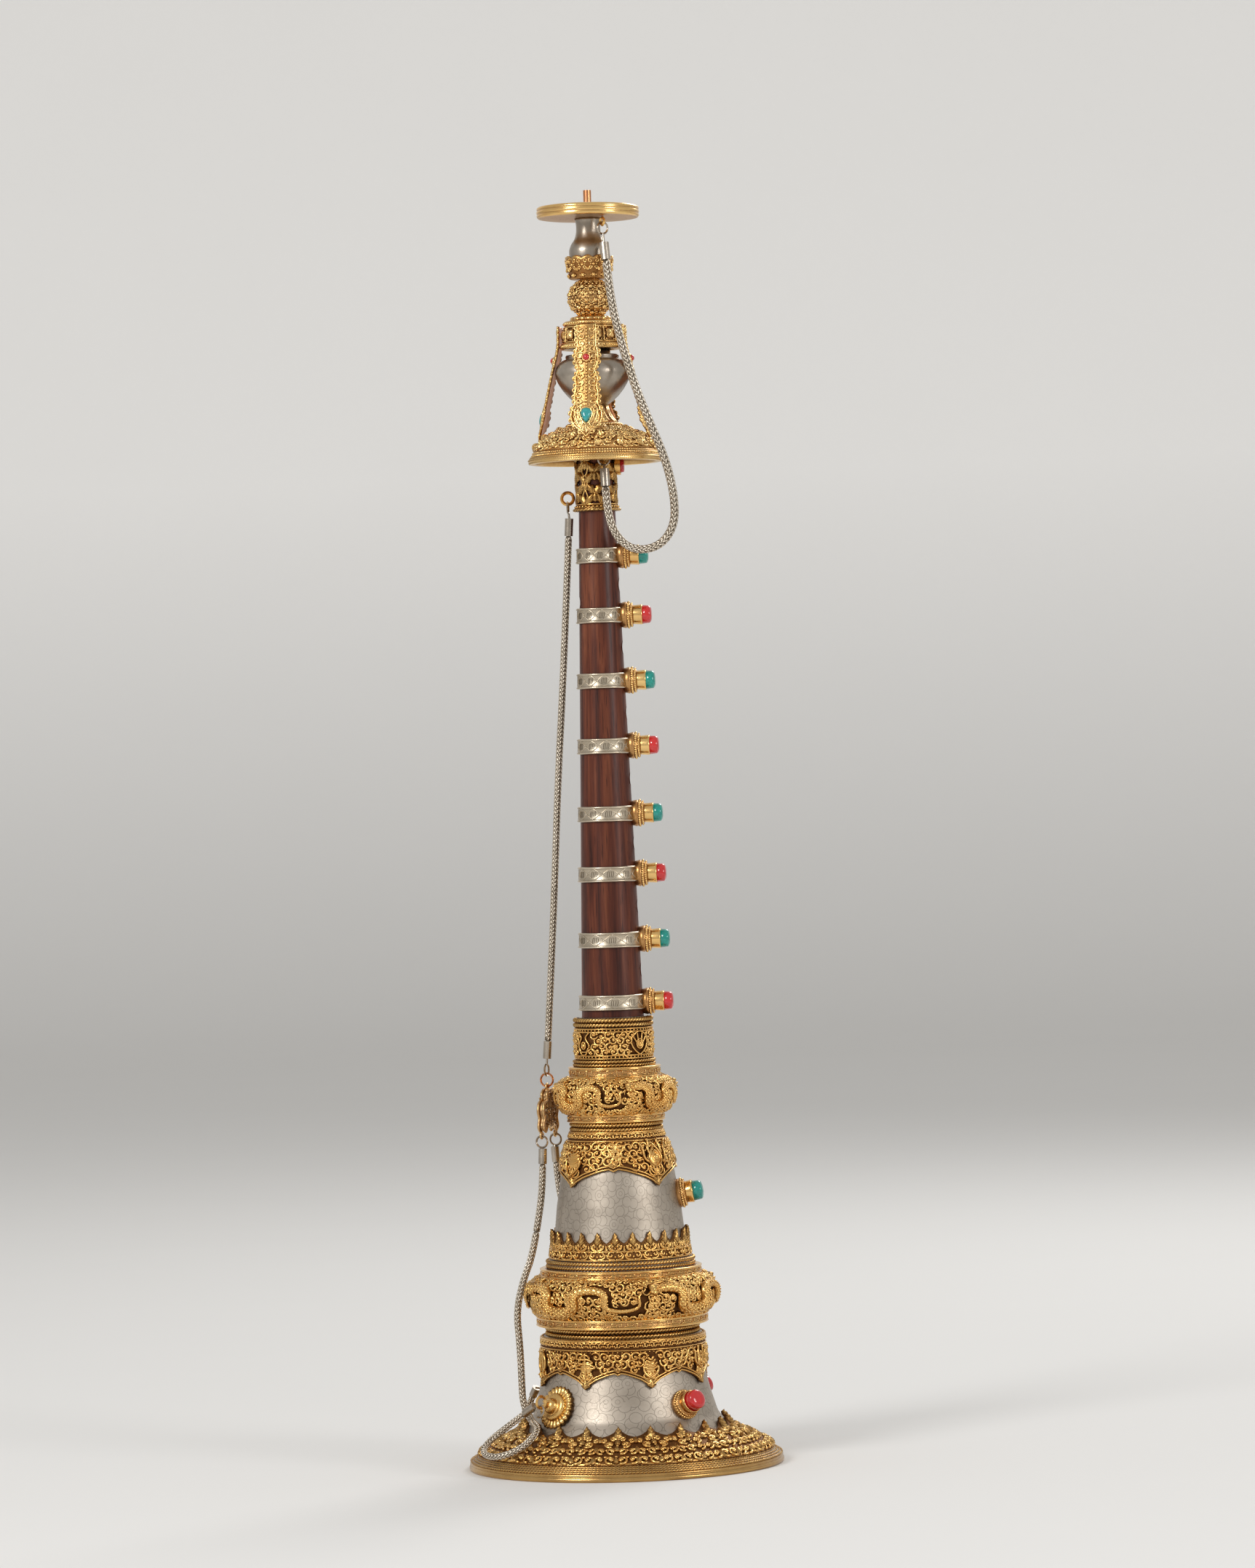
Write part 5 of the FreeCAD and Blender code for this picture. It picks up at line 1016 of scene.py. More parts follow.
# emblems as curves in shares of their size: (0, 0) is the middle
emblems = {
    "jewel": {"steps": 14, "wire": (0.5, 0.75), "mirror": True, "curves": [
        [(0, -k), (1.5 * k, -0.4 * k), (0.5 * k, 0.9 * k), (0, 1.35 * k)] for k in (1.0, 0.62)] + [
        [(0.9, -0.5), (1.9, 0), (1.0, 1), (1.7, 1.7)], [(0.6, 0.3), (1.2, 1), (0.3, 1.5), (0.7, 2.2)]]},
    "conch": {"steps": 12, "wire": (0.56, 0.8), "mirror": False, "curves": [
        [(-w, h), (-0.5 * w, h - 0.5), (0.6 * w, h - 0.45), (w, h + 0.12)]
        for w, h in ((1.0, -0.1), (0.85, 0.4), (0.62, 0.85), (0.36, 1.25))] + [
        [(1.0, 0), (1.4, -1), (0.2, -1.7), (-0.2, -1.9)],
        [(-1.0, 0), (-1.1, -0.9), (-0.7, -1.5), (-0.2, -1.9)]]},
    "umbrella": {"steps": 14, "wire": (0.5, 0.75), "mirror": False, "curves": [
        [(-w, h), (-w * neck, h + rise), (w * neck, h + rise), (w, h)]
        for neck, rise in ((0.6, 0.75), (0.4, -0.2))
        for w, h in ((1.5, -0.1), (1.1, 0.6), (0.7, 1.2))] + [[(0, -1.7), (0, -1), (0, 0), (0, 2.1)]]},
    "fishes": {"steps": 14, "wire": (0.5, 0.75), "mirror": True, "curves": [
        [(0.35, 1.7), (1.6, 1), (1.3, -0.7), (0.45, -1.3)],
        [(0.35, 1.7), (0.1, 1), (0.6, -0.4), (0.45, -1.3)],
        [(0.45, -1.3), (0.9, -1.6), (1.1, -2.0), (1.2, -1.8)],
        [(0.45, -1.3), (0.3, -1.7), (0.2, -2.0), (0.3, -2.2)]]},
}


def lobeEdge(facts):
    # distance up to the lower edge at each angle: height = low + arch * rise(distance from the lobe's point)
    away = np.abs(np.arange(facts["cols"]) / facts["cols"] * facts["lobes"] % 1 - 0.5) * 2
    return upTo(facts["wall"], facts["low"] + facts["arch"] * np.interp(away, lobe["away"], lobe["rise"]))


def lotus(y, size):
    # outlines of an upright petal and two leaning ones on each side
    out = []
    for lean, reach in ((0.0, 1.0), (-0.55, 0.95), (0.55, 0.95), (-1.1, 0.8), (1.1, 0.8)):
        c, s = math.cos(lean), math.sin(lean)
        petal = bends([[(0, 0), (half * 0.42, 0.3), (half * 0.34, 0.75), (0, reach)] for half in (-1, 1)],
                      12) * size
        out += list(petal @ np.array([[c, -s], [s, c]]) + [0, y])
    return out


def emblem(name, wall, angle, y, size, lift):
    # the emblem's curves, size times as large, at one place on the wall; the jewel has a domed stone
    facts = emblems[name]
    curves = bends(facts["curves"], facts["steps"]) * size + [0, y]
    parts = [wires(wall, mirrored(curves) if facts["mirror"] else curves, [angle], lift, *facts["wire"])]
    if name == "jewel":
        stone = cushion(6, 16, lambda p, a: (1, np.sqrt(np.clip(1 - p ** 2, 0, 1))))
        parts.append(copies(stone, *seats(wall, [angle], y, 0.0, lift - 0.2), size * 0.42))
    return parts


def addSkirt(key):
    # a sheet down to the lobed edge; on it a border of arches, scrolls, leaves at points and valleys, emblems
    facts = skirts[key]
    wall, cols, lobes, size, lift = facts["wall"], facts["cols"], facts["lobes"], facts["size"], lobe["lift"]
    edge, top = lobeEdge(facts), upTo(wall, facts["top"]) - 0.05
    low, dip = float(edge.min()), float(edge.max())
    centre, radius = (low + top - 4) * 0.5, radiusAt(wall, low)
    # painted shade: the ground sheet, dark gilt marked near-full, stands for the shade seen through the
    # filigree
    sheet = band(wall, edge, top, lift, 12, cols, 0.15, 0.95)
    build(key + "SkirtGround", [sheet], "bell", shadedRecessGilt, facts["node"])
    parts = [ringWires(wall, np.stack([edge + 0.35, edge + 1.75]), lift + 0.25, 0.42, 0.55),
             ringWires(wall, [[top - 0.4], [top - 4.6]], lift + 0.2, 0.36, 0.5)]
    count = lobes * round(fullTurn * radius / lobes / lobe["pitch"])
    arch = bends([[(-1.9, -1.2), (-0.8, -0.5), (0.8, -0.5), (1.9, -1.2)]])[0] + [0, top]
    row = [curl(-0.85, top - 2.5, 1.45, 2.6, -1, 1.05), curl(0.85, top - 2.5, 1.45, 0.54, 1, 1.05), arch]
    parts.append(wires(wall, row, evenly(count), lift + 0.2, 0.33, 0.5))
    parts.append(grains(wall, evenly(count, 180 / count), top - 2.6, 0.62, lift))
    parts.append(grains(wall, evenly(count * 2), top - 5.5, 0.42, lift))
    width, each, half = fullTurn / lobes * radius, cols // lobes, 180 / lobes

    def inside(x, y):
        # between the lobe's border and the arches, and clear of the emblem
        height = np.interp((x / width + 0.5) % 1 * each, np.arange(each + 1), np.append(edge[:each], edge[0]))
        away = np.hypot(x / 0.82, y - centre)
        return (y > height + 2.9) & (y < top - 6.2) & (away > facts["clear"])

    parts += fillScrolls(wall, lobes, width, low + 1, top - 6, lobe["gap"], 31, inside, lift + 0.2, 0.64,
                         half)
    parts.append(rope(facts["crown"], facts["top"] - 0.15, 0.62, 120, 6))
    points, valleys = evenly(lobes, half), evenly(lobes)
    parts.append(leaves(wall, points, low - 0.3, 5.4, 1.9, 0.0, lift + 0.2, 1.0, 2))
    parts += [leaves(wall, points, low + 2.2, 4.4, 1.2, side * 0.9, lift + 0.2, 0.8, 2) for side in (-1, 1)]
    parts += [leaves(wall, valleys, dip + 1.2, 3.6, 1.1, side * 0.75, lift + 0.3, 0.8, 2)
              for side in (-1, 0, 1)]
    parts.append(wires(wall, lotus(centre - size * 1.05, size), points, lift + 0.7, 0.46, 0.7))
    mass = cushion(7, 24, lambda p, a: (1 + 0.06 * np.cos(6 * a), 0.42 * np.sqrt(np.clip(1 - p ** 2, 0, 1))))
    for k, angle in enumerate(points):
        name = facts["order"][k % len(facts["order"])]
        parts += emblem(name, wall, angle, centre + size * 0.3, size * 0.72, lift + 1.5)
        parts.append(copies(mass, *seats(wall, [angle], centre + size * 0.25, 0.0, lift), size * 0.85))
    build(key + "SkirtScrolls", parts, "bell", giltFinish)


addSkirt("lower")
addSkirt("upper")
print("skirts ready")


# standing crestings: scroll pairs below, leaf finials above

crests = {
    "upper": {"wall": upperWall, "node": "cresting_upper", "low": 97.0, "high": 110.2, "count": 24,
              "notch": 4.6},
    "base": {"wall": lowerWall, "node": "cresting_base", "low": 6.6, "high": 21.0, "count": 20, "notch": 4.2},
}
# rows of paired scrolls up the base: share of the height, scrolls to a point, size, where the first stands
baseRows = ((0.12, 4, 2.9, 0.5), (0.36, 4, 2.5, 0.5), (0.57, 2, 2.7, 0.40), (0.76, 2, 1.7, 0.24),
            (0.70, 2, 1.7, 0.74))


def upperRelief(wall, low, tall, pitch, points, valleys):
    # two rows of scrolls in pairs with grains between them, and a tall leaf at each point
    row = [curl(pitch * 0.24, low + 3.0, pitch * 0.21, 2.5, -1, 1.0),
           bends([[(0.3, 0.9), (pitch * 0.3, 0.7), (pitch * 0.48, 1.4), (pitch * 0.47, 3.2)]])[0] + [0, low]]
    small = [curl(pitch * 0.2, low + 6.9, pitch * 0.15, 4.2, 1, 1.1),
             bends([[(0.2, 5.2), (pitch * 0.2, 5.0), (pitch * 0.42, 5.5), (pitch * 0.36, 7.6)]])[0]
             + [0, low]]
    parts = [wires(wall, mirrored(row), points, 1.15, 0.48, 0.8),
             wires(wall, mirrored(small), points, 1.1, 0.42, 0.7)]
    for at, rise, size in ((points, 2.2, 0.62), (valleys, 4.3, 0.6), (points, 6.0, 0.5)):
        parts.append(grains(wall, at, low + rise, size, 0.85))
    parts.append(leaves(wall, points, low + 7.2, tall - 7.0, pitch * 0.21, 0.0, 1.1, 0.9, 2, 0.4))
    parts += [leaves(wall, points, low + 6.4, 3.6, 0.8, side * 0.8, 1.0, 0.6, 1) for side in (-1, 1)]
    parts.append(leaves(wall, valleys, low + 3.8, 4.2, 0.95, 0.0, 0.9, 0.8, 2))
    return parts + [ringWires(wall, [[low + 0.45], [low + 4.6]], 1.1, 0.4, 0.5)]


def baseRelief(wall, low, tall, count, points, valleys):
    # rows of scrolls in pairs, with leaves and grains up every point and valley
    parts = []
    for share, each, size, first in baseRows:
        y = low + tall * share
        for hand in (-1, 1):
            for k in range(each // 2):
                at = evenly(count, (k + first) / each * 360 / count * hand)
                spiral = curl(0, y, size, -1.9 * hand + math.pi * (hand < 0), hand, 1.05, 20)
                parts += [wires(wall, spiral, at, 1.2, 0.66, 1.0), grains(wall, at, y, size * 0.34, 1.5)]
    for at, shares, long, wide in ((points, (0.02, 0.34, 0.56), 0.17, 1.5),
                                   (valleys, (0.0, 0.30, 0.62), 0.2, 1.6)):
        parts += [leaves(wall, at, low + tall * share, tall * long, wide, 0.0, 1.2, 1.2, 3)
                  for share in shares]
    parts.append(leaves(wall, points, low + tall * 0.74, tall * 0.28, 2.3, 0.0, 1.1, 1.6, 2, 0.5, 17, 11))
    parts += [leaves(wall, points, low + tall * 0.72, tall * 0.16, 1.1, side * 0.95, 1.1, 1.1, 1)
              for side in (-1, 1)]
    for at, shares, size, lift in ((evenly(count * 2, 90 / count), (0.19, 0.38, 0.55), 0.8, 1.2),
                                   (points, (0.2, 0.53, 0.73), 0.75, 1.3)):
        parts += [grains(wall, at, low + tall * share, size, lift) for share in shares]
    return parts + [ringWires(wall, [[low + 0.7], [low + 1.3]], 0.5, 0.4, 0.5)]


def addCrest(key):
    # a sheet whose top rises to a point count times: peak - notch * f(distance from the point)
    facts = crests[key]
    wall, count = facts["wall"], facts["count"]
    cols = count * 10
    away = np.abs(np.arange(cols) / 10 % 1 - 0.5) * 2
    low, peak = float(upTo(wall, facts["low"])), float(upTo(wall, facts["high"]))
    tops = peak - facts["notch"] * np.interp(away, [0, 0.35, 0.62, 1], [1, 0.8, 0.5, 0.0])
    # painted shade: the ground sheet behind the relief, in dark gilt
    sheet = band(wall, low + 0.02, tops - 0.3, 0.85, 7, cols, 0.1, 0.65)
    build(key + "CrestGround", [sheet], "bell", shadedRecessGilt, facts["node"])
    points, valleys = evenly(count), evenly(count, 180 / count)
    if key == "upper":
        pitch = fullTurn * float(radiusAt(wall, peak)) / count
        parts = upperRelief(wall, low, peak - low, pitch, points, valleys)
    else:
        parts = baseRelief(wall, low, peak - low, count, points, valleys)
    build(key + "CrestRelief", parts, "bell", giltFinish)


addCrest("upper")
addCrest("base")
print("crestings ready")


# filigree drum of the socket, with a shield and a vase on opposite quarters

drumShape = {
    "ground": [(17.05, 189.4), (17.7, 189.4), (17.75, 204.4), (17.05, 204.4)],
    "shield": {"start": -45, "eye": 7.2, "size": 1.1, "curves": [
        [(0, 13.0), (2.6, 12.6), (5.2, 10.4), (4.5, 7.6)], [(4.5, 7.6), (4.0, 5.2), (2.2, 3.4), (0, 2.2)],
        [(0, 6.0), (1.4, 7.2), (2.8, 9.2), (3.6, 10.6)], [(0, 6.0), (0.8, 7.6), (1.2, 10.2), (1.4, 12.2)],
        [(0, 5.0), (2.3, 5.0), (2.3, 9.4), (0, 9.4)], [(0, 5.9), (1.4, 5.9), (1.4, 8.5), (0, 8.5)]]},
    "vase": {"start": 45, "eye": 6.8, "size": 1.0, "curves": [
        [(0, 2.4), (2.6, 2.4), (1.4, 4.2), (3.1, 5.8)], [(3.1, 5.8), (4.2, 7.4), (1.6, 9.0), (1.4, 10.4)],
        [(1.4, 10.4), (1.5, 11.4), (2.8, 11.8), (3.2, 12.8)], [(0, 5.2), (1.6, 5.2), (1.6, 8.4), (0, 8.4)],
        [(0, 3.8), (3.0, 3.8), (3.0, 4.6), (3.3, 5.0)]]},
}


def addDrum():
    # four fields of scrolls, each round an oval left clear for its emblem
    # painted shade: the drum's ground under the scrolls, dark gilt marked near-full
    build("socketDrumGround", [spun(drumShape["ground"], 96, 0.9)], "bell", shadedRecessGilt, "socket_drum")
    parts = [ringWires(drumWall, [[0.6], [14.4], [2.0], [13.0]], 0.4, 0.34, 0.55)]
    parts += fillScrolls(drumWall, 4, fullTurn * 17.7 / 4, 2.3, 12.8, 3.3, 41,
                         lambda x, y: np.hypot(x / 0.95, y - 7.4) > 5.4, 0.4, 0.52, 45)
    for key in ("shield", "vase"):
        facts = drumShape[key]
        at = evenly(2, facts["start"])
        parts.append(wires(drumWall, mirrored(bends(facts["curves"])), at, 0.65, 0.38, 0.7))
        parts.append(grains(drumWall, at, facts["eye"], facts["size"], 0.5))
    parts += [grains(drumWall, evenly(60), y, 0.46, 0.25) for y in (1.3, 13.7)]
    build("socketDrumScrolls", parts, "bell", giltFinish)


addDrum()
print("socket drum ready")


# studs: a rosette of petals, a beaded collar, a plain bezel and a domed stone

stud = {
    "band": {"petal": 6.4, "bead": 5.75, "collar": 5.4, "rise": 3.9, "bezel": 4.7, "length": 4.5,
             "stone": 4.45,
             "dome": 4.8},
    "bell": {"petal": 7.0, "bead": 6.4, "collar": 6.1, "rise": 3.2, "bezel": 5.3, "length": 3.6, "stone": 4.8,
             "dome": 5.2},
}
# the bell's two corals and its teal: turn, radius, height and lean of each
bellStuds = np.array([(-45.0, 41.37, 30.0, 20.0), (45.0, 41.37, 30.0, 20.0), (0.0, 28.16, 125.8, 8.0)]).T
wood = {"foot": 209.0, "length": 235.4, "wide": 14.47, "narrow": 8.55,
        "bands": (0.912, 0.7935, 0.664, 0.535, 0.401, 0.282, 0.152, 0.0285)}
bandLevels = wood["foot"] + wood["length"] * np.array(wood["bands"])


def woodRadius(level):
    # straight from wide at the foot to narrow at the top
    return wood["wide"] + (wood["narrow"] - wood["wide"]) * (level - wood["foot"]) / wood["length"]


def studMount(facts):
    # stacked along z: petals, a skirt, two bead rows, a tapered bezel with a rolled lip
    petal, bead, collar = facts["petal"], facts["bead"], facts["collar"]
    rise, bezel, length, stone = facts["rise"], facts["bezel"], facts["length"], facts["stone"]
    tall, lean = rise + length, math.degrees(math.atan(0.45))
    points, faces, marks = blossom(14, 0.16, 0.55, 6)
    skirt = [(petal * 0.86, -2.2), (petal * 0.96, rise * 0.05), (petal * 0.94, rise * 0.3),
             (collar, rise * 0.45), (collar, rise), (0.5, rise)]
    cup = [(bezel * 0.9, rise - 0.4), (bezel * 0.95, rise + length * 0.15), (bezel * 0.99, tall - 0.9),
           (bezel, tall - 0.4), (bezel - 0.12, tall - 0.08), (bezel - 0.32, tall), (stone - 0.1, tall - 0.25),
           (stone - 0.35, tall - 0.6), (0.4, tall - 0.6)]
    # painted shade on the skirt under the collar; the bezel almost none
    return joined([
        (points * [petal, petal, 2.2] + [0, 0, rise * 0.12], faces, marks), turned(skirt, 42, 0.75),
        beadRow(bead, rise * 0.5, 34, 0.62, lean), beadRow(bead - 0.5, rise * 0.86, 36, 0.5, lean),
        turned(cup, 48, 0.08)])


def cabochon(stone, dome):
    # barrel stone: a straight side and over it a low dome, (1 - p^3.2)^0.6 of what is left
    side = dome * 0.62
    shape = cushion(12, 40, lambda p, a: (1, side + (dome - side) * np.clip(1 - p ** 3.2, 0, 1) ** 0.6))
    points = shape[0] * [stone, stone, 1]
    points[-1, 2] = -0.3
    points[:40, 2] = 0.0
    return points, shape[1], 0.0


def setStones(facts, seat, reach, body, rows):
    # stones at some of the seats, each by its reach off the mount's own seat
    gem = cabochon(facts["stone"], facts["dome"])
    seat = (seat[0] + seat[3] * reach, *seat[1:])
    for name, node, finish, pick in rows:
        build(name, [copies(gem, *(v[pick] for v in seat))], body, finish, node)


def addStuds():
    # one on every band at +X, teal and coral in turn, and three on the bell
    seat = outward(np.zeros(8), woodRadius(bandLevels) + 1.55, bandLevels)
    build("bandMounts", [copies(studMount(stud["band"]), *seat)], "chanter", polishedGilt, "band_stud_mounts")
    setStones(stud["band"], seat, 7.95, "chanter", (
        ("bandTealStones", "band_teal_stones", tealFinish, slice(0, None, 2)),
        ("bandCoralStones", "band_coral_stones", coralFinish, slice(1, None, 2))))
    turns, radii, levels, leans = bellStuds
    seat = outward(np.radians(turns), radii, levels, leans)
    build("bellMounts", [copies(studMount(stud["bell"]), *seat)], "bell", polishedGilt, "bell_stud_mounts")
    setStones(stud["bell"], seat, 6.35, "bell", (
        ("bellCoralStones", "bell_coral_stones", coralFinish, slice(0, 2)),
        ("bellTealStone", "bell_teal_stone", tealFinish, slice(2, None))))


addStuds()


# chain bosses: a fluted flower disc, a ring of beads, a knob

boss = {"size": 10.9, "knob": [
    (6.5, -5.0), (6.75, 1.6), (6.6, 2.6), (5.6, 3.3), (4.4, 3.35), (3.6, 3.4), (3.75, 4.2), (3.4, 5.4),
    (2.4, 6.4),
    (1.2, 6.8), (0.3, 6.82)]}


def bossShape(p, a):
    # 24 flutes: they cut the edge by a twentieth, and swell by 0.5 p cos 24a outside p = 0.55
    flute = np.cos(24 * a)
    return 1 - 0.025 * (1 - flute), (1.7 + 0.5 * flute * p * (p > 0.55)) * np.clip((1.04 - p) * 6, 0.1, 1)


def addBosses():
    # two on the bell's far side, leaning up by 20 degrees
    points, faces, marks = cushion(8, 96, bossShape)
    disc = points * [boss["size"], boss["size"], 1] + [0, 0, -0.1], faces, marks
    beads = copies(grain, polar(6.15, evenly(30), 1.9), [1, 0, 0], [0, 1, 0], [0, 0, 1], 0.66)
    seat = outward(np.radians([-135.0, 135.0]), 41.37, 30.0, 20.0)
    parts = [copies(part, *seat) for part in (disc, beads, turned(boss["knob"], 40))]
    build("chainBosses", parts, "bell", giltFinish, "chain_bosses")


addBosses()
print("studs and bosses ready")


# silver bands round the pipe: rolled edges and a chased lattice

bandShape = {
    "thick": 1.5, "half": 3.55, "edge": 0.95, "diamonds": 11,
    # painted shade at each point of the outline, in the grooves beside the rolled edges
    "marks": [0.2, 0.1, 0, 0, 0.5, 0.3, 0, 0.3, 0.5, 0, 0, 0.1, 0.2],
    # a lozenge's sides in shares of its width and height
    "arcs": [[(-0.5, 0.5), (-0.25, 0.8), (-0.1, 0.98), (0, 1)],
             [(0, 1), (0.1, 0.98), (0.25, 0.8), (0.5, 0.5)],
             [(-0.5, 0.5), (-0.25, 0.2), (-0.1, 0.02), (0, 0)],
             [(0, 0), (0.1, 0.02), (0.25, 0.2), (0.5, 0.5)]],
}


def addBands():
    # rings that follow the pipe's taper, with raised lozenges, and reeds between their edges drawn as fine
    # wires in full painted shade so that they look sunk
    t, half, edge, count = (bandShape[k] for k in ("thick", "half", "edge", "diamonds"))
    parts = []
    for level in bandLevels:
        low, high = level - half, level + half
        wide, narrow = woodRadius(low) + 0.05, woodRadius(high) + 0.05
        middle = (wide + narrow) / 2 + t * 0.62
        outline = [
            (wide, low), (wide + t * 0.7, low), (wide + t, low + 0.35), (wide + t, low + 0.75),
            (wide + t * 0.75, low + edge), (middle + 0.1, low + edge + 0.25), (middle, level),
            (middle - 0.05, high - edge - 0.25), (narrow + t * 0.75, high - edge), (narrow + t, high - 0.75),
            (narrow + t, high - 0.35), (narrow + t * 0.7, high), (narrow, high)]
        parts.append(spun(outline, 96, bandShape["marks"]))
        face = makeWall([(middle + 0.1, low + edge + 0.2), (middle - 0.05, high - edge - 0.2)], 3)
        span, pitch = face["length"], fullTurn * middle / count
        arcs = bends(bandShape["arcs"], 10) * [pitch, span]
        reeds = bends([[(k * pitch * 0.1 - 0.2, span * 0.22), (k * pitch * 0.14, span * 0.4),
                        (k * pitch * 0.14, span * 0.6), (k * pitch * 0.1 + 0.2, span * 0.78)]
                       for k in (-1.4, -0.5, 0.5, 1.4)], 10)
        at = evenly(count, 180 / count)
        # painted shade: fine lines along the lozenges and the reeds, in full shade; then the lozenges' edges,
        # raised and nearly bright
        parts.append(wires(face, np.concatenate([arcs, reeds]), at, 0.02, 0.16, 0.1, 4, 1.0))
        parts.append(wires(face, arcs, at, 0.02, 0.30, 0.14, 5, 0.05))
    build("chasedBands", parts, "chanter", nickelSilver, "chanter_bands")


addBands()
print("bands ready")


# ferrule: openwork leaves over the wood, wire ring and bead row, oval coral

ferruleWall = makeWall([(8.6, 447.1), (8.6, 474.0)])
ferrule = {"foot": [(8.25, 444.5), (10.0, 444.5), (10.1, 445.9), (9.8, 447.05), (8.25, 447.05)], "columns": 6,
           "stems": [[(0, 0), (4.6, 5), (-4.6, 10), (0, 14)], [(0, 13.5), (4.6, 18), (-4.6, 23), (0, 26.6)]]}


def addFerrule():
    # five rows of leaves, every other one half a step round, over winding stems
    wall, count = ferruleWall, ferrule["columns"]
    parts = [rope(10.65, 445.15, 0.72, 34), spun(ferrule["foot"], 64, 0.7), beadRow(9.85, 446.45, 34, 0.62)]
    build("ferruleRings", parts, "chanter", giltFinish, "ferrule_rings")
    parts = []
    for row in range(5):
        shift, base = row % 2 * 180 / count, 0.3 + row * 5.0
        at, between = evenly(count, shift), evenly(count, shift + 180 / count)
        parts += [leaves(wall, at, base, 6.6, 1.9, side * 0.62, 0.55, 0.75, 3) for side in (-1, 1)]
        parts.append(leaves(wall, between, base + 1.0, 5.4, 1.5, 0.0, 0.45, 0.8, 3))
    parts.append(wires(wall, mirrored(bends(ferrule["stems"], 24)), evenly(count), 0.7, 0.42, 0.5))
    parts.append(ringWires(wall, [[0.45], [26.4]], 0.5, 0.45))
    build("ferruleLeaves", parts, "chanter", giltFinish, "ferrule_sleeve")
    coral = copies(cabochon(3.45, 2.3), *outward(np.zeros(1), 11.2, 465.45))
    build("ferruleCoral", [coral], "chanter", coralFinish, "ferrule_coral")


addFerrule()
print("ferrule ready")


# dome, its rim, the fluted foot and the bulb

dome = {
    "rim": [(27.9, 467.3), (28.4, 467.0), (30.6, 467.0), (31.1, 467.6), (31.1, 468.6), (30.6, 469.5),
            (29.6, 470.0),
            (29.3, 472.2), (28.6, 472.5), (27.9, 472.5)],
    # painted shade at each point of the rim's outline, darkest in its crevices
    "rimPaintedShade": [0.5, 0.1, 0, 0, 0, 0.2, 0.7, 0.7, 0.5, 0.9],
    "wires": ((30.75, 467.6), (30.95, 468.7), (30.2, 469.75)),
    "shell": [(28.75, 472.55), (27.4, 475.0), (25.1, 477.0), (22.9, 478.9), (20.8, 480.2), (16.4, 482.0),
              (12.4, 483.3), (7.5, 483.3), (7.5, 474.1), (12.0, 474.1), (12.2, 481.4), (16.0, 480.4),
              (20.0, 478.4), (24.0, 475.6), (26.6, 472.6)],
    # painted shade over the shell, the ground under the filigree
    "shellPaintedShade": [0.25] + [0.3] * 6 + [0.4] + [0.3] * 7,
    # rows of rosettes: share of the way up, how many, size, where the first stands
    "rosettes": ((0.14, 16, 2.4, 6.65), (0.42, 12, 2.4, 10.4), (0.78, 8, 2.2, 17.9)),
    # the foot: radius, height and how deep its flutes are there
    "foot": [(7.0, 485.3, 0), (10.95, 485.4, 0), (10.7, 486.5, 0.35), (9.26, 488.1, 0.5), (7.6, 491.0, 0.38),
             (6.8, 493.9, 0.1), (5.0, 493.9, 0)],
    "collar": [(6.6, 483.4), (12.6, 483.4), (12.9, 484.0), (12.9, 485.0), (12.5, 485.4), (6.6, 485.4)],
    "belly": [(6.8, 493.9), (8.9, 495.6), (11.6, 497.9), (14.3, 501.2), (16.4, 504.6), (17.4, 507.4),
              (17.6, 509.4),
              (17.1, 511.6), (15.7, 513.7), (13.6, 515.3)],
    "neck": [(12.2, 515.7), (12.5, 516.1), (12.5, 516.9), (12.2, 517.3), (9.2, 517.4), (8.5, 517.9),
             (8.5, 520.0),
             (4, 520.0)],
}


def addDome():
    # a beaded and roped rim, the shell, and filigree with rows of rosettes over it
    wall = domeWall
    length = wall["length"]
    parts = [spun(dome["rim"], 144, dome["rimPaintedShade"]), beadRow(29.35, 470.75, 150, 0.62),
             beadRow(28.95, 471.9, 150, 0.52, 20)]
    parts += [rope(radius, level, 0.62, 170, 6) for radius, level in dome["wires"]]
    build("domeRimBeads", parts, "staple", stapleLitGilt, "dome_rim")
    # painted shade: the dome's ground under the filigree
    build("domeGround", [spun(dome["shell"], 144, dome["shellPaintedShade"])], "staple", stapleShadedRecess, "dome")
    parts = fillScrolls(wall, 8, fullTurn * 24 / 8, 1.0, length - 1.2, 3.4, 61, None, 0.35, 0.44)
    flower = blossom(5, 0.3, 0.6, 5)
    for share, count, size, shift in dome["rosettes"]:
        parts.append(copies(flower, *seats(wall, evenly(count, shift), length * share, 0.0, 0.5), size))
        parts.append(grains(wall, evenly(count, shift + 180 / count), length * share, 0.62, 0.6))
    parts += [leaves(wall, evenly(24, 7.5), length * 0.32, 4.2, 1.1, side * 0.7, 0.45, 0.6, 2)
              for side in (-1, 1)]
    build("domeFiligree", parts, "staple", stapleLitGilt)


def addFootAndBulb():
    # the foot's radius less its depth * (0.5 + 0.5 cos 18a), its collar, and the plain bulb above
    a = evenly(144)
    r, z, depth = np.array(dome["foot"]).T[:, :, None]
    cut = depth * (0.5 + 0.5 * np.cos(18 * a))
    # painted shade deepest in the flutes; the collar in some shade
    parts = [lidded(polar(r - cut, a, z), cut * 1.8), spun(dome["collar"], 96, 0.6),
             beadRow(12.75, 484.4, 60, 0.66)]
    build("flutedFoot", parts, "staple", stapleLitGilt, "dome_foot")
    outline = [(4, 493.9), *profile(makeWall(dome["belly"], 21), 8), *dome["neck"]]
    build("dullBulb", [turned(outline, 96)], "staple", dullSilver, "silver_bulb")


addDome()
addFootAndBulb()
print("dome, foot and bulb ready")


# crown: drum of blossoms between beaded rings, petalled cap

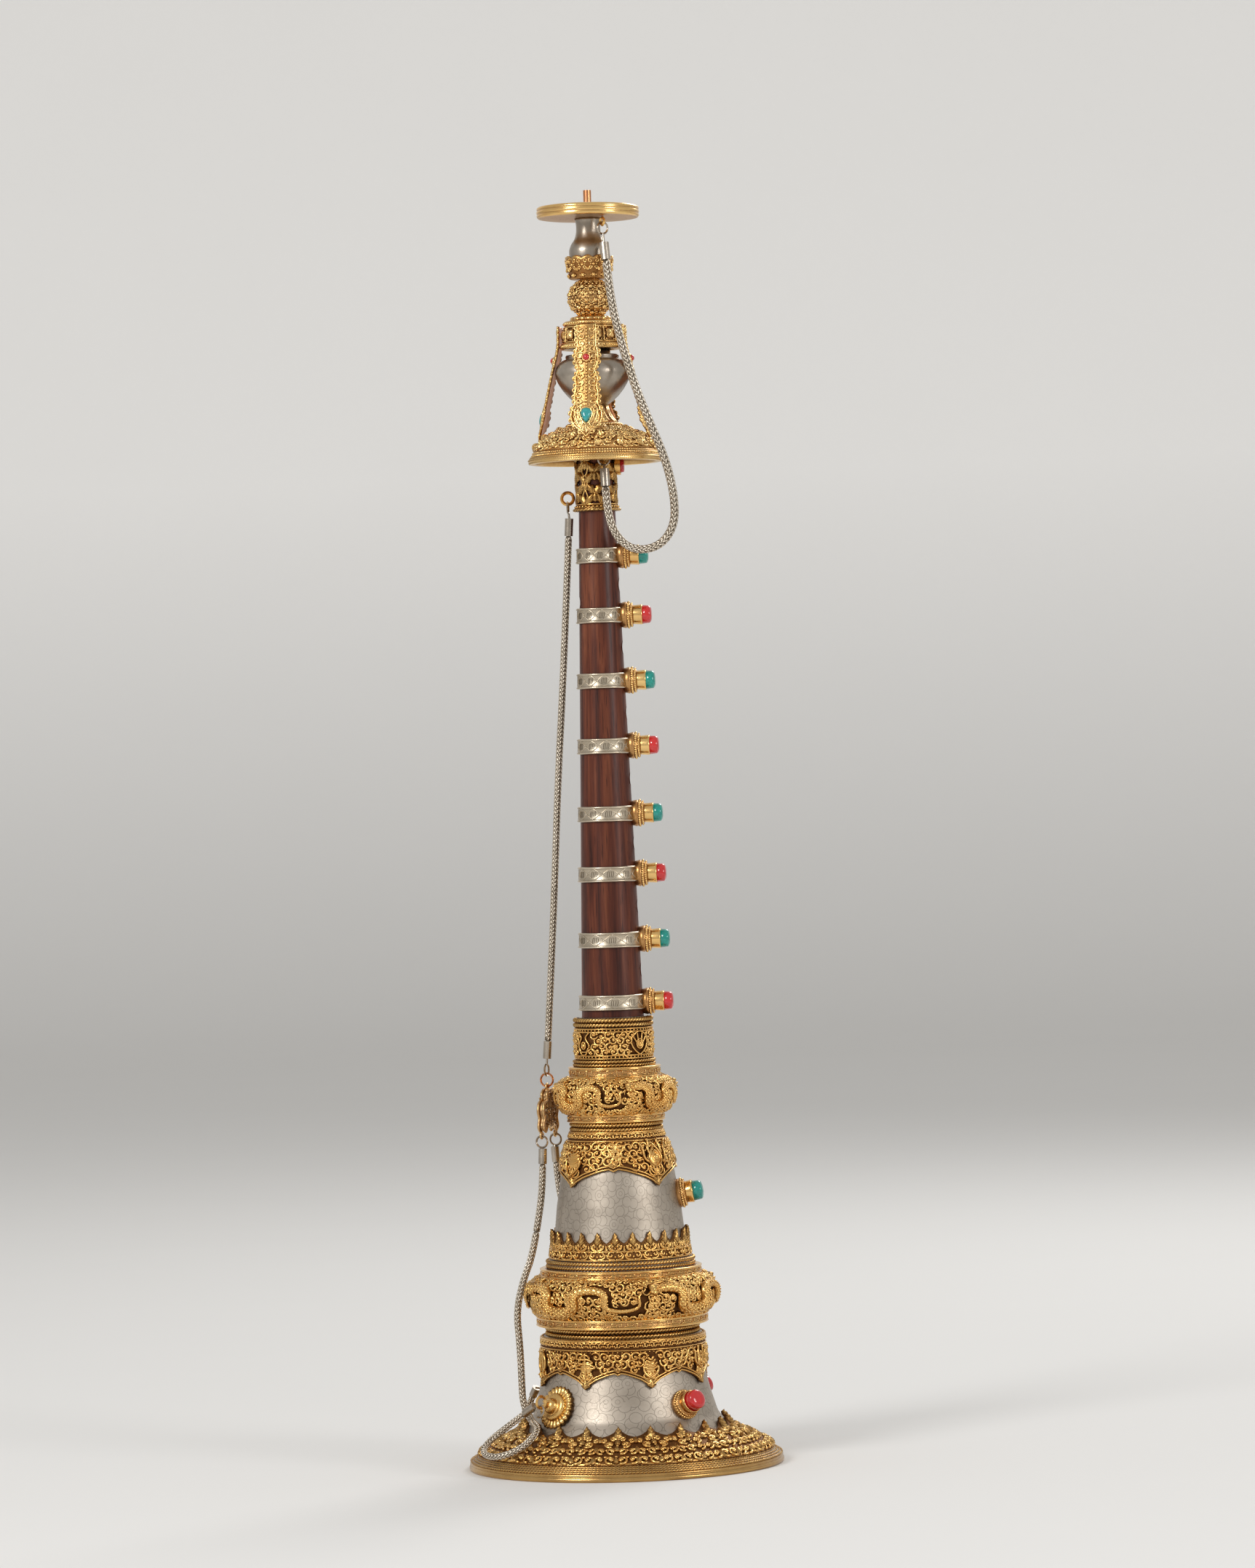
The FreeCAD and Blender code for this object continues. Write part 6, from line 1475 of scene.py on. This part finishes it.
crown = {
    "drum": [(9, 520.0), (14.2, 520.0), (14.6, 520.6), (14.6, 522.1), (14.2, 522.7), (13.0, 522.8),
             (12.2, 530.6),
             (12.5, 530.8), (12.9, 531.3), (12.9, 532.5), (12.5, 533.0), (9, 533.0)],
    # painted shade at each point of the drum's outline
    "drumPaintedShade": [0.5, 0.2, 0.3, 0.3, 0.4, 0.3, 0.3, 0.4, 0.3, 0.3, 0.2, 0.4],
    "ground": [(12.0, 522.9), (13.1, 522.9), (12.35, 530.5), (11.6, 530.5)],
    "cap": [(6, 533.0), (9.6, 533.05), (9.9, 533.9), (9.6, 534.9), (8.2, 535.2), (6.6, 535.6), (6.0, 536.1),
            (4.0, 536.1)],
    "blossoms": 12, "petals": 16,
}


def addCrown():
    # four-petalled blossoms between uprights, round a drum that narrows upwards
    wall, count = makeWall([(13.2, 522.7), (12.4, 530.7)], 3), crown["blossoms"]
    length = wall["length"]
    parts = [spun(crown["drum"], 96, crown["drumPaintedShade"]), beadRow(14.3, 521.35, 64, 0.72),
             beadRow(12.65, 531.9, 58, 0.62)]
    build("crownRings", parts, "staple", stapleLitGilt, "crown_drum")
    # painted shade: the ground behind the blossoms
    build("crownGround", [spun(crown["ground"], 96, 0.15)], "staple", stapleShadedRecess)
    seat = seats(wall, evenly(count, 15), length / 2, math.pi / 4, 0.2)
    upright = bends([[(0, 0.4), (0, 3), (0, 5), (0, length - 0.4)]])
    parts = [copies(blossom(4, 0.42, 0.38, 6), *seat, 3.1), wires(wall, upright, evenly(count), 0.4, 0.42)]
    parts += [grains(wall, evenly(count, 15 + side), y, 0.45, 0.3) for side in (-9, 9)
              for y in (1.3, length - 1.3)]
    parts.append(ringWires(wall, [[0.5], [length - 0.5]], 0.35, 0.34))
    build("crownBlossoms", parts, "staple", stapleLitGilt)


def addCap():
    # between the petals its wide rings draw in and its top drops, by 0.3 * (1 - |cos(petals * a / 2)|)
    a = evenly(192)
    between = 1 - np.abs(np.cos(crown["petals"] * a / 2))
    r, z = np.array(crown["cap"]).T[:, :, None]
    cut = 0.3 * between * ((r > 8) & (r < 10))
    rows = polar(r - cut * 1.6, a, z - cut * 0.6 * (z > 534))
    # painted shade between the petals, a little all over
    build("petalCap", [lidded(rows, 0.75 * between + 0.1)], "staple", polishedGilt, "crown_cap")


addCrown()
addCap()


# filigree ball, scalloped cup, vase and lip disc

finial = {
    # the cup: radius, height, share of the scallop and mark of painted shade
    "cup": [(9.2, 552.8, 0, 0.8), (9.25, 553.4, 0, 0.9), (9.9, 556.0, 0, 1), (10.6, 559.6, 0.25, 1),
            (11.1, 562.0, 0.7, 0.8), (11.2, 563.4, 1, 0.1), (10.5, 563.4, 1, 0.1), (9.9, 561.6, 0.7, 0.5),
            (9.2, 558.6, 0.1, 0.6), (6.0, 555.0, 0, 0.6)],
    "vase": [(8.0, 556.0), (8.6, 560.0), (9.2, 563.6), (9.25, 566.4), (8.2, 569.2), (6.6, 571.4),
             (5.8, 574.0),
             (5.6, 577.0), (5.8, 579.4), (6.3, 581.0)],
    "disc": [(2.2, 581.2), (6.0, 581.0), (22.6, 581.2), (23.3, 581.3), (23.8, 581.9), (23.95, 582.5),
             (23.5, 583.0), (23.95, 583.5), (24.0, 583.9), (23.95, 584.3), (23.5, 584.8), (23.9, 585.3),
             (23.8, 585.9), (23.3, 586.4), (22.6, 586.65), (21.4, 586.5), (20.3, 586.0), (10.0, 585.6),
             (4.5, 585.7), (2.2, 585.7)],
    # painted shade on the disc's underside and in the grooves between its ridges
    "discPaintedShade": [0.9, 0.8, 0.6, 0.1, 0, 0, 0.6, 0, 0, 0, 0.6, 0, 0, 0, 0, 0.1, 0.2, 0.3, 0.3, 0.3],
    "tilt": 0.6,
}


def addBall():
    # in section (10.2 cos t, 8 sin t / sin 1.13), under six rows of blossoms, curls and grains
    t = np.linspace(-1.13, 1.13, 30)
    wall = makeWall(np.stack([10.2 * np.cos(t), 544.0 + 8.0 * np.sin(t) / math.sin(1.13)], -1), 5)
    core = [(2, 536.1), *(profile(wall, 6) - [0.35, 0]), (4.6, 551.9), (4.6, 552.8), (2, 552.8)]
    # painted shade: the core under the ball's granules
    build("ballCore", [turned(core, 72)], "staple", stapleShadedRecess, "filigree_ball")
    length = wall["length"]
    parts = []
    for row in range(6):
        y = length * (row + 0.6) / 6.2
        count = max(7, round(fullTurn * float(radiusAt(wall, y)) / 4.1))
        shift = row % 2 * 180 / count
        spiral = curl(0.0, y, 1.5, 0.4, 1 if row % 2 else -1, 1.0)
        parts.append(copies(blossom(6, 0.25, 0.5, 4), *seats(wall, evenly(count, shift), y), 1.35))
        parts.append(wires(wall, spiral, evenly(count, shift + 180 / count), 0.15, 0.3, 0.35))
        parts.append(grains(wall, evenly(count * 2, shift + 90 / count), y + length / 12.4, 0.5, 0.05))
    build("ballGranules", parts, "staple", stapleLitGilt)


def addCup():
    # its rim drops by 1.4 * (1 - |cos 6a|) between the points; curls, blossoms and grains lie outside
    a = evenly(192)
    r, z, share, shade = np.array(finial["cup"]).T[:, :, None]
    scallop = 1.4 * (1 - np.abs(np.cos(6 * a)))
    wall = makeWall([(9.3, 552.8), (10.0, 556.2), (10.9, 562.4)], 5)
    curls = mirrored([curl(1.35, 8.0, 1.15, 1.2, 1, 1.1), curl(1.6, 4.9, 0.9, 4.0, -1, 1.0)])
    parts = [lidded(polar(r, a, z - share * scallop), shade, 0.5),
             wires(wall, curls, evenly(12), 0.3, 0.32, 0.4)]
    domed = blossom(6, 0.2, 0.6, 4)
    for along, size, shift in ((1.5, 1.25, 15), (4.2, 1.2, 0), (6.4, 1.0, 15)):
        parts.append(copies(domed, *seats(wall, evenly(12, shift), along, 0.0, 0.1), size))
        parts.append(grains(wall, evenly(24, 7.5), along, 0.42, 0.2))
    build("scallopedCup", parts, "staple", stapleLitGilt, "filigree_cup")


def addVaseAndDisc():
    # a plain vase, and a ridged disc that tilts by z - x sin(tilt)
    outline = [(3.0, 556.0), *profile(makeWall(finial["vase"], 15), 6), (3.0, 581.0)]
    build("silverNeck", [turned(outline, 72)], "staple", dullSilver, "silver_vase")
    spots, faces, marks = spun(finial["disc"], 160, finial["discPaintedShade"])
    drop = math.sin(math.radians(finial["tilt"])) * spots[..., 0]
    spots[..., 2] = np.clip(spots[..., 2] - drop, 581.0, 586.7)
    build("ridgedDisc", [(spots, faces, marks)], "staple", polishedGilt, "lip_disc")


addBall()
addCup()
addVaseAndDisc()
print("crown and finial ready")


# openwork straps of scrolls and grains, with a copper back

strap = {
    "turns": np.radians([-94.6, -4.6, 85.4, 175.4]), "half": 4.6,
    # shares of the way from tip foot to tip, and of half the width there
    "share": [0, 0.20, 0.25, 0.35, 0.41, 0.47, 0.55, 0.64, 0.70, 0.77, 0.86, 0.92, 0.96, 1.0],
    "width": [1.0, 0.98, 1.22, 1.22, 0.72, 1.28, 1.05, 1.34, 1.10, 1.62, 1.62, 1.05, 0.42, 0.04],
    "blossoms": (0.12, 0.22, 0.47, 0.55, 0.64, 0.70), "coral": 0.30, "turquoise": 0.81,
    "bezel": [(0.4, 0.2), (2.0, 0.2), (2.1, 0.9), (1.9, 1.5), (1.6, 1.45), (1.5, 1.1), (0.4, 1.1)],
}


def tear(a):
    # a drop's outline: (sin a (1 + 0.4 cos a), 1.06 cos a - 0.1)
    return np.stack([np.sin(a) * (1 + 0.40 * np.cos(a)), np.cos(a) * 1.06 - 0.10, 0 * a], -1)


def strapStone(rings, sides, power, tall, size, draw=0.0):
    # a disc domed by tall * (1 - p^power)^0.6, drawn to a drop by x * (1 + draw * y)
    points, faces = cushion(rings, sides, lambda p, a: (1, tall * np.clip(1 - p ** power, 0, 1) ** 0.6))[:2]
    points[:, 0] *= 1 + draw * points[:, 1]
    return points * [*size, 1], faces, 0.0


def addStraps():
    # sheets, borders, grains, scrolls, blossoms and bezels of all four straps at once, then their stones
    wall, turns = strapWall, strap["turns"]
    length, t = wall["length"], np.linspace(0, 1, 61)
    width = np.interp(t, strap["share"], strap["width"]) * strap["half"]
    width = np.convolve(np.pad(width, 2, "edge"), np.ones(5) / 5, "valid")
    y = length * (1 - t[:, None])
    across = (width[:, None] - 0.35) * np.linspace(-1, 1, 7)

    def sheet(inset, low, high):
        # the whole outline between two heights off the wall
        angle = turns[:, None, None] + across * inset / radiusAt(wall, y)
        top, under = (onWall(wall, angle[:, ::-1], y[::-1], lift)[0] for lift in (high, low))
        # painted shade: the sheet's top marked 0.55, its back 0.1
        return slab(top, under, 0.55, 0.1)

    def edgeAt(share):
        # half the width at a share of the length, and how far up the wall it is
        return np.interp(share, t, width), length * (1 - share)

    def bothSides(share, part, less):
        # angles of a place on either side of every strap, at a part of its half width less some mm
        reach, place = edgeAt(share)
        away = (reach * part - less) / radiusAt(wall, place)
        return np.concatenate([turns[:, None] - away, turns[:, None] + away]), place

    build("strapBacks", [sheet(0.97, 0.05, 0.42)], "staple", copperFinish, "crown_straps")
    border = mirrored([np.stack([-np.maximum(width - 0.5, 0.05), y[:, 0]], -1)])
    parts = [sheet(1.0, 0.42, 0.62), wires(wall, border, turns, 0.8, 0.42, 0.6, 6)]
    parts.append(grains(wall, *bothSides(np.linspace(0.02, 0.97, 40), 1, 0.1), 0.62, 0.6))
    parts.append(wires(wall, border * [0.8, 1], turns, 0.9, 0.2, 0.3, 5))
    # middle row of grains, broken at the two stones
    spots = np.linspace(0.03, 0.93, 34)
    spots = spots[(np.abs(spots - strap["coral"]) > 0.055) & (np.abs(spots - strap["turquoise"]) > 0.08)]
    parts.append(grains(wall, turns[:, None], length * (1 - spots), 0.7, 0.75))
    frill, scrolls = [], []
    for k, (reach, place) in enumerate(zip(*edgeAt(np.linspace(0.03, 0.95, 19)))):
        frill.append(curl(reach - 0.1, place, 1.35, 2.2 if k % 2 else 4.1, -1 if k % 2 else 1, 0.85))
    for k, (reach, place) in enumerate(zip(*edgeAt(np.linspace(0.05, 0.93, 16)))):
        size = max(0.6, (reach - 1.4) * 0.5)
        scrolls.append(curl(0.9 + size, place, size, 0.6 + k * 2.1, 1 if k % 2 else -1, 1.1, 18))
    parts.append(wires(wall, mirrored(frill), turns, 0.85, 0.42, 0.6))
    parts.append(wires(wall, mirrored(scrolls), turns, 0.9, 0.40, 0.62))
    around, place = bothSides(np.array(strap["blossoms"]), 0.62, 0)
    parts.append(copies(blossom(4, 0.3, 0.5, 4), *seats(wall, around, place, 0.0, 0.6)))
    # lotus tip
    tip = length * 0.015
    parts += [leaves(wall, turns, tip + 5.6, -5.2, 1.5, side * 0.42, 0.6, 0.7, 2) for side in (-1, 1)]
    parts.append(leaves(wall, turns, tip + 6.0, -6.0, 1.5, 0.0, 0.8, 0.8, 3))
    # petal bezel of the coral
    seat = seats(wall, turns, length * (1 - strap["coral"]), 0.0, 0.5)
    parts += [copies(blossom(8, 0.25, 0.5, 5), *seat, 2.9), copies(turned(strap["bezel"], 24), *seat)]
    # teardrop bezel with radial strokes round the turquoise
    seat = seats(wall, turns, length * (1 - strap["turquoise"]), 0.0, 0.7)
    for size, thick in ((2.75, 0.44), (3.6, 0.30), (5.0, 0.34)):
        ring = tear(evenly(40))[::-1] * [size, size * 1.36, 1]
        parts.append(stroke(ring, seat, thick, thick * 1.6, 6, True))
    for foot in tear(evenly(22)) * [3.6, 4.9, 1]:
        parts.append(stroke(foot * [(1, 1, 1), (1.16, 1.1, 1), (1.32, 1.2, 1)], seat, 0.17, 0.22, 4))
    build("strapScrolls", parts, "staple", stapleLitGilt)
    coral, drop = strapStone(7, 24, 2.4, 1.6, (1.65, 1.65)), strapStone(9, 40, 2.8, 1.9, (2.45, 3.55), 0.42)
    seat = seats(wall, turns, length * (1 - strap["coral"]), 0.0, 1.5)
    build("strapCorals", [copies(coral, *seat)], "staple", coralFinish, "strap_corals")
    seat = seats(wall, turns, length * (1 - strap["turquoise"]), 0.0, 0.75)
    build("strapTurquoises", [copies(drop, *seat)], "staple", turquoiseFinish, "strap_turquoises")


addStraps()
print("straps ready")


# pendant: a pierced cloud plate with scrolls on both faces, a knob and its loops

pendant = {
    "centre": (-32.45, 7.64, 165.4), "facing": 164.0, "half": 9.6, "tall": 20.0, "thick": 4.0,
    # half the outline: shares of half the width, and of the height from the top
    "edge": [(0.0, 0.92), (0.44, 0.82), (0.72, 1.0), (1.0, 0.86), (0.80, 0.66), (1.0, 0.50), (0.86, 0.30),
             (0.40, 0.22), (0.46, 0.10), (0.20, 0.0)],
    "curls": [(4.8, 2.6, 2.7, 3.6, -1, 1.3), (4.9, -3.6, 2.9, 1.4, 1, 1.3), (1.9, 6.2, 1.5, 5.2, 1, 1.2),
              (1.8, -0.5, 1.7, 2.2, -1, 1.2), (1.6, -5.0, 1.3, 0.6, 1, 1.1), (7.2, -0.4, 1.2, 3.0, 1, 1.1)],
    "stems": [[(0, 8.6), (1.8, 4.0), (0.2, 2.0), (2.4, 0.6)],
              [(0, -7.4), (1.2, -4.0), (0.4, -2.6), (2.2, -1.4)],
              [(1.2, 3.8), (3.2, 5.0), (6.4, 5.2), (7.4, 3.2)],
              [(2.6, -6.4), (4.4, -7.6), (6.4, -7.6), (6.6, -6.0)]],
    "grains": [(4.8, 2.6), (4.9, -3.6), (1.9, 6.2), (1.8, -0.5), (1.6, -5.0), (7.2, -0.4), (3.6, 0.2),
               (6.2, 6.0)],
    "loops": ((0, 11.2), (-9.0, -11.0), (9.0, -11.0)),
    "knob": [(0.2, -1.5), (0.9, -1.4), (1.5, -0.7), (1.6, 0), (1.5, 0.7), (0.9, 1.4), (0.2, 1.5)],
}
facing = math.radians(pendant["facing"])
plateOut, plateUp = np.array([math.cos(facing), math.sin(facing), 0.0]), np.array([0, 0, 1.0])
plateSide = np.array([math.sin(facing), -math.cos(facing), 0.0])


def onPlate(curves, lift):
    # flat curves (x sideways, y up from the middle) raised off the plate's middle plane
    curves = np.asarray(curves, float)
    curves = curves[None] if curves.ndim == 2 else curves
    flat = curves[..., :1] * plateSide + curves[..., 1:] * plateUp
    return np.array(pendant["centre"]) + flat + lift * plateOut


def plateWires(curves, lift, *shape):
    # the same curves drawn as tubes
    path = onPlate(curves, lift)
    return tube(path, np.broadcast_to(plateOut, path.shape), *shape)


def addPendant():
    # the outline, eased three times by (1, 2, 1) / 4, as two rims with a web between, scrolls on both faces
    half, tall, thick = pendant["half"], pendant["tall"], pendant["thick"]
    edge = np.array(pendant["edge"]) * [half, -tall] + [0, tall / 2]
    loop = np.concatenate([edge[::-1], (edge * [-1, 1])[1:], edge[-1:]])
    step = np.linspace(0, len(loop) - 1, 121)[:-1]
    outline = np.stack([np.interp(step, np.arange(len(loop)), loop[:, k]) for k in (0, 1)], -1)
    for turn in range(3):
        outline = (np.roll(outline, 1, 0) + outline * 2 + np.roll(outline, -1, 0)) / 4
    # web between the two faces, open in the middle
    web = thick / 2 - 0.6
    rings = (0.97, -web), (0.97, web), ((0.86, 0.88), web), ((0.86, 0.88), -web)
    rim = np.concatenate([onPlate(outline * inset, lift) for inset, lift in rings])
    # painted shade: the web between the two faces in half shade
    parts = [(rim, [stripFaces(4, len(outline), True, True)], 0.5)]
    curls = [curl(*facts, 22) for facts in pendant["curls"]]
    scrolls = mirrored(np.concatenate([curls, bends(pendant["stems"], 22)]))
    for way in (-1, 1):
        lift = way * (thick / 2 - 0.7)
        parts.append(plateWires(outline, lift, 0.6, 0.7, 6, True, 0.15))
        parts.append(plateWires(outline * [0.84, 0.86], lift, 0.3, 0.5, 5, True, 0.2))
        lift = way * (thick / 2 - 0.75)
        parts.append(plateWires(scrolls, lift, 0.42, 0.6, 5))
        spots = onPlate(mirrored(pendant["grains"]), lift)
        parts.append(copies(grain, spots, plateSide, plateUp, plateOut * way, 0.62))
    t = evenly(24)
    for x, y in pendant["loops"]:
        ring = np.stack([x + 1.4 * np.cos(t), y + 1.4 * np.sin(t)], -1)
        parts.append(plateWires(ring, 0.0, 0.58, 0.58, 6, True, 0.1))
    top = onPlate([[0.0, tall / 2 - 0.9]], 0.0)
    parts.append(copies(turned(pendant["knob"], 20), top, plateSide, np.cross(plateUp, plateSide), plateUp))
    build("piercedPendant", parts, "pendant", wornGilt, "pendant")


addPendant()
print("pendant ready")


# chains: foxtail links along a spline through each route's own points, in metres

routes = {
    "upper": [(-0.01365, 0.0002, 0.4334), (-0.01778, 0.00201, 0.37505), (-0.0228, 0.00362, 0.316),
              (-0.02663, 0.00573, 0.25685), (-0.03135, 0.00724, 0.198)],
    "frontDrop": [(-0.03493, -0.00101, 0.14105), (-0.03529, -0.00176, 0.13095),
                  (-0.03664, -0.00392, 0.11975), (-0.03839, -0.00622, 0.10998)],
    "frontFall": [(-0.03839, -0.00622, 0.10998), (-0.04036, -0.00882, 0.09896),
                  (-0.04463, -0.01442, 0.08798), (-0.0478, -0.01838, 0.07403),
                  (-0.04658, -0.01863, 0.05797),
                  (-0.04636, -0.01838, 0.04351), (-0.04603, -0.01899, 0.03064),
                  (-0.04159, -0.02524, 0.02344), (-0.03677, -0.03879, 0.02148),
                  (-0.04394, -0.04945, 0.01393),
                  (-0.05591, -0.04835, 0.00965), (-0.06357, -0.0396, 0.01055),
                  (-0.06252, -0.02895, 0.01465), (-0.05309, -0.02366, 0.02138),
                  (-0.04426, -0.02986, 0.0279)],
    "rearDrop": [(-0.02997, 0.01629, 0.14105), (-0.02947, 0.01748, 0.13095), (-0.02784, 0.02057, 0.11948),
                 (-0.02677, 0.02464, 0.10986)],
    "rearFall": [(-0.02677, 0.02464, 0.10986), (-0.02557, 0.02924, 0.09902), (-0.02236, 0.04062, 0.09059),
                 (-0.01885, 0.0486, 0.07605), (-0.01815, 0.04958, 0.05696),
                 (-0.01836, 0.04976, 0.03896), (-0.01879, 0.05244, 0.0245), (-0.02462, 0.06042, 0.01545),
                 (-0.03618, 0.06141, 0.01177), (-0.04701, 0.05359, 0.01241),
                 (-0.05139, 0.04237, 0.01938), (-0.04616, 0.03716, 0.0294)],
    "safety": [(0.00876, -0.01285, 0.5604), (0.01039, -0.01536, 0.54197), (0.01479, -0.01778, 0.52197),
               (0.02022, -0.02078, 0.50304), (0.02702, -0.0228, 0.48453),
               (0.03385, -0.02061, 0.467), (0.0372, -0.01721, 0.45105), (0.03721, -0.01538, 0.43644),
               (0.02992, -0.01376, 0.42662), (0.01766, -0.01382, 0.42479),
               (0.00877, -0.0148, 0.43258), (0.00558, -0.01438, 0.44557), (0.00524, -0.01343, 0.4554)],
}


def splineThrough(name, points):
    # a NURBS curve of order 3 that starts and ends on its first and last points
    curve = bpy.data.curves.new(name, "CURVE")
    curve.dimensions = "3D"
    curve.resolution_u = 24
    spline = curve.splines.new("NURBS")
    spline.points.add(len(points) - 1)
    for spot, place in zip(spline.points, points):
        spot.co = (*place, 1.0)
    spline.order_u = 3
    spline.use_endpoint_u = True
    return curve


def readBack(curve):
    # the curve's own points, read off a mesh made from it
    holder = bpy.data.objects.new(curve.name, curve)
    scene.collection.objects.link(holder)
    mesh = bpy.data.meshes.new_from_object(holder)
    spots = np.empty(len(mesh.vertices) * 3)
    mesh.vertices.foreach_get("co", spots)
    bpy.data.objects.remove(holder)
    bpy.data.meshes.remove(mesh)
    return spots.reshape(-1, 3)


def addChain(name, route, diameter, pitch, node):
    # foxtail links: on each of four faces a row of V strokes, z = pitch * (1.1 |u|^1.2 - 0.5), every other
    # face half a pitch on, over a core darkened by painted shade
    spots = readBack(splineThrough(name + "Line", routes[route])) / mm
    run = np.append(0, np.cumsum(np.linalg.norm(np.diff(spots, axis=0), axis=1)))
    length, half, wire = run[-1], diameter / 2 * 0.94, diameter * 0.105
    upright, u = np.array([0.31, 0.95, 0.05]), np.linspace(-1, 1, 5)
    flat = np.stack([0.68 * u, 0 * u, 0.88 - 0.16 * u ** 2], -1) * (half - wire)
    flat[:, 1] = pitch * (1.1 * np.abs(u) ** 1.2 - 0.5)

    def at(s):
        # the place at a distance along the line
        return np.stack([np.interp(s, run, spots[:, k]) for k in range(3)], -1)

    parts = []
    for face in range(4):
        place = np.arange(pitch * (0.5 + face % 2 * 0.5), length - pitch * 0.4, pitch)
        along = unit(at(place + 0.6) - at(place - 0.6))
        side = unit(np.cross(along, upright))
        other = np.cross(along, side)
        c, s = math.cos(face * math.pi / 2 + 0.5), math.sin(face * math.pi / 2 + 0.5)
        seat = at(place), other * c - side * s, along, side * c + other * s
        parts.append(stroke(flat, seat, wire, wire * 1.1, 5))
    core = at(np.linspace(0, length, max(12, round(length / 3))))[None]
    # painted shade: the core inside the links
    parts.append(tube(core, np.broadcast_to(upright, core.shape), half * 0.6, half * 0.6, 8, False, 0.7))
    points, faces, marks = joined(parts)
    made = newMesh(name, points * mm, faces, marks)
    made.data.materials.append(chainSilver)
    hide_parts(node)
    return made, length * mm, at(np.linspace(0, length, max(60, round(length / 2)))) * mm


chains = {
    "upper": {"name": "carryChainUpper", "node": "chain_upper", "ride": "chanter", "diameter": 3.6,
              "with": ["chain_upper_ends"]},
    "frontDrop": {"name": "carryChainFrontDrop", "node": "chain_front_drop", "blend": ("pendant", "chanter"),
                  "diameter": 3.6,
                  "with": ["chain_low_tops"]},
    "frontFall": {"name": "carryChainFrontFall", "node": "chain_front_fall", "blend": ("chanter", "bell"),
                  "diameter": 3.6,
                  "with": ["chain_boss_ends"]},
    "rearDrop": {"name": "carryChainRearDrop", "node": "chain_rear_drop", "blend": ("pendant", "chanter"),
                 "diameter": 3.6,
                 "with": ["chain_low_tops"]},
    "rearFall": {"name": "carryChainRearFall", "node": "chain_rear_fall", "blend": ("chanter", "bell"),
                 "diameter": 3.6,
                 "with": ["chain_boss_ends"]},
    "safety": {"name": "safetyChain", "node": "chain_safety", "blend": ("staple", "chanter"), "diameter": 4.3,
               "with": ["safety_cap", "safety_sleeve"]},
}
for route, facts in chains.items():
    made, length, line = addChain(facts["name"], route, facts["diameter"], 1.9 * facts["diameter"] / 3.6,
                                  facts["node"])
    if "ride" in facts:
        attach(made, facts["ride"])
    else:
        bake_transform(made)
    print(facts["name"], "length", round(length * 1000, 1), "mm")
print("chains ready")


# finishes of the CAD pieces that keep their own shape

for names, finish in (
    (("socket_tube", "bell_neck", "chain_upper_ends", "chain_low_tops", "chain_boss_ends", "safety_cap",
      "safety_sleeve"), dullSilver),
    (("copper_ring", "staple_tube"), copperFinish),
    (("boss_eyes", "disc_eye", "ferrule_mounts"), giltFinish), (("chanter_pipe",), rosewoodFinish),
    (("tenon_lapping",), threadFinish()),
):
    for name in names:
        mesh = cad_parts[name].data
        mesh.materials.clear()
        mesh.materials.append(finish)
print("kept pieces dressed")
